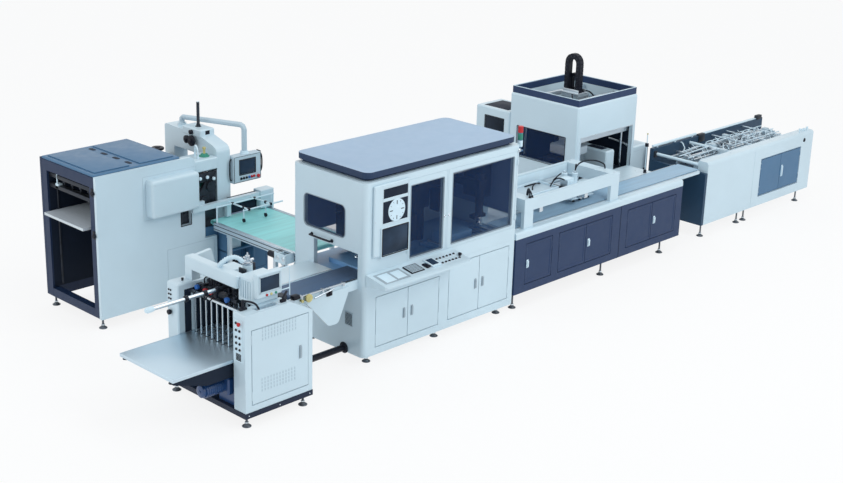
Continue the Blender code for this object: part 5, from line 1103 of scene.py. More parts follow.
def drag_chain():
    """Link plates and pins along both sides of the tall drag chain."""
    middle_y, outer, inner = 1.475, 0.125, 0.055
    centre_z = 2.42 - outer
    foot_z = 1.9
    leg = centre_z - foot_z
    radius = (outer + inner) / 2
    total = 2 * leg + math.pi * radius
    count = 22
    step = total / count
    plates = []
    pins = []
    x_left, x_right = 5.0853, 5.1553
    for index in range(count):
        place = (index + 0.5) * step
        if place < leg:
            y, z, turn = middle_y + radius, foot_z + place, 0.0
        elif place > leg + math.pi * radius:
            y, z, turn = middle_y - radius, foot_z + total - place, 0.0
        else:
            turn = (place - leg) / radius
            y, z = middle_y + radius * math.cos(turn), centre_z + radius * math.sin(turn)
        for x in ((x_left - 0.0045, x_left + 0.0005), (x_right - 0.0005, x_right + 0.0045)):
            plate = block(x, (-0.029, 0.029), (-step * 0.46, step * 0.46), 0.003, 1)
            move = (Matrix.Translation(HOME + Vector((0.0, y, z))) @ Matrix.Rotation(turn, 4, "X")
                    @ Matrix.Translation(-HOME))
            plate.data.transform(move)
            plates.append(plate)
            side = -1 if x[0] < x_left else 1
            pins.append(turned((x[0] if side < 0 else x[1], y, z), (side, 0, 0),
                               [(-0.002, 0.009), (0.003, 0.009), (0.004, 0.006)], 8))
    settle("former_chain_plates", "black_plastic", plates)
    settle("former_chain_pins", "dark_steel", pins)
    bracket = [block((5.04, 5.24), about(middle_y, 0.14), (1.9004, 1.916), 0.003)]
    bracket += [block((x, x + 0.006), about(middle_y, 0.13), (1.9, 1.955), 0.002)
                for x in (5.072, 5.215)]
    settle("former_chain_bracket", "aluminium", bracket)


def former_machinery(low, high):
    """Dark floor and back wall sheets as painted shade, guide rods, blocks, motor and cover in the former's
    opening.
    """
    wall = 0.05
    inner_x = (low[0] + wall + 0.002, high[0] - wall - 0.002)
    # Dark sheets on the opening's floor and back wall are painted shade
    settle("former_inner_shade", "dark_panel",
           [block(inner_x, (low[1] + wall + 0.002, high[1] - wall - 0.002), (0.8504, 0.855), 0.0),
            block(inner_x, (high[1] - wall - 0.006, high[1] - wall - 0.002), (0.856, 1.5), 0.0)])
    rods = [bar((x, y, 0.86), (x, y, 1.86), 0.018, 16) for x in (4.72, 5.74) for y in (1.1, 1.9)]
    rods += [bar((inner_x[0], y, z), (inner_x[1], y, z), 0.014, 14)
             for y, z in ((1.33, 1.74), (1.62, 1.74), (1.25, 1.8))]
    settle("former_guide_rods", "polished_chrome", rods)
    plates = [
        block((4.7, 5.02), (1.16, 1.78), (0.8555, 1.0), 0.006),
        block((4.74, 5.0), (1.2, 1.6), (1.005, 1.09), 0.006),
        block((4.78, 5.14), (1.22, 1.44), (1.55, 1.72), 0.006),
        block((5.3, 5.74), (1.66, 1.9), (0.8555, 1.32), 0.008),
        block((5.5, 5.72), (1.1, 1.18), (1.4, 1.8), 0.004),
    ]
    settle("former_machine_blocks", "dark_steel", plates)
    motor = [turned((5.36, 1.3, 1.62), UP, [(0, 0.045), (0.02, 0.055), (0.022, 0.05), (0.16, 0.05),
                                            (0.162, 0.055), (0.2, 0.055), (0.22, 0.04)], 28),
             block((5.28, 5.44), (1.16, 1.38), (1.4, 1.62), 0.006)]
    settle("former_servo_motor", "black_plastic", motor)
    carriages = [block((4.86, 5.02), (1.02, 1.2), (1.425, 1.47), 0.005),
                 block((5.34, 5.5), (1.02, 1.2), (1.425, 1.47), 0.005),
                 block((4.7, 5.78), (1.255, 1.285), (1.82, 1.86), 0.003),
                 block((4.7, 5.78), (1.78, 1.82), (1.8, 1.86), 0.003)]
    settle("former_carriages", "aluminium", carriages)
    cover_low, cover_high = local_box("former_press_cover")
    settle("former_cover_trim", "bright_steel",
           screws([(x, cover_low[1], z) for x in (cover_low[0] + 0.03, cover_high[0] - 0.03)
                   for z in (cover_low[2] + 0.06, cover_high[2] - 0.05)], FRONT, 0.006))
    # A dark plate on the cover's top, and dark sheets on the opening's side walls as painted shade
    settle("former_cover_plate_and_wall_shade", "dark_panel",
           [block((cover_low[0] + 0.03, cover_high[0] - 0.03), (cover_low[1] + 0.1, cover_low[1] + 0.36),
                  (cover_high[2] - 0.001, cover_high[2] + 0.002), 0.001),
            block((inner_x[1] - 0.004, inner_x[1]), (low[1] + wall + 0.002, high[1] - wall - 0.008),
                  (0.858, 1.47), 0.0),
            block((inner_x[0], inner_x[0] + 0.004), (low[1] + wall + 0.002, high[1] - wall - 0.008),
                  (0.858, 1.045), 0.0)])
    pulls = [conduit([(5.74, 1.3, 1.22), (5.77, 1.2, 1.21), (5.79, 1.06, 1.18)], 0.012),
             turned((5.79, 1.06, 1.18), (0.1, -0.9, -0.2),
                    [(0, 0.012), (0.01, 0.02), (0.03, 0.02), (0.04, 0.012)], 16)]
    settle("former_feed_lever", "bright_steel", pulls)
    wires = [conduit([(5.36, 1.3, 1.84), (5.34, 1.34, 1.9), (5.28, 1.4, 1.925), (5.22, 1.44, 1.915)], 0.01),
             conduit([(4.95, 1.3, 1.72), (4.98, 1.36, 1.84), (5.04, 1.42, 1.9)], 0.008)]
    settle("former_motor_conduit", "black_rubber", wires)


def side_cabinet_trim():
    """Windows, seal and locks of the side cabinet and the low cabinet."""
    low, high = local_box("former_side_cabinet")
    near, far = low[1], high[1]
    settle("side_cabinet_window", "dark_glass",
           [block((low[0] - 0.001, low[0] + 0.005), (near + 0.103, near + 0.417), (1.083, 1.477), 0.001)])
    settle("side_cabinet_seal", "black_rubber",
           [rim("X", low[0], (near + 0.088, near + 0.432), (1.068, 1.492), 0.012, 0.004, 0.008)])
    settle("side_cabinet_roof_glass", "dark_panel",
           [block((low[0] + 0.064, high[0] - 0.064), (near + 0.084, far - 0.084),
                  (high[2] - 0.0055, high[2] - 0.001), 0.001)])
    lock = screws([(low[0], near + 0.46, 1.28)], LEFT, 0.014)
    settle("side_cabinet_lock", "polished_chrome", lock)
    settle("low_cabinet_trim", "panel_grey",
           [rim("Y", 1.07, (5.9, 6.31), (0.2, 1.03), 0.004, 0.0015, 0.01),
            block((5.93, 6.28), (1.12, 1.44), (1.089, 1.0925), 0.001)])
    settle("low_cabinet_lock", "black_plastic", lever_handle(6.27, 1.07, 0.7, 0.09))


class LINE_OT_former(bpy.types.Operator):
    """Chain links, press parts, seals and cabinet trim of the box former"""
    bl_idname = "line.former"
    bl_label = "Box former"

    def execute(self, context):
        low, high = local_box("former_body")
        low = Vector((4.6003, 0.95, low[2]))
        high = Vector((5.8453, 2.09, high[2]))
        near, far = local_box("former_window")
        seal = context.scene.line_sizes.window_seal
        settle("former_window_seal", "black_rubber",
               [rim("X", low[0], (near[1] - seal, far[1] + seal), (near[2] - seal, far[2] + seal), seal,
                    0.004, 0.012, 3)])
        settle("former_opening_trim", "bright_steel",
               [rim("Y", low[1], (4.672, 5.773), (0.892, 1.473), 0.01, 0.003, 0.006)])
        band_low, band_high = local_box("former_band")
        edge = band_high[2]
        settle("former_band_rim", "white_plastic", [
            block((band_low[0], band_high[0]), (y, y + 0.012), (edge - 0.002, edge + 0.006), 0.002)
            for y in (band_low[1] + 0.001, band_high[1] - 0.013)] + [
            block((x, x + 0.012), (band_low[1], band_high[1]), (edge - 0.002, edge + 0.006), 0.002)
            for x in (band_low[0] + 0.001, band_high[0] - 0.013)])
        levelling_nuts("former_nuts", (low[0] + 0.12, high[0] - 0.12), (low[1] + 0.12, high[1] - 0.12), 0.1)
        drag_chain()
        former_machinery(low, high)
        side_cabinet_trim()
        return {"FINISHED"}


def end_far_rail():
    """The white tube, cover, blocks and air hose along the far rail."""
    rail_y, top = 0.93, 1.065
    tube = [bar((6.24, rail_y, top + 0.028), (7.26, rail_y, top + 0.028), 0.018, 20, 0.004)]
    tube += [block(about(x, 0.015), about(rail_y, 0.016), (top - 0.001, top + 0.02), 0.003)
             for x in (6.34, 6.75, 7.16)]
    settle("end_far_tube", "white_plastic", tube)
    covers = [block((7.46, 8.84), about(rail_y, 0.026), (top - 0.0005, top + 0.01), 0.004)]
    settle("end_far_cover", "white_plastic", covers)
    blocks = [block((8.78, 8.9), (rail_y - 0.045, rail_y + 0.012), (top - 0.01, top + 0.05), 0.006),
              block((7.29, 7.43), (rail_y - 0.045, rail_y + 0.012), (top - 0.09, top + 0.02), 0.006),
              block((6.235, 6.3), (rail_y - 0.05, rail_y - 0.02), (0.95, 1.03), 0.005)]
    settle("end_far_blocks", "dark_steel", blocks)
    settle("end_air_hose", "white_plastic",
           [conduit([(6.86, 0.898, 1.05), (6.85, 0.86, 1.05), (6.83, 0.83, 1.02), (6.85, 0.82, 0.99),
                     (6.82, 0.81, 0.965), (6.8, 0.8, 0.945)], 0.009)])


def end_bed():
    """Wheels on the cross shafts, the two cross tubes and the long guide bars."""
    wheels = []
    for x in (6.4243, 6.7785, 7.1327, 7.4868, 7.841, 8.1951, 8.5493):
        for y in (0.34, 0.49, 0.64):
            wheels.append(turned((x, y - 0.012, 0.93), BACK,
                                 [(0, 0.02), (0.002, 0.026), (0.022, 0.026), (0.024, 0.02)], 16))
    settle("end_bed_wheels", "black_rubber", wheels)
    near_y, far_y = 0.209, 0.8997
    tubes = [bar((x, near_y, z), (x, far_y, z), 0.0225, 20, 0.003)
             for x, z in ((6.2943, 0.985), (7.0843, 1.005))]
    settle("end_cross_tubes", "white_plastic", tubes)
    guides = []
    for start, end, radius in (
        ((6.353, 0.565, 1.012), (7.088, 0.557, 1.03), 0.01),
        ((6.354, 0.428, 1.012), (7.02, 0.422, 1.03), 0.01),
        ((6.45, 0.3, 1.0), (7.6, 0.3, 1.0), 0.009),
        ((6.6, 0.7, 1.0), (8.3, 0.7, 1.0), 0.009),
        ((7.9, 0.576, 1.012), (8.63, 0.539, 1.012), 0.011),
        ((7.6, 0.247, 1.01), (8.47, 0.247, 1.01), 0.011),
        ((7.2, 0.62, 1.04), (8.2, 0.62, 1.04), 0.008),
        ((7.3, 0.36, 1.035), (8.52, 0.36, 1.035), 0.008),
    ):
        guides.append(bar(start, end, radius, 14))
    for x in (7.62, 7.98, 8.4):
        guides.append(bar((x, near_y, 1.022), (x, far_y, 1.022), 0.01, 14))
    settle("end_guide_bars", "table_steel", guides)
    stands = []
    reach = 0.055
    for x, y, top in ((6.46, 0.425, 1.018), (6.98, 0.425, 1.036), (6.46, 0.56, 1.018), (7.04, 0.56, 1.036),
                      (6.6, 0.72, 1.006), (8.26, 0.72, 1.006), (6.52, 0.265, 1.006), (7.56, 0.265, 1.006),
                      (7.24, 0.56, 1.046), (8.16, 0.56, 1.046), (7.34, 0.425, 1.042), (8.48, 0.425, 1.042),
                      (7.94, 0.56, 1.018), (8.58, 0.56, 1.018)):
        span = (y - reach, y + 0.02) if y > 0.5 else (y - 0.02, y + reach)
        stands.append(block(about(x, 0.012), span, (END_RAIL_TOP, top), 0.004))
    settle("end_bar_stands", "aluminium", stands)


def end_links():
    """Swing arms, air cylinders, gear boxes and rods over the shafts, all on the rails."""
    arms = []
    for index in range(9):
        x = 7.18 + index * 0.155
        for y, lean in ((0.425, 0.05), (0.72, -0.05)):
            arms.append(conduit([(x, y, 0.972), (x + 0.02, y, 1.03), (x + 0.07, y + lean, 1.052),
                                 (x + 0.13, y + lean, 1.046)], 0.006, 2))
    settle("end_swing_arms", "white_plastic", arms)
    cylinders = []
    for x, y in ((6.66, 0.265), (6.86, 0.72), (7.36, 0.265), (7.74, 0.425), (8.04, 0.72), (8.3, 0.265)):
        cylinders.append(turned((x, y, 0.992), RIGHT,
                                [(0, 0.014), (0.004, 0.02), (0.02, 0.02), (0.022, 0.017), (0.12, 0.017),
                                 (0.122, 0.02), (0.138, 0.02), (0.142, 0.008), (0.19, 0.008)], 18))
    settle("end_air_cylinders", "polished_chrome", cylinders)
    boxes = [block((6.94, 7.02), (0.24, 0.34), (END_RAIL_TOP, 1.06), 0.006),
             block((7.1, 7.18), (0.52, 0.62), (END_RAIL_TOP, 1.05), 0.006),
             block((7.66, 7.72), (0.68, 0.76), (END_RAIL_TOP, 1.058), 0.006),
             block((8.44, 8.52), (0.52, 0.6), (END_RAIL_TOP, 1.052), 0.006),
             block((6.3, 6.36), (0.22, 0.3), (0.9, 1.0), 0.006)]
    settle("end_gear_boxes", "panel_grey", boxes)
    levers = []
    for index in range(11):
        x = 6.52 + index * 0.19
        y = 0.3 + 0.08 * (index % 3)
        levers.append(bar((x, y, 0.976), (x + 0.05, y + 0.1, 1.048), 0.005, 8))
        levers.append(bar((x + 0.06, y + 0.24, 0.976), (x + 0.02, y + 0.3, 1.044), 0.005, 8))
    settle("end_thin_levers", "white_plastic", levers)
    clips = []
    for y in ((0.262, 0.282), (0.712, 0.732)):
        clips += row(block((7.22, 7.235), y, (END_RAIL_TOP, 1.012), 0.003), (0.135, 0.0, 0.0), 10)
    settle("end_rail_clips", "white_plastic", clips)
    hoses = [conduit([(6.88, 0.8, 0.94), (6.95, 0.74, 0.98), (7.08, 0.7, 0.985), (7.2, 0.72, 0.978)],
                     0.006),
             conduit([(7.1, 0.57, 1.04), (7.2, 0.5, 1.052), (7.34, 0.44, 1.046), (7.4, 0.43, 0.975)],
                     0.005),
             conduit([(7.7, 0.72, 1.05), (7.86, 0.68, 1.056), (8.02, 0.66, 1.05), (8.06, 0.71, 1.01)],
                     0.005)]
    settle("end_conduits", "black_rubber", hoses)


class LINE_OT_end_unit(bpy.types.Operator):
    """Tubes, rods, rollers, links and knobs of the end unit"""
    bl_idname = "line.end_unit"
    bl_label = "End unit"

    def execute(self, context):
        high = local_box("end_front_panel")[1]
        front = 0.049
        near, far = local_box("end_door_2")
        settle("end_door_2_lever", "white_plastic",
               lever_handle(near[0] + 0.045, front, (near[2] + far[2]) / 2, 0.14), "end_door_2")
        settle("end_door_frame", "slate_enamel",
               [rim("Y", front, (7.5925, 8.638), (0.3145, 0.8575), 0.005, 0.002, 0.004)])
        settle("end_panel_disc", "dark_steel",
               [turned((8.71, front + 0.001, 0.936), FRONT,
                       [(0, 0.03), (0.004, 0.03), (0.007, 0.026), (0.007, 0.012), (0.014, 0.01)], 28)])
        knobs = []
        for x, height in ((8.67, 0.05), (8.74, 0.035), (8.8, 0.035), (8.87, 0.045)):
            knobs.append(turned((x, 0.115, high[2] - 0.001), UP,
                                [(0, 0.01), (height * 0.5, 0.009), (height * 0.55, 0.016), (height, 0.016),
                                 (height + 0.004, 0.011)], 16))
        settle("end_panel_knobs", "white_plastic", knobs)
        settle("end_panel_screws", "bright_steel",
               screws([(x, 0.16, high[2]) for x in (6.4, 6.95, 7.42, 7.95, 8.5)], UP, 0.007))
        levelling_nuts("end_nuts_front", (6.3443, 7.2203, 7.3903, 8.7693), (0.129,), 0.185)
        levelling_nuts("end_nuts_rear", (6.3443, 7.3203, 8.5693), (0.93,), 0.185)
        end_far_rail()
        end_bed()
        end_links()
        return {"FINISHED"}


def card_buttons():
    """The strip of buttons on the front cabinet and the few on the rear one, seen from the left."""
    left = -1.776
    settle("card_button_plate", "white_plastic",
           [block((left - 0.004, left + 0.001), (-0.235, -0.135), (0.665, 1.085), 0.002)])
    black, red, pale = [], [], []
    for index, z in enumerate((1.055, 0.985, 0.915, 0.855, 0.795)):
        for y in (-0.21, -0.16):
            ring = turned((left - 0.0035, y, z), LEFT,
                          [(0, 0.0175), (0.005, 0.0175), (0.007, 0.015), (0.006, 0.013)], 18)
            pale.append(ring)
            if index == 0 and y < -0.2:
                red.append(turned((left - 0.0035, y, z), LEFT, [(0, 0.012), (0.016, 0.012), (0.018, 0.021),
                                                                (0.026, 0.021), (0.031, 0.014)], 20))
            else:
                black.append(turned((left - 0.0035, y, z), LEFT,
                                    [(0, 0.0125), (0.012, 0.0125), (0.015, 0.0105)], 16))
    settle("card_button_rings", "bright_steel", pale)
    settle("card_button_caps", "black_plastic", black)
    settle("card_stop_button", "red_plastic", red)
    ribs = row(block((left - 0.009, left - 0.003), (-0.222, -0.148), (0.682, 0.689), 0.0015),
               (0.0, 0.0, 0.012), 6)
    settle("card_socket_ribs", "dark_steel", ribs)
    spots = [(left, y, z) for y in (0.855, 0.885) for z in (1.085, 1.04, 0.995)]
    settle("rear_cabinet_buttons", "black_plastic",
           [turned(spot, LEFT, [(-0.001, 0.01), (0.007, 0.01), (0.009, 0.007)], 14) for spot in spots]
           + [turned((left, 0.86, 0.86), LEFT,
                     [(-0.001, 0.014), (0.01, 0.014), (0.012, 0.026), (0.034, 0.026), (0.04, 0.018)], 22),
              turned((-1.66, 0.82, 1.166), UP,
                     [(-0.001, 0.012), (0.014, 0.01), (0.016, 0.015), (0.026, 0.012)], 14),
              turned((-1.56, 0.82, 1.166), UP,
                     [(-0.001, 0.012), (0.014, 0.01), (0.016, 0.015), (0.026, 0.012)], 14)])


def card_screen_and_pump():
    """Dark screen in its bezel, buttons under it, the pump's fittings and its fixed hose."""
    face = -0.165
    settle("card_screen_bezel", "panel_grey",
           [rim("Y", face, (-1.515, -1.25), (1.262, 1.44), 0.018, 0.004, 0.008)])
    settle("card_screen", "screen_glass",
           [block((-1.498, -1.267), (face - 0.0025, face + 0.001), (1.279, 1.423), 0.001)])
    for name, paint, x in (("card_screen_red", "red_plastic", -1.42),
                           ("card_screen_green", "green_plastic", -1.31),
                           ("card_screen_yellow", "yellow_plastic", -1.365)):
        settle(name, paint, [turned((x, face + 0.001, 1.238), FRONT,
                                    [(0, 0.013), (0.008, 0.013), (0.01, 0.01)], 16)])
    guard = [conduit([(-1.228, -0.12, 1.44), (-1.1, -0.12, 1.44), (-1.1, -0.12, 1.17),
                      (-1.1, -0.12, 1.147)],
                     0.006, 3, False),
             conduit([(-1.228, -0.12, 1.22), (-1.1, -0.12, 1.22)], 0.006, 3, False)]
    settle("card_screen_guard", "white_plastic", guard)
    x, y = -1.34, 0.213
    fittings = [turned((x, y, 1.425), UP,
                       [(0, 0.05), (0.004, 0.052), (0.012, 0.052), (0.016, 0.03), (0.03, 0.026),
                        (0.032, 0.032), (0.046, 0.032), (0.048, 0.021), (0.078, 0.019)],
                       24),
                turned((x, y, 1.495), UP,
                       [(0, 0.019), (0.006, 0.024), (0.016, 0.024), (0.022, 0.01), (0.045, 0.008)], 20),
                bar((x - 0.06, y, 1.46), (x + 0.07, y, 1.46), 0.014, 14),
                bar((x, y - 0.06, 1.475), (x, y + 0.06, 1.475), 0.012, 14)]
    settle("card_pump_fittings", "polished_chrome", fittings)
    feet = [block(about(x, 0.075), about(y, 0.075), (1.3045, 1.318), 0.004),
            block((x - 0.07, x - 0.05), about(y, 0.05), (1.317, 1.395), 0.004),
            block((x + 0.045, x + 0.075), about(y, 0.03), (1.317, 1.43), 0.004)]
    settle("card_pump_brackets", "dark_steel", feet)
    rings = []
    path = [(x - 0.06, y, 1.46), (x - 0.09, y + 0.015, 1.5), (x - 0.13, y + 0.05, 1.515),
            (x - 0.17, y + 0.1, 1.49), (x - 0.195, y + 0.15, 1.44), (x - 0.2, y + 0.18, 1.398)]
    rings.append(conduit(path, 0.021, 5))
    for first, second in zip(path, path[1:]):
        for part in (0.15, 0.5, 0.85):
            spot = Vector(first).lerp(Vector(second), part)
            way = (Vector(second) - Vector(first)).normalized()
            rings.append(turned(spot - way * 0.004, way,
                                [(0, 0.019), (0.003, 0.0255), (0.005, 0.0255), (0.008, 0.019)], 16))
    settle("card_pump_hose", "white_plastic", rings)


class LINE_OT_card_feeder(bpy.types.Operator):
    """Vents, levers, push buttons and screen on the card feeder's cabinets"""
    bl_idname = "line.card_feeder"
    bl_label = "Card feeder: cabinets"

    def execute(self, context):
        door_low, door_high = local_box("card_feeder_door")
        front = -0.274
        middle = (door_low[2] + door_high[2]) / 2
        settle("card_door_lever", "lever_grey", lever_handle(door_high[0] - 0.1, front, middle, 0.11),
               "card_feeder_door")
        # Louvres raised a little off the door, drawn in darker grey as painted shade of their pressings
        slots = []
        columns, rows = 12, 4
        for x, z in ((-1.565, 0.865), (-1.575, 0.345)):
            line = row(capsule("Y", (x, front - 0.0006, z), 0.009, 0.028, 0.003), (0.037, 0.0, 0.0),
                       columns)
            for item in line:
                slots += row(item, (0.0, 0.0, 0.037), rows)
        settle("card_door_shaded_louvres", "panel_grey", slots, "card_feeder_door")
        card_buttons()
        card_screen_and_pump()
        levelling_nuts("card_feeder_nuts", (-1.726, -1.023), (-0.224, 0.873), 0.1)
        settle("card_base_screws", "bright_steel",
               screws([(x, -0.278, 0.128) for x in (-1.74, -1.36, -0.98)], FRONT, 0.007))
        return {"FINISHED"}


def pile_suction():
    """Feet, tubes and small valves that hang from the head over the pile."""
    feet, cups, knobs = [], [], []
    for index, y in enumerate((0.14, 0.24, 0.4, 0.5, 0.61)):
        x = -1.546 + 0.004 * (index % 2)
        feet.append(turned((x, y, 1.112), DOWN, [(0, 0.014), (0.02, 0.014), (0.024, 0.019), (0.05, 0.019),
                                                 (0.054, 0.012), (0.075, 0.01)], 16))
        feet.append(block((x - 0.03, x + 0.05), about(y, 0.014), (1.144, 1.166), 0.004))
        cups.append(turned((x, y, 1.04), DOWN,
                           [(-0.002, 0.01), (0.008, 0.018), (0.012, 0.014), (0.018, 0.022), (0.022, 0.019)],
                           18))
    settle("suction_feet", "dark_steel", feet)
    settle("suction_cups", "black_rubber", cups)
    for x, y, z in ((-1.52, 0.46, 1.19), (-1.5, 0.56, 1.2), (-1.44, 0.18, 1.19), (-1.43, 0.52, 1.21),
                    (-1.38, 0.66, 1.2)):
        knobs.append(block(about(x, 0.018), about(y, 0.022), (1.14, z), 0.005))
        knobs.append(turned((x, y, z - 0.001), UP,
                            [(0, 0.008), (0.012, 0.008), (0.014, 0.016), (0.03, 0.015)], 14))
    settle("suction_valves", "black_plastic", knobs)
    settle("suction_blue_knobs", "blue_plastic",
           [turned((-1.576, y, 1.128), LEFT,
                   [(-0.002, 0.012), (0.016, 0.012), (0.018, 0.026), (0.044, 0.026), (0.048, 0.018)], 18)
            for y in (0.2, 0.66)])
    settle("suction_red_knobs", "red_plastic",
           [turned((-1.576, y, 1.128), LEFT,
                   [(-0.002, 0.012), (0.016, 0.012), (0.018, 0.02), (0.04, 0.02), (0.044, 0.012)], 18)
            for y in (0.45, 0.54)])
    tubes = []
    for index in range(7):
        y = 0.16 + index * 0.075
        lift = 0.05 + 0.012 * (index % 3)
        tubes.append(conduit([(-1.546, y, 1.16), (-1.56, y + 0.01, 1.16 + lift),
                              (-1.5, y + 0.02, 1.175 + lift), (-1.43, y + 0.015, 1.155 + lift * 0.5),
                              (-1.4, y, 1.142)], 0.007, 2))
    for index in range(4):
        y = 0.2 + index * 0.12
        tubes.append(conduit([(-1.39, y, 1.142),
                              (-1.33, y - 0.02, 1.21), (-1.24, y - 0.05, 1.2), (-1.16, y - 0.06, 1.142)],
                             0.008, 2))
    for y, drop in ((0.36, 1.085), (0.44, 1.065), (0.54, 1.075), (0.63, 1.06)):
        tubes.append(conduit([(-1.79, 0.31, 1.185), (-1.74, (y + 0.31) / 2, 1.13), (-1.69, y, drop),
                              (-1.63, y + 0.02, 1.105), (-1.56, y + 0.02, 1.152)], 0.006, 2))
    settle("suction_tubes", "black_rubber", tubes)


def fence_trim():
    """Bright upright strips, a cross bar and spring fingers in front of the fence's rods."""
    x = -1.162
    strips = [block((x - 0.014, x - 0.0005), about(y, 0.012), (0.36, 1.03), 0.003)
              for y in (0.0, 0.15, 0.3, 0.45, 0.6)]
    strips += [block((x - 0.02, x - 0.013), (-0.095, 0.735), (z, z + 0.02), 0.003)
               for z in (0.68, 0.83, 0.98)]
    settle("fence_strips", "bright_steel", strips)
    # A dark sheet behind the fence rods is painted shade
    settle("fence_shade_backdrop", "dark_panel",
           [block((-1.118, -1.114), (-0.098, 0.738), (0.3, 1.085), 0.001)])
    fingers = []
    for y in (0.075, 0.225, 0.375, 0.525):
        fingers.append(conduit([(x - 0.016, y, 0.99), (x - 0.05, y, 1.02), (x - 0.07, y, 0.98),
                                (x - 0.035, y, 0.86), (x - 0.03, y, 0.7)], 0.006, 2))
    settle("fence_fingers", "polished_chrome", fingers)
    plates = [block((-1.3, -1.2), about(y, 0.03), (1.108, 1.116), 0.002) for y in (0.1, 0.3, 0.52)]
    plates += [block((-1.352, -1.172), about(y, 0.008), (1.117, 1.131), 0.002) for y in (0.08, 0.32, 0.54)]
    settle("fence_top_plates", "bright_steel", plates)


def comb_table():
    """The pile table with a slot for each bright strip that hangs from the cross bar."""
    strip_y = [0.085 * index for index in range(9)]
    strip_x, width = (-1.622, -1.608), 0.014
    low, high = local_box("card_table")
    plate = block((low[0], high[0]), (-0.0965, 0.7355), (0.625, high[2]), 0.003)
    cutters = [block((strip_x[0] - 0.012, high[0] - 0.04), (y - width / 2 - 0.006, y + width / 2 + 0.006),
                     (0.6, 0.7), 0.0) for y in strip_y]
    cutter = joined(cutters)
    bpy.context.view_layer.objects.active = plate
    use_modifier(plate, "BOOLEAN", operation="DIFFERENCE", object=cutter)
    bpy.data.objects.remove(cutter)
    shoes = [block((-1.615, -1.585), y, (0.63, 0.655), 0.001)
             for y in ((-0.0997, -0.0865), (0.7255, 0.7387))]
    table = settle("card_table_plate", "table_steel", [plate] + shoes, "card_table")
    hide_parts("card_table")
    strips = [block(strip_x, (y - width / 2, y + width / 2), (0.47, 1.072), 0.002) for y in strip_y]
    strips.append(block((-1.63, -1.6), (-0.104, 0.743), (1.06, 1.085), 0.003))
    settle("pile_strips", "bright_steel", strips)
    # A dark sheet on the rear cabinet's inner face is painted shade between the cabinets
    settle("rear_cabinet_shade_sheet", "dark_panel", [block((-1.7, -0.96), (0.7418, 0.7428), (0.2, 1.1), 0.0)])


def card_clamps():
    """Black clamps on the front cabinet's top and the fittings beside the card belt."""
    top = 1.146
    blacks = [block((-1.72, -1.64), (-0.15, -0.11), (top - 0.001, top + 0.02), 0.005),
              bar((-1.68, -0.13, top + 0.018), (-1.68, -0.13, top + 0.1), 0.014, 14),
              conduit([(-1.68, -0.13, top + 0.09), (-1.62, -0.15, top + 0.075), (-1.57, -0.2, top + 0.05),
                       (-1.56, -0.22, top - 0.001)],
                      0.01),
              block((-1.3, -1.235), (-0.235, -0.205), (top - 0.001, top + 0.03), 0.006),
              conduit([(-1.27, -0.22, top + 0.028), (-1.24, -0.21, top + 0.06),
                       (-1.19, -0.18, top + 0.075)], 0.012)]
    settle("card_top_clamps", "black_plastic", blacks)
    plates = [block((-1.6, -1.34), (-0.245, -0.17), (top - 0.001, top + 0.003), 0.001)]
    settle("card_top_plate", "bright_steel", plates
           + screws([(x, y, top + 0.003) for x in (-1.585, -1.355) for y in (-0.235, -0.18)], UP, 0.005))
    wheel = [turned((-0.7, 0.07, 0.955), BACK,
                    [(-0.03, 0.03), (-0.026, 0.042), (-0.008, 0.042), (-0.004, 0.03), (0.02, 0.012)], 24),
             turned((-0.78, 0.082, 0.94), BACK,
                    [(-0.03, 0.016), (-0.012, 0.016), (-0.01, 0.01), (0.01, 0.01)], 18)]
    settle("card_belt_wheels", "yellow_plastic", wheel)
    rods = [bar((-0.8, 0.075, 0.985), (-0.2, 0.075, 0.985), 0.01, 14),
            bar((-0.62, 0.06, 0.93), (-0.36, 0.06, 0.965), 0.009, 12)]
    rods += [block(about(x, 0.012), (0.062, 0.1), (0.958, 0.998), 0.004) for x in (-0.78, -0.5, -0.22)]
    settle("card_belt_rods", "polished_chrome", rods)
    settle("card_belt_fittings", "black_plastic",
           [block((-0.88, -0.8), (0.07, 0.13), (0.9665, 1.01), 0.006),
            block((-0.45, -0.38), (0.058, 0.092), (0.9, 0.955), 0.006),
            turned((-0.415, 0.06, 0.93), FRONT, [(-0.004, 0.016), (0.016, 0.016), (0.02, 0.01)], 16)])
    settle("card_conveyor_edge", "bright_steel",
           [block((-0.9, -0.01), (0.093, 0.13), (0.9665, 0.9695), 0.001),
            block((-0.9, -0.01), (0.482, 0.5), (0.9695, 0.9735), 0.001)])
    collars = [turned((-0.86, 0.22, z), UP,
                      [(0, 0.036), (0.002, 0.041), (0.014, 0.041), (0.016, 0.036)], 24)
               for z in (0.84, 0.6, 0.4)]
    settle("card_duct_clips", "dark_steel", collars)


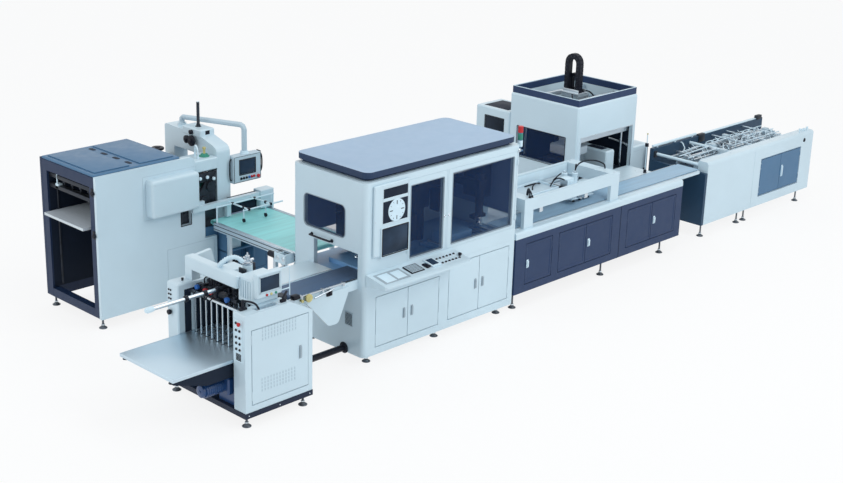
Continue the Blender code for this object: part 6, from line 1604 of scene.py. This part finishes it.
class LINE_OT_card_head(bpy.types.Operator):
    """Suction feet, air tubes, clamps, fence and fittings round the card pile"""
    bl_idname = "line.card_head"
    bl_label = "Card feeder: head and fence"

    def execute(self, context):
        bar_y, bar_z = 0.31, 1.21
        sleeve = [bar((-2.4, bar_y, bar_z), (-1.62, bar_y, bar_z), 0.0195, 20)]
        settle("card_bar_sleeve", "bright_steel", sleeve)
        settle("card_bar_grip", "white_plastic",
               [turned((-2.4, bar_y, bar_z), LEFT,
                       [(-0.03, 0.024), (0.0, 0.028), (0.04, 0.028), (0.055, 0.02), (0.058, 0.01)], 20)])
        clamps = [turned((x, bar_y, bar_z), RIGHT,
                         [(0, 0.026), (0.003, 0.03), (0.037, 0.03), (0.04, 0.026)], 18)
                  for x in (-2.02, -1.8, -1.66, -1.5)]
        clamps += [block((x - 0.004, x + 0.026), about(bar_y, 0.022), (1.13, bar_z - 0.016), 0.004)
                   for x in (-1.66, -1.5)]
        settle("card_bar_clamps", "black_plastic", clamps)
        pile_suction()
        fence_trim()
        card_clamps()
        comb_table()
        table_low, table_high = local_box("card_table")
        edge = [block((table_low[0] + 0.004, table_high[0] - 0.5), about(y, 0.002), (0.6585, 0.6606), 0.0)
                for y in (table_low[1] + 0.012, table_high[1] - 0.012)]
        settle("card_table_scribes", "panel_grey", edge, "card_table")
        settle("card_table_knob", "dark_steel",
               [turned((-2.38, 0.05, 0.595), DOWN, [(-0.005, 0.008), (0.03, 0.008), (0.032, 0.024),
                                                    (0.04, 0.028), (0.046, 0.024)], 18)], "card_table")
        motor = [turned((-2.046, 0.056, 0.36), LEFT,
                        [(-0.004, 0.06), (0.004, 0.06), (0.01, 0.05), (0.01, 0.018), (0.018, 0.014)], 28)]
        fins = [bar((-2.02 + index * 0.024, 0.056, 0.36), (-2.014 + index * 0.024, 0.056, 0.36), 0.0735, 28,
                    0) for index in range(9)]
        settle("card_motor_fins", "motor_enamel", motor + fins)
        rods = [bar((x, -0.1, z), (x, 0.739, z), 0.014, 14)
                for x, z in ((-1.7, 0.27), (-1.52, 0.33), (-1.3, 0.29))]
        settle("card_feeder_ties", "bright_steel", rods)
        return {"FINISHED"}


def paper_roof():
    """Two raised panels with a rib between them that bears four dark oval plates, painted shade where oval
    openings would be.
    """
    low, high = local_box("paper_feeder_roof")
    top = high[2]
    y = (low[1] + 0.05, high[1] - 0.05)
    panels = [block((low[0] + 0.05, -0.93), y, (top - 0.001, top + 0.012), 0.008, 3),
              block((-0.8, high[0] - 0.05), y, (top - 0.001, top + 0.012), 0.008, 3)]
    settle("paper_roof_panels", "slate_enamel", panels)
    # Dark oval plates on the rib are painted shade in place of openings
    hole_shades = [capsule("Z", (-0.865, y[0] + 0.12 + index * 0.23, top + 0.0006), 0.05, 0.11, 0.0025)
             for index in range(4)]
    settle("paper_roof_hole_shade", "dark_panel", hole_shades)
    wheel_x, wheel_y = -0.205, 3.21
    wheel = [block((high[0] - 0.001, wheel_x + 0.03), about(wheel_y, 0.03), (1.655, 1.675), 0.004),
             turned((wheel_x, wheel_y, 1.674), UP,
                    [(0, 0.016), (0.03, 0.016), (0.034, 0.06), (0.042, 0.074), (0.06, 0.074),
                     (0.066, 0.066), (0.066, 0.03), (0.076, 0.026)], 28)]
    settle("paper_hand_wheel", "black_plastic", wheel)


def paper_lift():
    """Screws and bright cross bars in the open bay, all fixed to its walls."""
    bay_x, bay_y = (-1.4, -0.352), (2.752, 3.578)
    feet_y = (2.9, 3.06, 3.22, 3.38)
    rods = [bar((x, y, 0.26), (x, y, 1.61), 0.013, 14) for x in (-1.3, -0.44) for y in (2.775, 3.5755)]
    rods += [bar((-1.3, bay_y[0], z), (-1.3, bay_y[1], z), 0.013, 14) for z in (1.44, 1.52)]
    settle("paper_lift_screws", "dark_steel", rods)
    bars = [block((-1.395, -1.345), bay_y, (z, z + 0.045), 0.006) for z in (1.545, 1.425)]
    bars += [block((x, x + 0.03), bay_y, (1.42, 1.47), 0.004) for x in (-1.16, -0.96, -0.7)]
    settle("paper_bay_bars", "dark_steel", bars)
    # Dark sheets on the bay's walls and ceiling are painted shade
    bay_shade_sheets = [block(bay_x, (2.7496, 2.7526), (0.24, 1.61), 0.0),
              block(bay_x, (3.5775, 3.5804), (0.24, 1.61), 0.0),
              block(bay_x, (2.753, 3.577), (1.6105, 1.6135), 0.0)]
    settle("paper_bay_shade_sheets", "dark_panel", bay_shade_sheets)
    fittings = []
    for y in feet_y:
        fittings.append(turned((-1.325, y, 1.57), DOWN,
                               [(-0.02, 0.016), (0.03, 0.016), (0.035, 0.022), (0.07, 0.022),
                                (0.075, 0.012), (0.14, 0.012), (0.146, 0.022), (0.155, 0.02)], 16))
        fittings.append(block((-1.36, -1.29), about(y, 0.02), (1.555, 1.611), 0.005))
    settle("paper_suction_feet", "dark_steel", fittings)
    settle("paper_bay_sensor", "white_plastic",
           [block((-1.395, -1.34), (3.4, 3.46), (1.43, 1.49), 0.004),
            bar((-1.388, 3.43, 1.485), (-1.388, 3.43, 1.611), 0.008, 12)])
    tubes = [conduit([(-1.325, y, 1.59), (-1.28, y + 0.02, 1.59), (-1.22, y + 0.05, 1.56),
                      (-1.15, y + 0.05, 1.465)], 0.009, 2) for y in feet_y]
    settle("paper_suction_tubes", "black_rubber", tubes)
    edge = [block((-1.492, -1.487), (2.8, 3.56), (1.1195, 1.1505), 0.001)]
    settle("paper_platform_edge", "bright_steel", edge, "paper_platform")


class LINE_OT_paper_feeder(bpy.types.Operator):
    """Door seam, latches, roof panels and the pile lift inside the paper feeder"""
    bl_idname = "line.paper_feeder"
    bl_label = "Paper feeder"

    def execute(self, context):
        face = 2.619
        left = -1.423
        settle("paper_door_seam", "panel_grey",
               [rim("Y", face, (-0.535, 0.12), (0.2, 0.735), 0.004, 0.0015, 0.012)])
        settle("paper_door_lever", "black_plastic", lever_handle(-0.158, face, 0.493, 0.11))
        latches = []
        for z in (1.564, 1.089):
            latches.append(turned((left - 0.004, face + 0.045, z), LEFT,
                                  [(-0.004, 0.014), (0.006, 0.014), (0.008, 0.024), (0.03, 0.024),
                                   (0.036, 0.016)], 20))
            latches.append(block((left - 0.006, left + 0.001), (face + 0.045, face + 0.1), about(z, 0.045),
                                 0.003))
        settle("paper_feeder_latches", "black_plastic", latches)
        cover_face = 2.499
        settle("paper_cover_screws", "bright_steel",
               screws([(x, cover_face, z) for x in (-0.755, -0.195) for z in (1.215, 1.555)], FRONT, 0.006))
        settle("paper_cover_seam", "panel_grey",
               [rim("Y", face, (-0.835, -0.115), (1.135, 1.635), 0.003, 0.0015, 0.012)])
        paper_roof()
        paper_lift()
        levelling_nuts("paper_feeder_nuts", (-1.363, -0.36), (2.699, 3.631), 0.129)
        settle("paper_notch_rim", "black_rubber",
               [rim("Y", face, (-0.343, -0.192), (0.962, 1.218), 0.009, 0.004, 0.004)])
        notch = [block((-0.33, -0.205), (2.6598, 2.664), (0.975, 1.205), 0.0),
                 turned((-0.27, 2.664, 1.1), FRONT,
                        [(-0.002, 0.034), (0.014, 0.034), (0.018, 0.012), (0.034, 0.012)], 20),
                 block((-0.32, -0.3), (2.635, 2.664), (0.98, 1.19), 0.003)]
        settle("paper_notch_parts", "dark_steel", notch)
        return {"FINISHED"}


def hood_sensors():
    """Sensor head and bent tube on the hood."""
    top = 1.66
    tube = [conduit([(0.02, 2.76, top - 0.001), (0.02, 2.76, top + 0.09), (0.03, 2.8, top + 0.14),
                     (0.06, 2.86, top + 0.13), (0.07, 2.88, top + 0.05), (0.07, 2.88, top - 0.001)], 0.011)]
    settle("hood_bent_tube", "white_plastic", tube)
    settle("hood_sensor", "green_plastic",
           [turned((0.14, 2.8, top - 0.001), UP,
                   [(0, 0.06), (0.008, 0.06), (0.014, 0.046), (0.03, 0.04), (0.034, 0.02)], 24)])
    settle("hood_sensor_stem", "yellow_plastic",
           [turned((0.14, 2.8, top + 0.03), UP,
                   [(0, 0.014), (0.05, 0.014), (0.054, 0.02), (0.075, 0.02), (0.08, 0.01)], 18)])
    settle("hood_trim", "black_rubber", [block((-0.106, 0.236), (2.684, 2.955), (1.5165, 1.5205), 0.001)])


def operator_panel():
    """Screen, bezel, buttons and grips of the swinging operator panel."""
    front = 2.645
    arm = "operator_panel_arm"
    settle("operator_screen", "screen_glass",
           [block((0.53, 0.75), (front + 0.0005, front + 0.0037), (1.402, 1.563), 0.001)], arm)
    settle("operator_bezel", "dark_steel",
           [rim("Y", front, (0.517, 0.763), (1.389, 1.576), 0.012, 0.004, 0.006),
            rim("Y", front, (0.445, 0.837), (1.308, 1.616), 0.004, 0.003, 0.01)], arm)
    for name, paint, xs in (("operator_black_buttons", "black_plastic", (0.545, 0.585, 0.625)),
                            ("operator_red_buttons", "red_plastic", (0.7, 0.735)),
                            ("operator_blue_buttons", "blue_plastic", (0.665,))):
        settle(name, paint, [turned((x, front + 0.001, 1.35), FRONT,
                                    [(0, 0.0155), (0.004, 0.0155), (0.006, 0.0125), (0.014, 0.0125),
                                     (0.017, 0.01)], 18) for x in xs], arm)
    settle("operator_stop_button", "red_plastic",
           [turned((0.79, front + 0.001, 1.345), FRONT,
                   [(0, 0.013), (0.014, 0.013), (0.016, 0.021), (0.024, 0.021), (0.028, 0.014)], 20)], arm)
    grips = [conduit([(0.434, front + 0.04, 1.34), (0.405, front + 0.03, 1.34), (0.4, front + 0.03, 1.46),
                      (0.405, front + 0.03, 1.59), (0.434, front + 0.04, 1.59)],
                     0.008),
             conduit([(0.846, front + 0.06, 1.36), (0.885, front + 0.05, 1.36), (0.9, front + 0.05, 1.48),
                      (0.885, front + 0.05, 1.6), (0.846, front + 0.06, 1.6)], 0.009),
             block((0.8445, 0.856), (front + 0.02, front + 0.09), (1.33, 1.63), 0.003)]
    settle("operator_grips", "dark_steel", grips, arm)
    collars = [turned((0.64, 2.7, 1.624), UP,
                      [(0, 0.052), (0.01, 0.052), (0.016, 0.046), (0.034, 0.044), (0.036, 0.034)], 26)]
    settle("operator_arm_collar", "white_plastic", collars, arm)


def gluer_inside():
    """Rollers' gears, doctor blade, pans and side frames between the bridge legs."""
    y_near, y_far = 2.72, 3.61
    gears = []
    for x, z, radius in ((-0.1, 1.03, 0.062), (0.03, 1.17, 0.074), (0.12, 1.34, 0.062)):
        for y in (2.712, 3.598):
            gears.append(turned((x, y, z), BACK,
                                [(0, radius), (0.002, radius + 0.004),
                                 (0.012, radius + 0.004), (0.014, radius), (0.016, 0.026), (0.024, 0.024)],
                                36))
    settle("gluer_gears", "bright_steel", gears)
    sleeves = [bar((x, 2.735, z), (x, 3.595, z), radius, 28, 0.002)
               for x, z, radius in ((-0.1, 1.03, 0.0565), (0.12, 1.34, 0.0565))]
    settle("gluer_roller_sleeves", "green_plastic", sleeves)
    settle("gluer_chrome_roller", "polished_chrome",
           [bar((0.03, 2.735, 1.17), (0.03, 3.595, 1.17), 0.0665, 32, 0.002)])
    frames = [block((-0.12, 0.22), (y, y + 0.012), (1.392, 1.5), 0.004) for y in (2.69, 3.62)]
    frames += [block((-0.06, 0.2), (y_near, y_far), (1.43, 1.46), 0.004),
               block((0.14, 0.18), (y_near, y_far), (1.2, 1.24), 0.004),
               block((-0.02, 0.04), (y_near, y_far), (1.27, 1.3), 0.004)]
    settle("gluer_frames", "dark_steel", frames)
    pans = [block((0.22, 0.6), (2.9, 3.48), (0.8607, 0.95), 0.006),
            block((0.24, 0.55), (2.93, 3.45), (0.95, 1.09), 0.01)]
    settle("gluer_pan", "deck_blue", pans)
    pipes = []
    for index in range(6):
        y = 2.8 + index * 0.12
        pipes.append(conduit([(0.16, y, 1.24),
                              (0.17, y + 0.02, 1.31), (0.19, y + 0.03, 1.37), (0.17, y + 0.01, 1.432)],
                             0.007, 2))
        pipes.append(conduit([(0.01, y, 1.3), (0.0, y + 0.02, 1.36), (0.02, y + 0.02, 1.4),
                              (0.03, y, 1.432)], 0.007, 2))
    settle("gluer_pipes", "black_rubber", pipes)
    knobs = [turned((-0.122, y, 1.45), LEFT,
                    [(-0.004, 0.008), (0.012, 0.008), (0.014, 0.018), (0.03, 0.018), (0.034, 0.012)], 16)
             for y in (2.695, 3.626)]
    knobs += [turned((x, 2.69, z), FRONT,
                     [(-0.002, 0.01), (0.01, 0.01), (0.012, 0.02), (0.026, 0.02), (0.03, 0.014)], 16)
              for x, z in ((-0.02, 1.45), (0.08, 1.45), (0.17, 1.42))]
    settle("gluer_knobs", "white_plastic", knobs)


class LINE_OT_gluer(bpy.types.Operator):
    """Spindle thread, hand wheel, sensors, glue pans and controls on the gluer's bridge"""
    bl_idname = "line.gluer"
    bl_label = "Gluer: bridge"

    def execute(self, context):
        sx, sy = 0.33, 3.15
        top = 1.905
        rings = []
        count = 44
        for index in range(count + 1):
            z = index * (2.196 - top - 0.014) / count
            rings.append((z, 0.0168 if index % 2 else 0.0195))
        thread = turned((sx, sy, top + 0.012), UP, rings, 16)
        settle("gluer_spindle_thread", "dark_steel",
               [thread,
                turned((sx, sy, top - 0.002), UP,
                       [(0, 0.034), (0.01, 0.034), (0.016, 0.024), (0.03, 0.024), (0.032, 0.019)], 20)])
        wheel_x, wheel_y, wheel_z = 0.228, 3.1, 1.79
        knurl = []
        for y, radius in ((wheel_y, 0.055), (wheel_y + 0.09, 0.042)):
            knurl.append(turned((wheel_x, y, wheel_z - 0.02), LEFT,
                                [(-0.002, 0.018), (0.022, 0.018), (0.024, radius), (0.028, radius + 0.004),
                                 (0.052, radius + 0.004), (0.056, radius), (0.06, 0.02), (0.072, 0.016)],
                                30))
        ridge = block((wheel_x - 0.052, wheel_x - 0.028), about(wheel_y, 0.0045),
                      (wheel_z + 0.036, wheel_z + 0.0435), 0.001, 1)
        knurl += spun(ridge, (wheel_x, wheel_y, wheel_z - 0.02), 16)
        knurl.append(turned((wheel_x, wheel_y + 0.04, wheel_z + 0.07), LEFT,
                            [(-0.002, 0.026), (0.03, 0.026), (0.035, 0.016)], 20))
        settle("gluer_hand_wheels", "black_plastic", knurl)
        settle("gluer_box_window", "black_plastic",
               [block((0.3, 0.36), (2.9765, 2.9815), (1.845, 1.89), 0.002)])
        hood_sensors()
        operator_panel()
        gluer_inside()
        return {"FINISHED"}


def exit_rods():
    """White rods over the belt at the gluer's exit, with their clamps and wheels."""
    rod_z, cross_y, wheel_y = 1.135, 2.5, 2.3
    arm_x = (0.3, 0.62)
    rods = [bar((0.06, cross_y, rod_z), (0.91, cross_y, rod_z), 0.009, 14)]
    rods += [bar((x, 2.565, rod_z), (x, 2.2, rod_z), 0.009, 14) for x in arm_x]
    rods.append(bar((0.22, 2.21, rod_z), (0.8, 2.21, rod_z), 0.009, 14))
    rods += [bar((x, wheel_y, 1.13), (x, wheel_y, 0.985), 0.007, 12) for x in arm_x]
    rods += [bar((x, cross_y, 0.95), (x, cross_y, 1.145), 0.009, 12) for x in (0.073, 0.897)]
    settle("exit_rods", "white_plastic", rods)
    wheels = [turned((x - 0.01, wheel_y, 0.982),
                     RIGHT, [(0, 0.016), (0.003, 0.024), (0.017, 0.024), (0.02, 0.016)], 20)
              for x in arm_x]
    wheels += [block(about(x, 0.014), about(y, 0.014), (1.12, 1.15), 0.004) for x in arm_x
               for y in (cross_y, 2.21, wheel_y)]
    settle("exit_wheels", "black_plastic", wheels)
    settle("exit_box_screws", "bright_steel",
           screws([(x, 2.544, z) for x in (0.77, 0.93) for z in (0.99, 1.165)], FRONT, 0.006))
    settle("exit_box_shade", "dark_panel", [block((0.34, 0.748), (2.6195, 2.659), (0.972, 1.16), 0.0)])


def gluer_front():
    """Panels, brackets and switch boxes on the gluer's blue base."""
    face = 2.6593
    upright, stand_y = (0.2, 0.8), (2.5, 2.66)
    settle("gluer_base_seams", "navy_enamel",
           [rim("Y", face, x, upright, 0.004, 0.002, 0.01) for x in ((0.2, 0.55), (0.57, 0.92))])
    shelf = [block((0.2, 0.62), stand_y, (0.555, 0.575), 0.003)]
    shelf += [block(x, stand_y, upright, 0.004) for x in ((0.2, 0.225), (0.595, 0.62))]
    settle("gluer_front_stand", "slate_enamel", shelf)
    boxes = [block((0.27, 0.44), (2.53, 2.64), (0.5752, 0.7), 0.008),
             block((0.7, 0.86), (2.6, 2.66), (0.6, 0.78), 0.006)]
    settle("gluer_front_boxes", "panel_grey", boxes)
    settle("gluer_front_motor", "black_plastic",
           [turned((0.36, 2.66, 0.4), FRONT, [(-0.002, 0.07), (0.01, 0.07), (0.012, 0.06), (0.1, 0.06),
                                              (0.108, 0.045), (0.11, 0.02), (0.125, 0.018)], 26)])
    levelling_nuts("gluer_nuts", (0.0003, 0.87), (2.74, 3.62), 0.129)


class LINE_OT_paper_conveyor(bpy.types.Operator):
    """Rail slots, cross rods, bearing plate, braces and trim of the paper conveyor and gluer base"""
    bl_idname = "line.paper_conveyor"
    bl_label = "Paper conveyor"

    def execute(self, context):
        start, end = 1.104, 2.53
        slots = []
        for x in (0.0495, 0.9205):
            for z in (0.88, 0.925):
                slots.append(block(about(x, 0.0012), (start, end), about(z, 0.004), 0.0))
        settle("paper_rail_slots", "dark_steel", slots)
        lips = [block((x, x + 0.012), (start, end), (0.9475, 0.9535), 0.002)
                for x in (0.05, 0.082, 0.876, 0.908)]
        settle("paper_rail_lips", "aluminium", lips)
        exit_rods()
        plate = [block((-0.075, 0.048), (1.135, 1.15), (0.855, 0.965), 0.004),
                 block((-0.075, -0.06), (1.135, 1.33), (0.845, 0.955), 0.006),
                 block((-0.06, 0.05), (1.3, 1.33), (0.87, 0.93), 0.004)]
        settle("paper_bearing_plate", "white_plastic", plate)
        rims = [turned((-0.0745, y, 0.905), LEFT,
                       [(-0.002, 0.026), (0.004, 0.026), (0.008, 0.02), (0.008, 0.012), (0.016, 0.01)], 24)
                for y in (1.18, 1.27)]
        settle("paper_bearings", "bright_steel", rims)
        settle("paper_bearing_motor", "black_plastic",
               [turned((-0.04, 1.334, 0.9), BACK,
                       [(-0.006, 0.04), (0.006, 0.04), (0.008, 0.034), (0.11, 0.034), (0.115, 0.026)], 22)])
        leg_y, tie_z = (1.475, 2.275), (0.27, 0.3)
        braces = [conduit([(foot_x, y, 0.3), (head_x, y, 0.83)], 0.01, 3, False)
                  for foot_x, head_x, y in ((0.1, 0.45, leg_y[0]), (0.86, 0.5, leg_y[1]))]
        braces += [block((0.06, 0.91), about(y, 0.012), tie_z, 0.004) for y in leg_y]
        braces += [block((x, x + 0.024), leg_y, tie_z, 0.004) for x in (0.06, 0.886)]
        settle("paper_leg_braces", "aluminium", braces)
        levelling_nuts("paper_leg_nuts", (0.071, 0.899), leg_y, 0.052)
        gluer_front()
        return {"FINISHED"}


def light_world(scene):
    """A soft sky that lights the line and shows as white."""
    world = bpy.data.worlds.new("studio_world")
    world.use_nodes = True
    scene.world = world
    tree = world.node_tree
    sky = tree.nodes["Background"]
    sky.inputs["Color"].default_value = (*SKY_COLOUR, 1.0)
    sky.inputs["Strength"].default_value = SKY_STRENGTH
    plain = tree.nodes.new("ShaderNodeBackground")
    plain.inputs["Color"].default_value = (1.0, 1.0, 1.0, 1.0)
    plain.inputs["Strength"].default_value = 1.0
    mix = tree.nodes.new("ShaderNodeMixShader")
    tree.links.new(seen_rays(tree, 1.0), mix.inputs["Fac"])
    tree.links.new(sky.outputs["Background"], mix.inputs[1])
    tree.links.new(plain.outputs["Background"], mix.inputs[2])
    tree.links.new(mix.outputs["Shader"], tree.nodes["World Output"].inputs["Surface"])


def add_lamp(name, place, target, size, power):
    """A square lamp at place, aimed at target."""
    bpy.ops.object.light_add(type="AREA", location=place)
    lamp = bpy.context.object
    lamp.name = name
    lamp.data.shape = "SQUARE"
    lamp.data.size = size
    lamp.data.energy = power
    lamp.data.color = LAMP_COLOUR
    aim = Vector(target) - Vector(place)
    lamp.rotation_euler = aim.to_track_quat("-Z", "Y").to_euler()


def add_camera(scene):
    """The camera solved from the photo."""
    look = Vector((math.sin(CAMERA_YAW) * math.cos(CAMERA_PITCH),
                   math.cos(CAMERA_YAW) * math.cos(CAMERA_PITCH), -math.sin(CAMERA_PITCH)))
    level = Vector((math.cos(CAMERA_YAW), -math.sin(CAMERA_YAW), 0.0))
    above = level.cross(look)
    right = level * math.cos(CAMERA_ROLL) + above * math.sin(CAMERA_ROLL)
    up = -level * math.sin(CAMERA_ROLL) + above * math.cos(CAMERA_ROLL)
    bpy.ops.object.camera_add()
    camera = bpy.context.object
    camera.name = "photo_camera"
    camera.data.sensor_width = SENSOR_WIDTH
    camera.data.lens = FOCAL_PIXELS / PHOTO_WIDTH * SENSOR_WIDTH
    camera.data.clip_end = 200.0
    turn = Matrix((right, up, -look)).transposed().to_4x4()
    camera.matrix_world = Matrix.Translation(HOME + CAMERA_PLACE) @ turn
    scene.camera = camera


class LINE_OT_studio(bpy.types.Operator):
    """Lay the pale floor, light the line and set the camera"""
    bl_idname = "line.studio"
    bl_label = "Set up the studio"

    def execute(self, context):
        scene = context.scene
        scene.view_settings.view_transform = "Standard"
        bpy.ops.object.select_all(action="DESELECT")
        bpy.ops.mesh.primitive_plane_add(size=160.0, location=(0.0, 0.0, -0.001))
        floor = context.object
        floor.name = "studio_floor"
        floor.data.materials.append(floor_paint())
        light_world(scene)
        add_lamp("key_lamp", (0.5, -13.0, 11.0), (1.5, 0.0, 0.8), 7.0, 620.0)
        add_lamp("rear_lamp", (-0.6, -3.0, 8.0), (-0.3, 3.2, 0.8), 3.0, 95.0)
        add_lamp("fill_lamp", (-14.0, 3.0, 6.0), (-2.0, 0.5, 0.8), 6.0, 240.0)
        add_camera(scene)
        return {"FINISHED"}


def seen_rays(tree, level):
    """The level for rays that see the surface, straight or in gloss or glass, and 0 for the rest."""
    path = tree.nodes.new("ShaderNodeLightPath")
    total = path.outputs["Is Camera Ray"]
    for kind in ("Is Glossy Ray", "Is Transmission Ray"):
        either = tree.nodes.new("ShaderNodeMath")
        either.operation = "MAXIMUM"
        tree.links.new(total, either.inputs[0])
        tree.links.new(path.outputs[kind], either.inputs[1])
        total = either.outputs["Value"]
    scaled = tree.nodes.new("ShaderNodeMath")
    scaled.operation = "MULTIPLY"
    scaled.inputs[1].default_value = level
    tree.links.new(total, scaled.inputs[0])
    return scaled.outputs["Value"]


def floor_paint():
    """Pale floor: near white where it is seen, and it keeps the machine's shadow."""
    made, tree, shader = start_material("studio_floor", (0.9, 0.93, 0.95), 0.6, 0.0)
    shader.inputs["Specular IOR Level"].default_value = 0.2
    glow = tree.nodes.new("ShaderNodeEmission")
    glow.inputs["Color"].default_value = (1.0, 1.0, 1.0, 1.0)
    mix = tree.nodes.new("ShaderNodeMixShader")
    tree.links.new(seen_rays(tree, FLOOR_WHITE), mix.inputs["Fac"])
    tree.links.new(shader.outputs["BSDF"], mix.inputs[1])
    tree.links.new(glow.outputs["Emission"], mix.inputs[2])
    tree.links.new(mix.outputs["Shader"], tree.nodes["Material Output"].inputs["Surface"])
    return made


class LINE_PT_sidebar(bpy.types.Panel):
    """Sidebar with the line's pieces"""
    bl_idname = "LINE_PT_sidebar"
    bl_label = "Box line"
    bl_space_type = "VIEW_3D"
    bl_region_type = "UI"
    bl_category = "Box line"

    def draw(self, context):
        layout = self.layout
        for step in STEPS:
            layout.operator(step.bl_idname)
        for group in (context.scene.line_colours, context.scene.line_sizes):
            for key in group.bl_rna.properties.keys():
                if key not in ("rna_type", "name"):
                    layout.prop(group, key)


STEPS = (
    LINE_OT_studio,
    LINE_OT_paint_frame,
    LINE_OT_main_outside,
    LINE_OT_control_panel,
    LINE_OT_main_inside,
    LINE_OT_transfer,
    LINE_OT_former,
    LINE_OT_end_unit,
    LINE_OT_card_feeder,
    LINE_OT_card_head,
    LINE_OT_paper_feeder,
    LINE_OT_gluer,
    LINE_OT_paper_conveyor,
)
CLASSES = (LineColours, LineSizes, *STEPS, LINE_PT_sidebar)


def register():
    for item in CLASSES:
        bpy.utils.register_class(item)
    bpy.types.Scene.line_colours = PointerProperty(type=LineColours)
    bpy.types.Scene.line_sizes = PointerProperty(type=LineSizes)


def unregister():
    del bpy.types.Scene.line_sizes
    del bpy.types.Scene.line_colours
    for item in reversed(CLASSES):
        bpy.utils.unregister_class(item)


def main():
    """Register the add-on and run every step."""
    register()
    for step in STEPS:
        group, call = step.bl_idname.split(".")
        getattr(getattr(bpy.ops, group), call)()


if __name__ == "__main__":
    main()
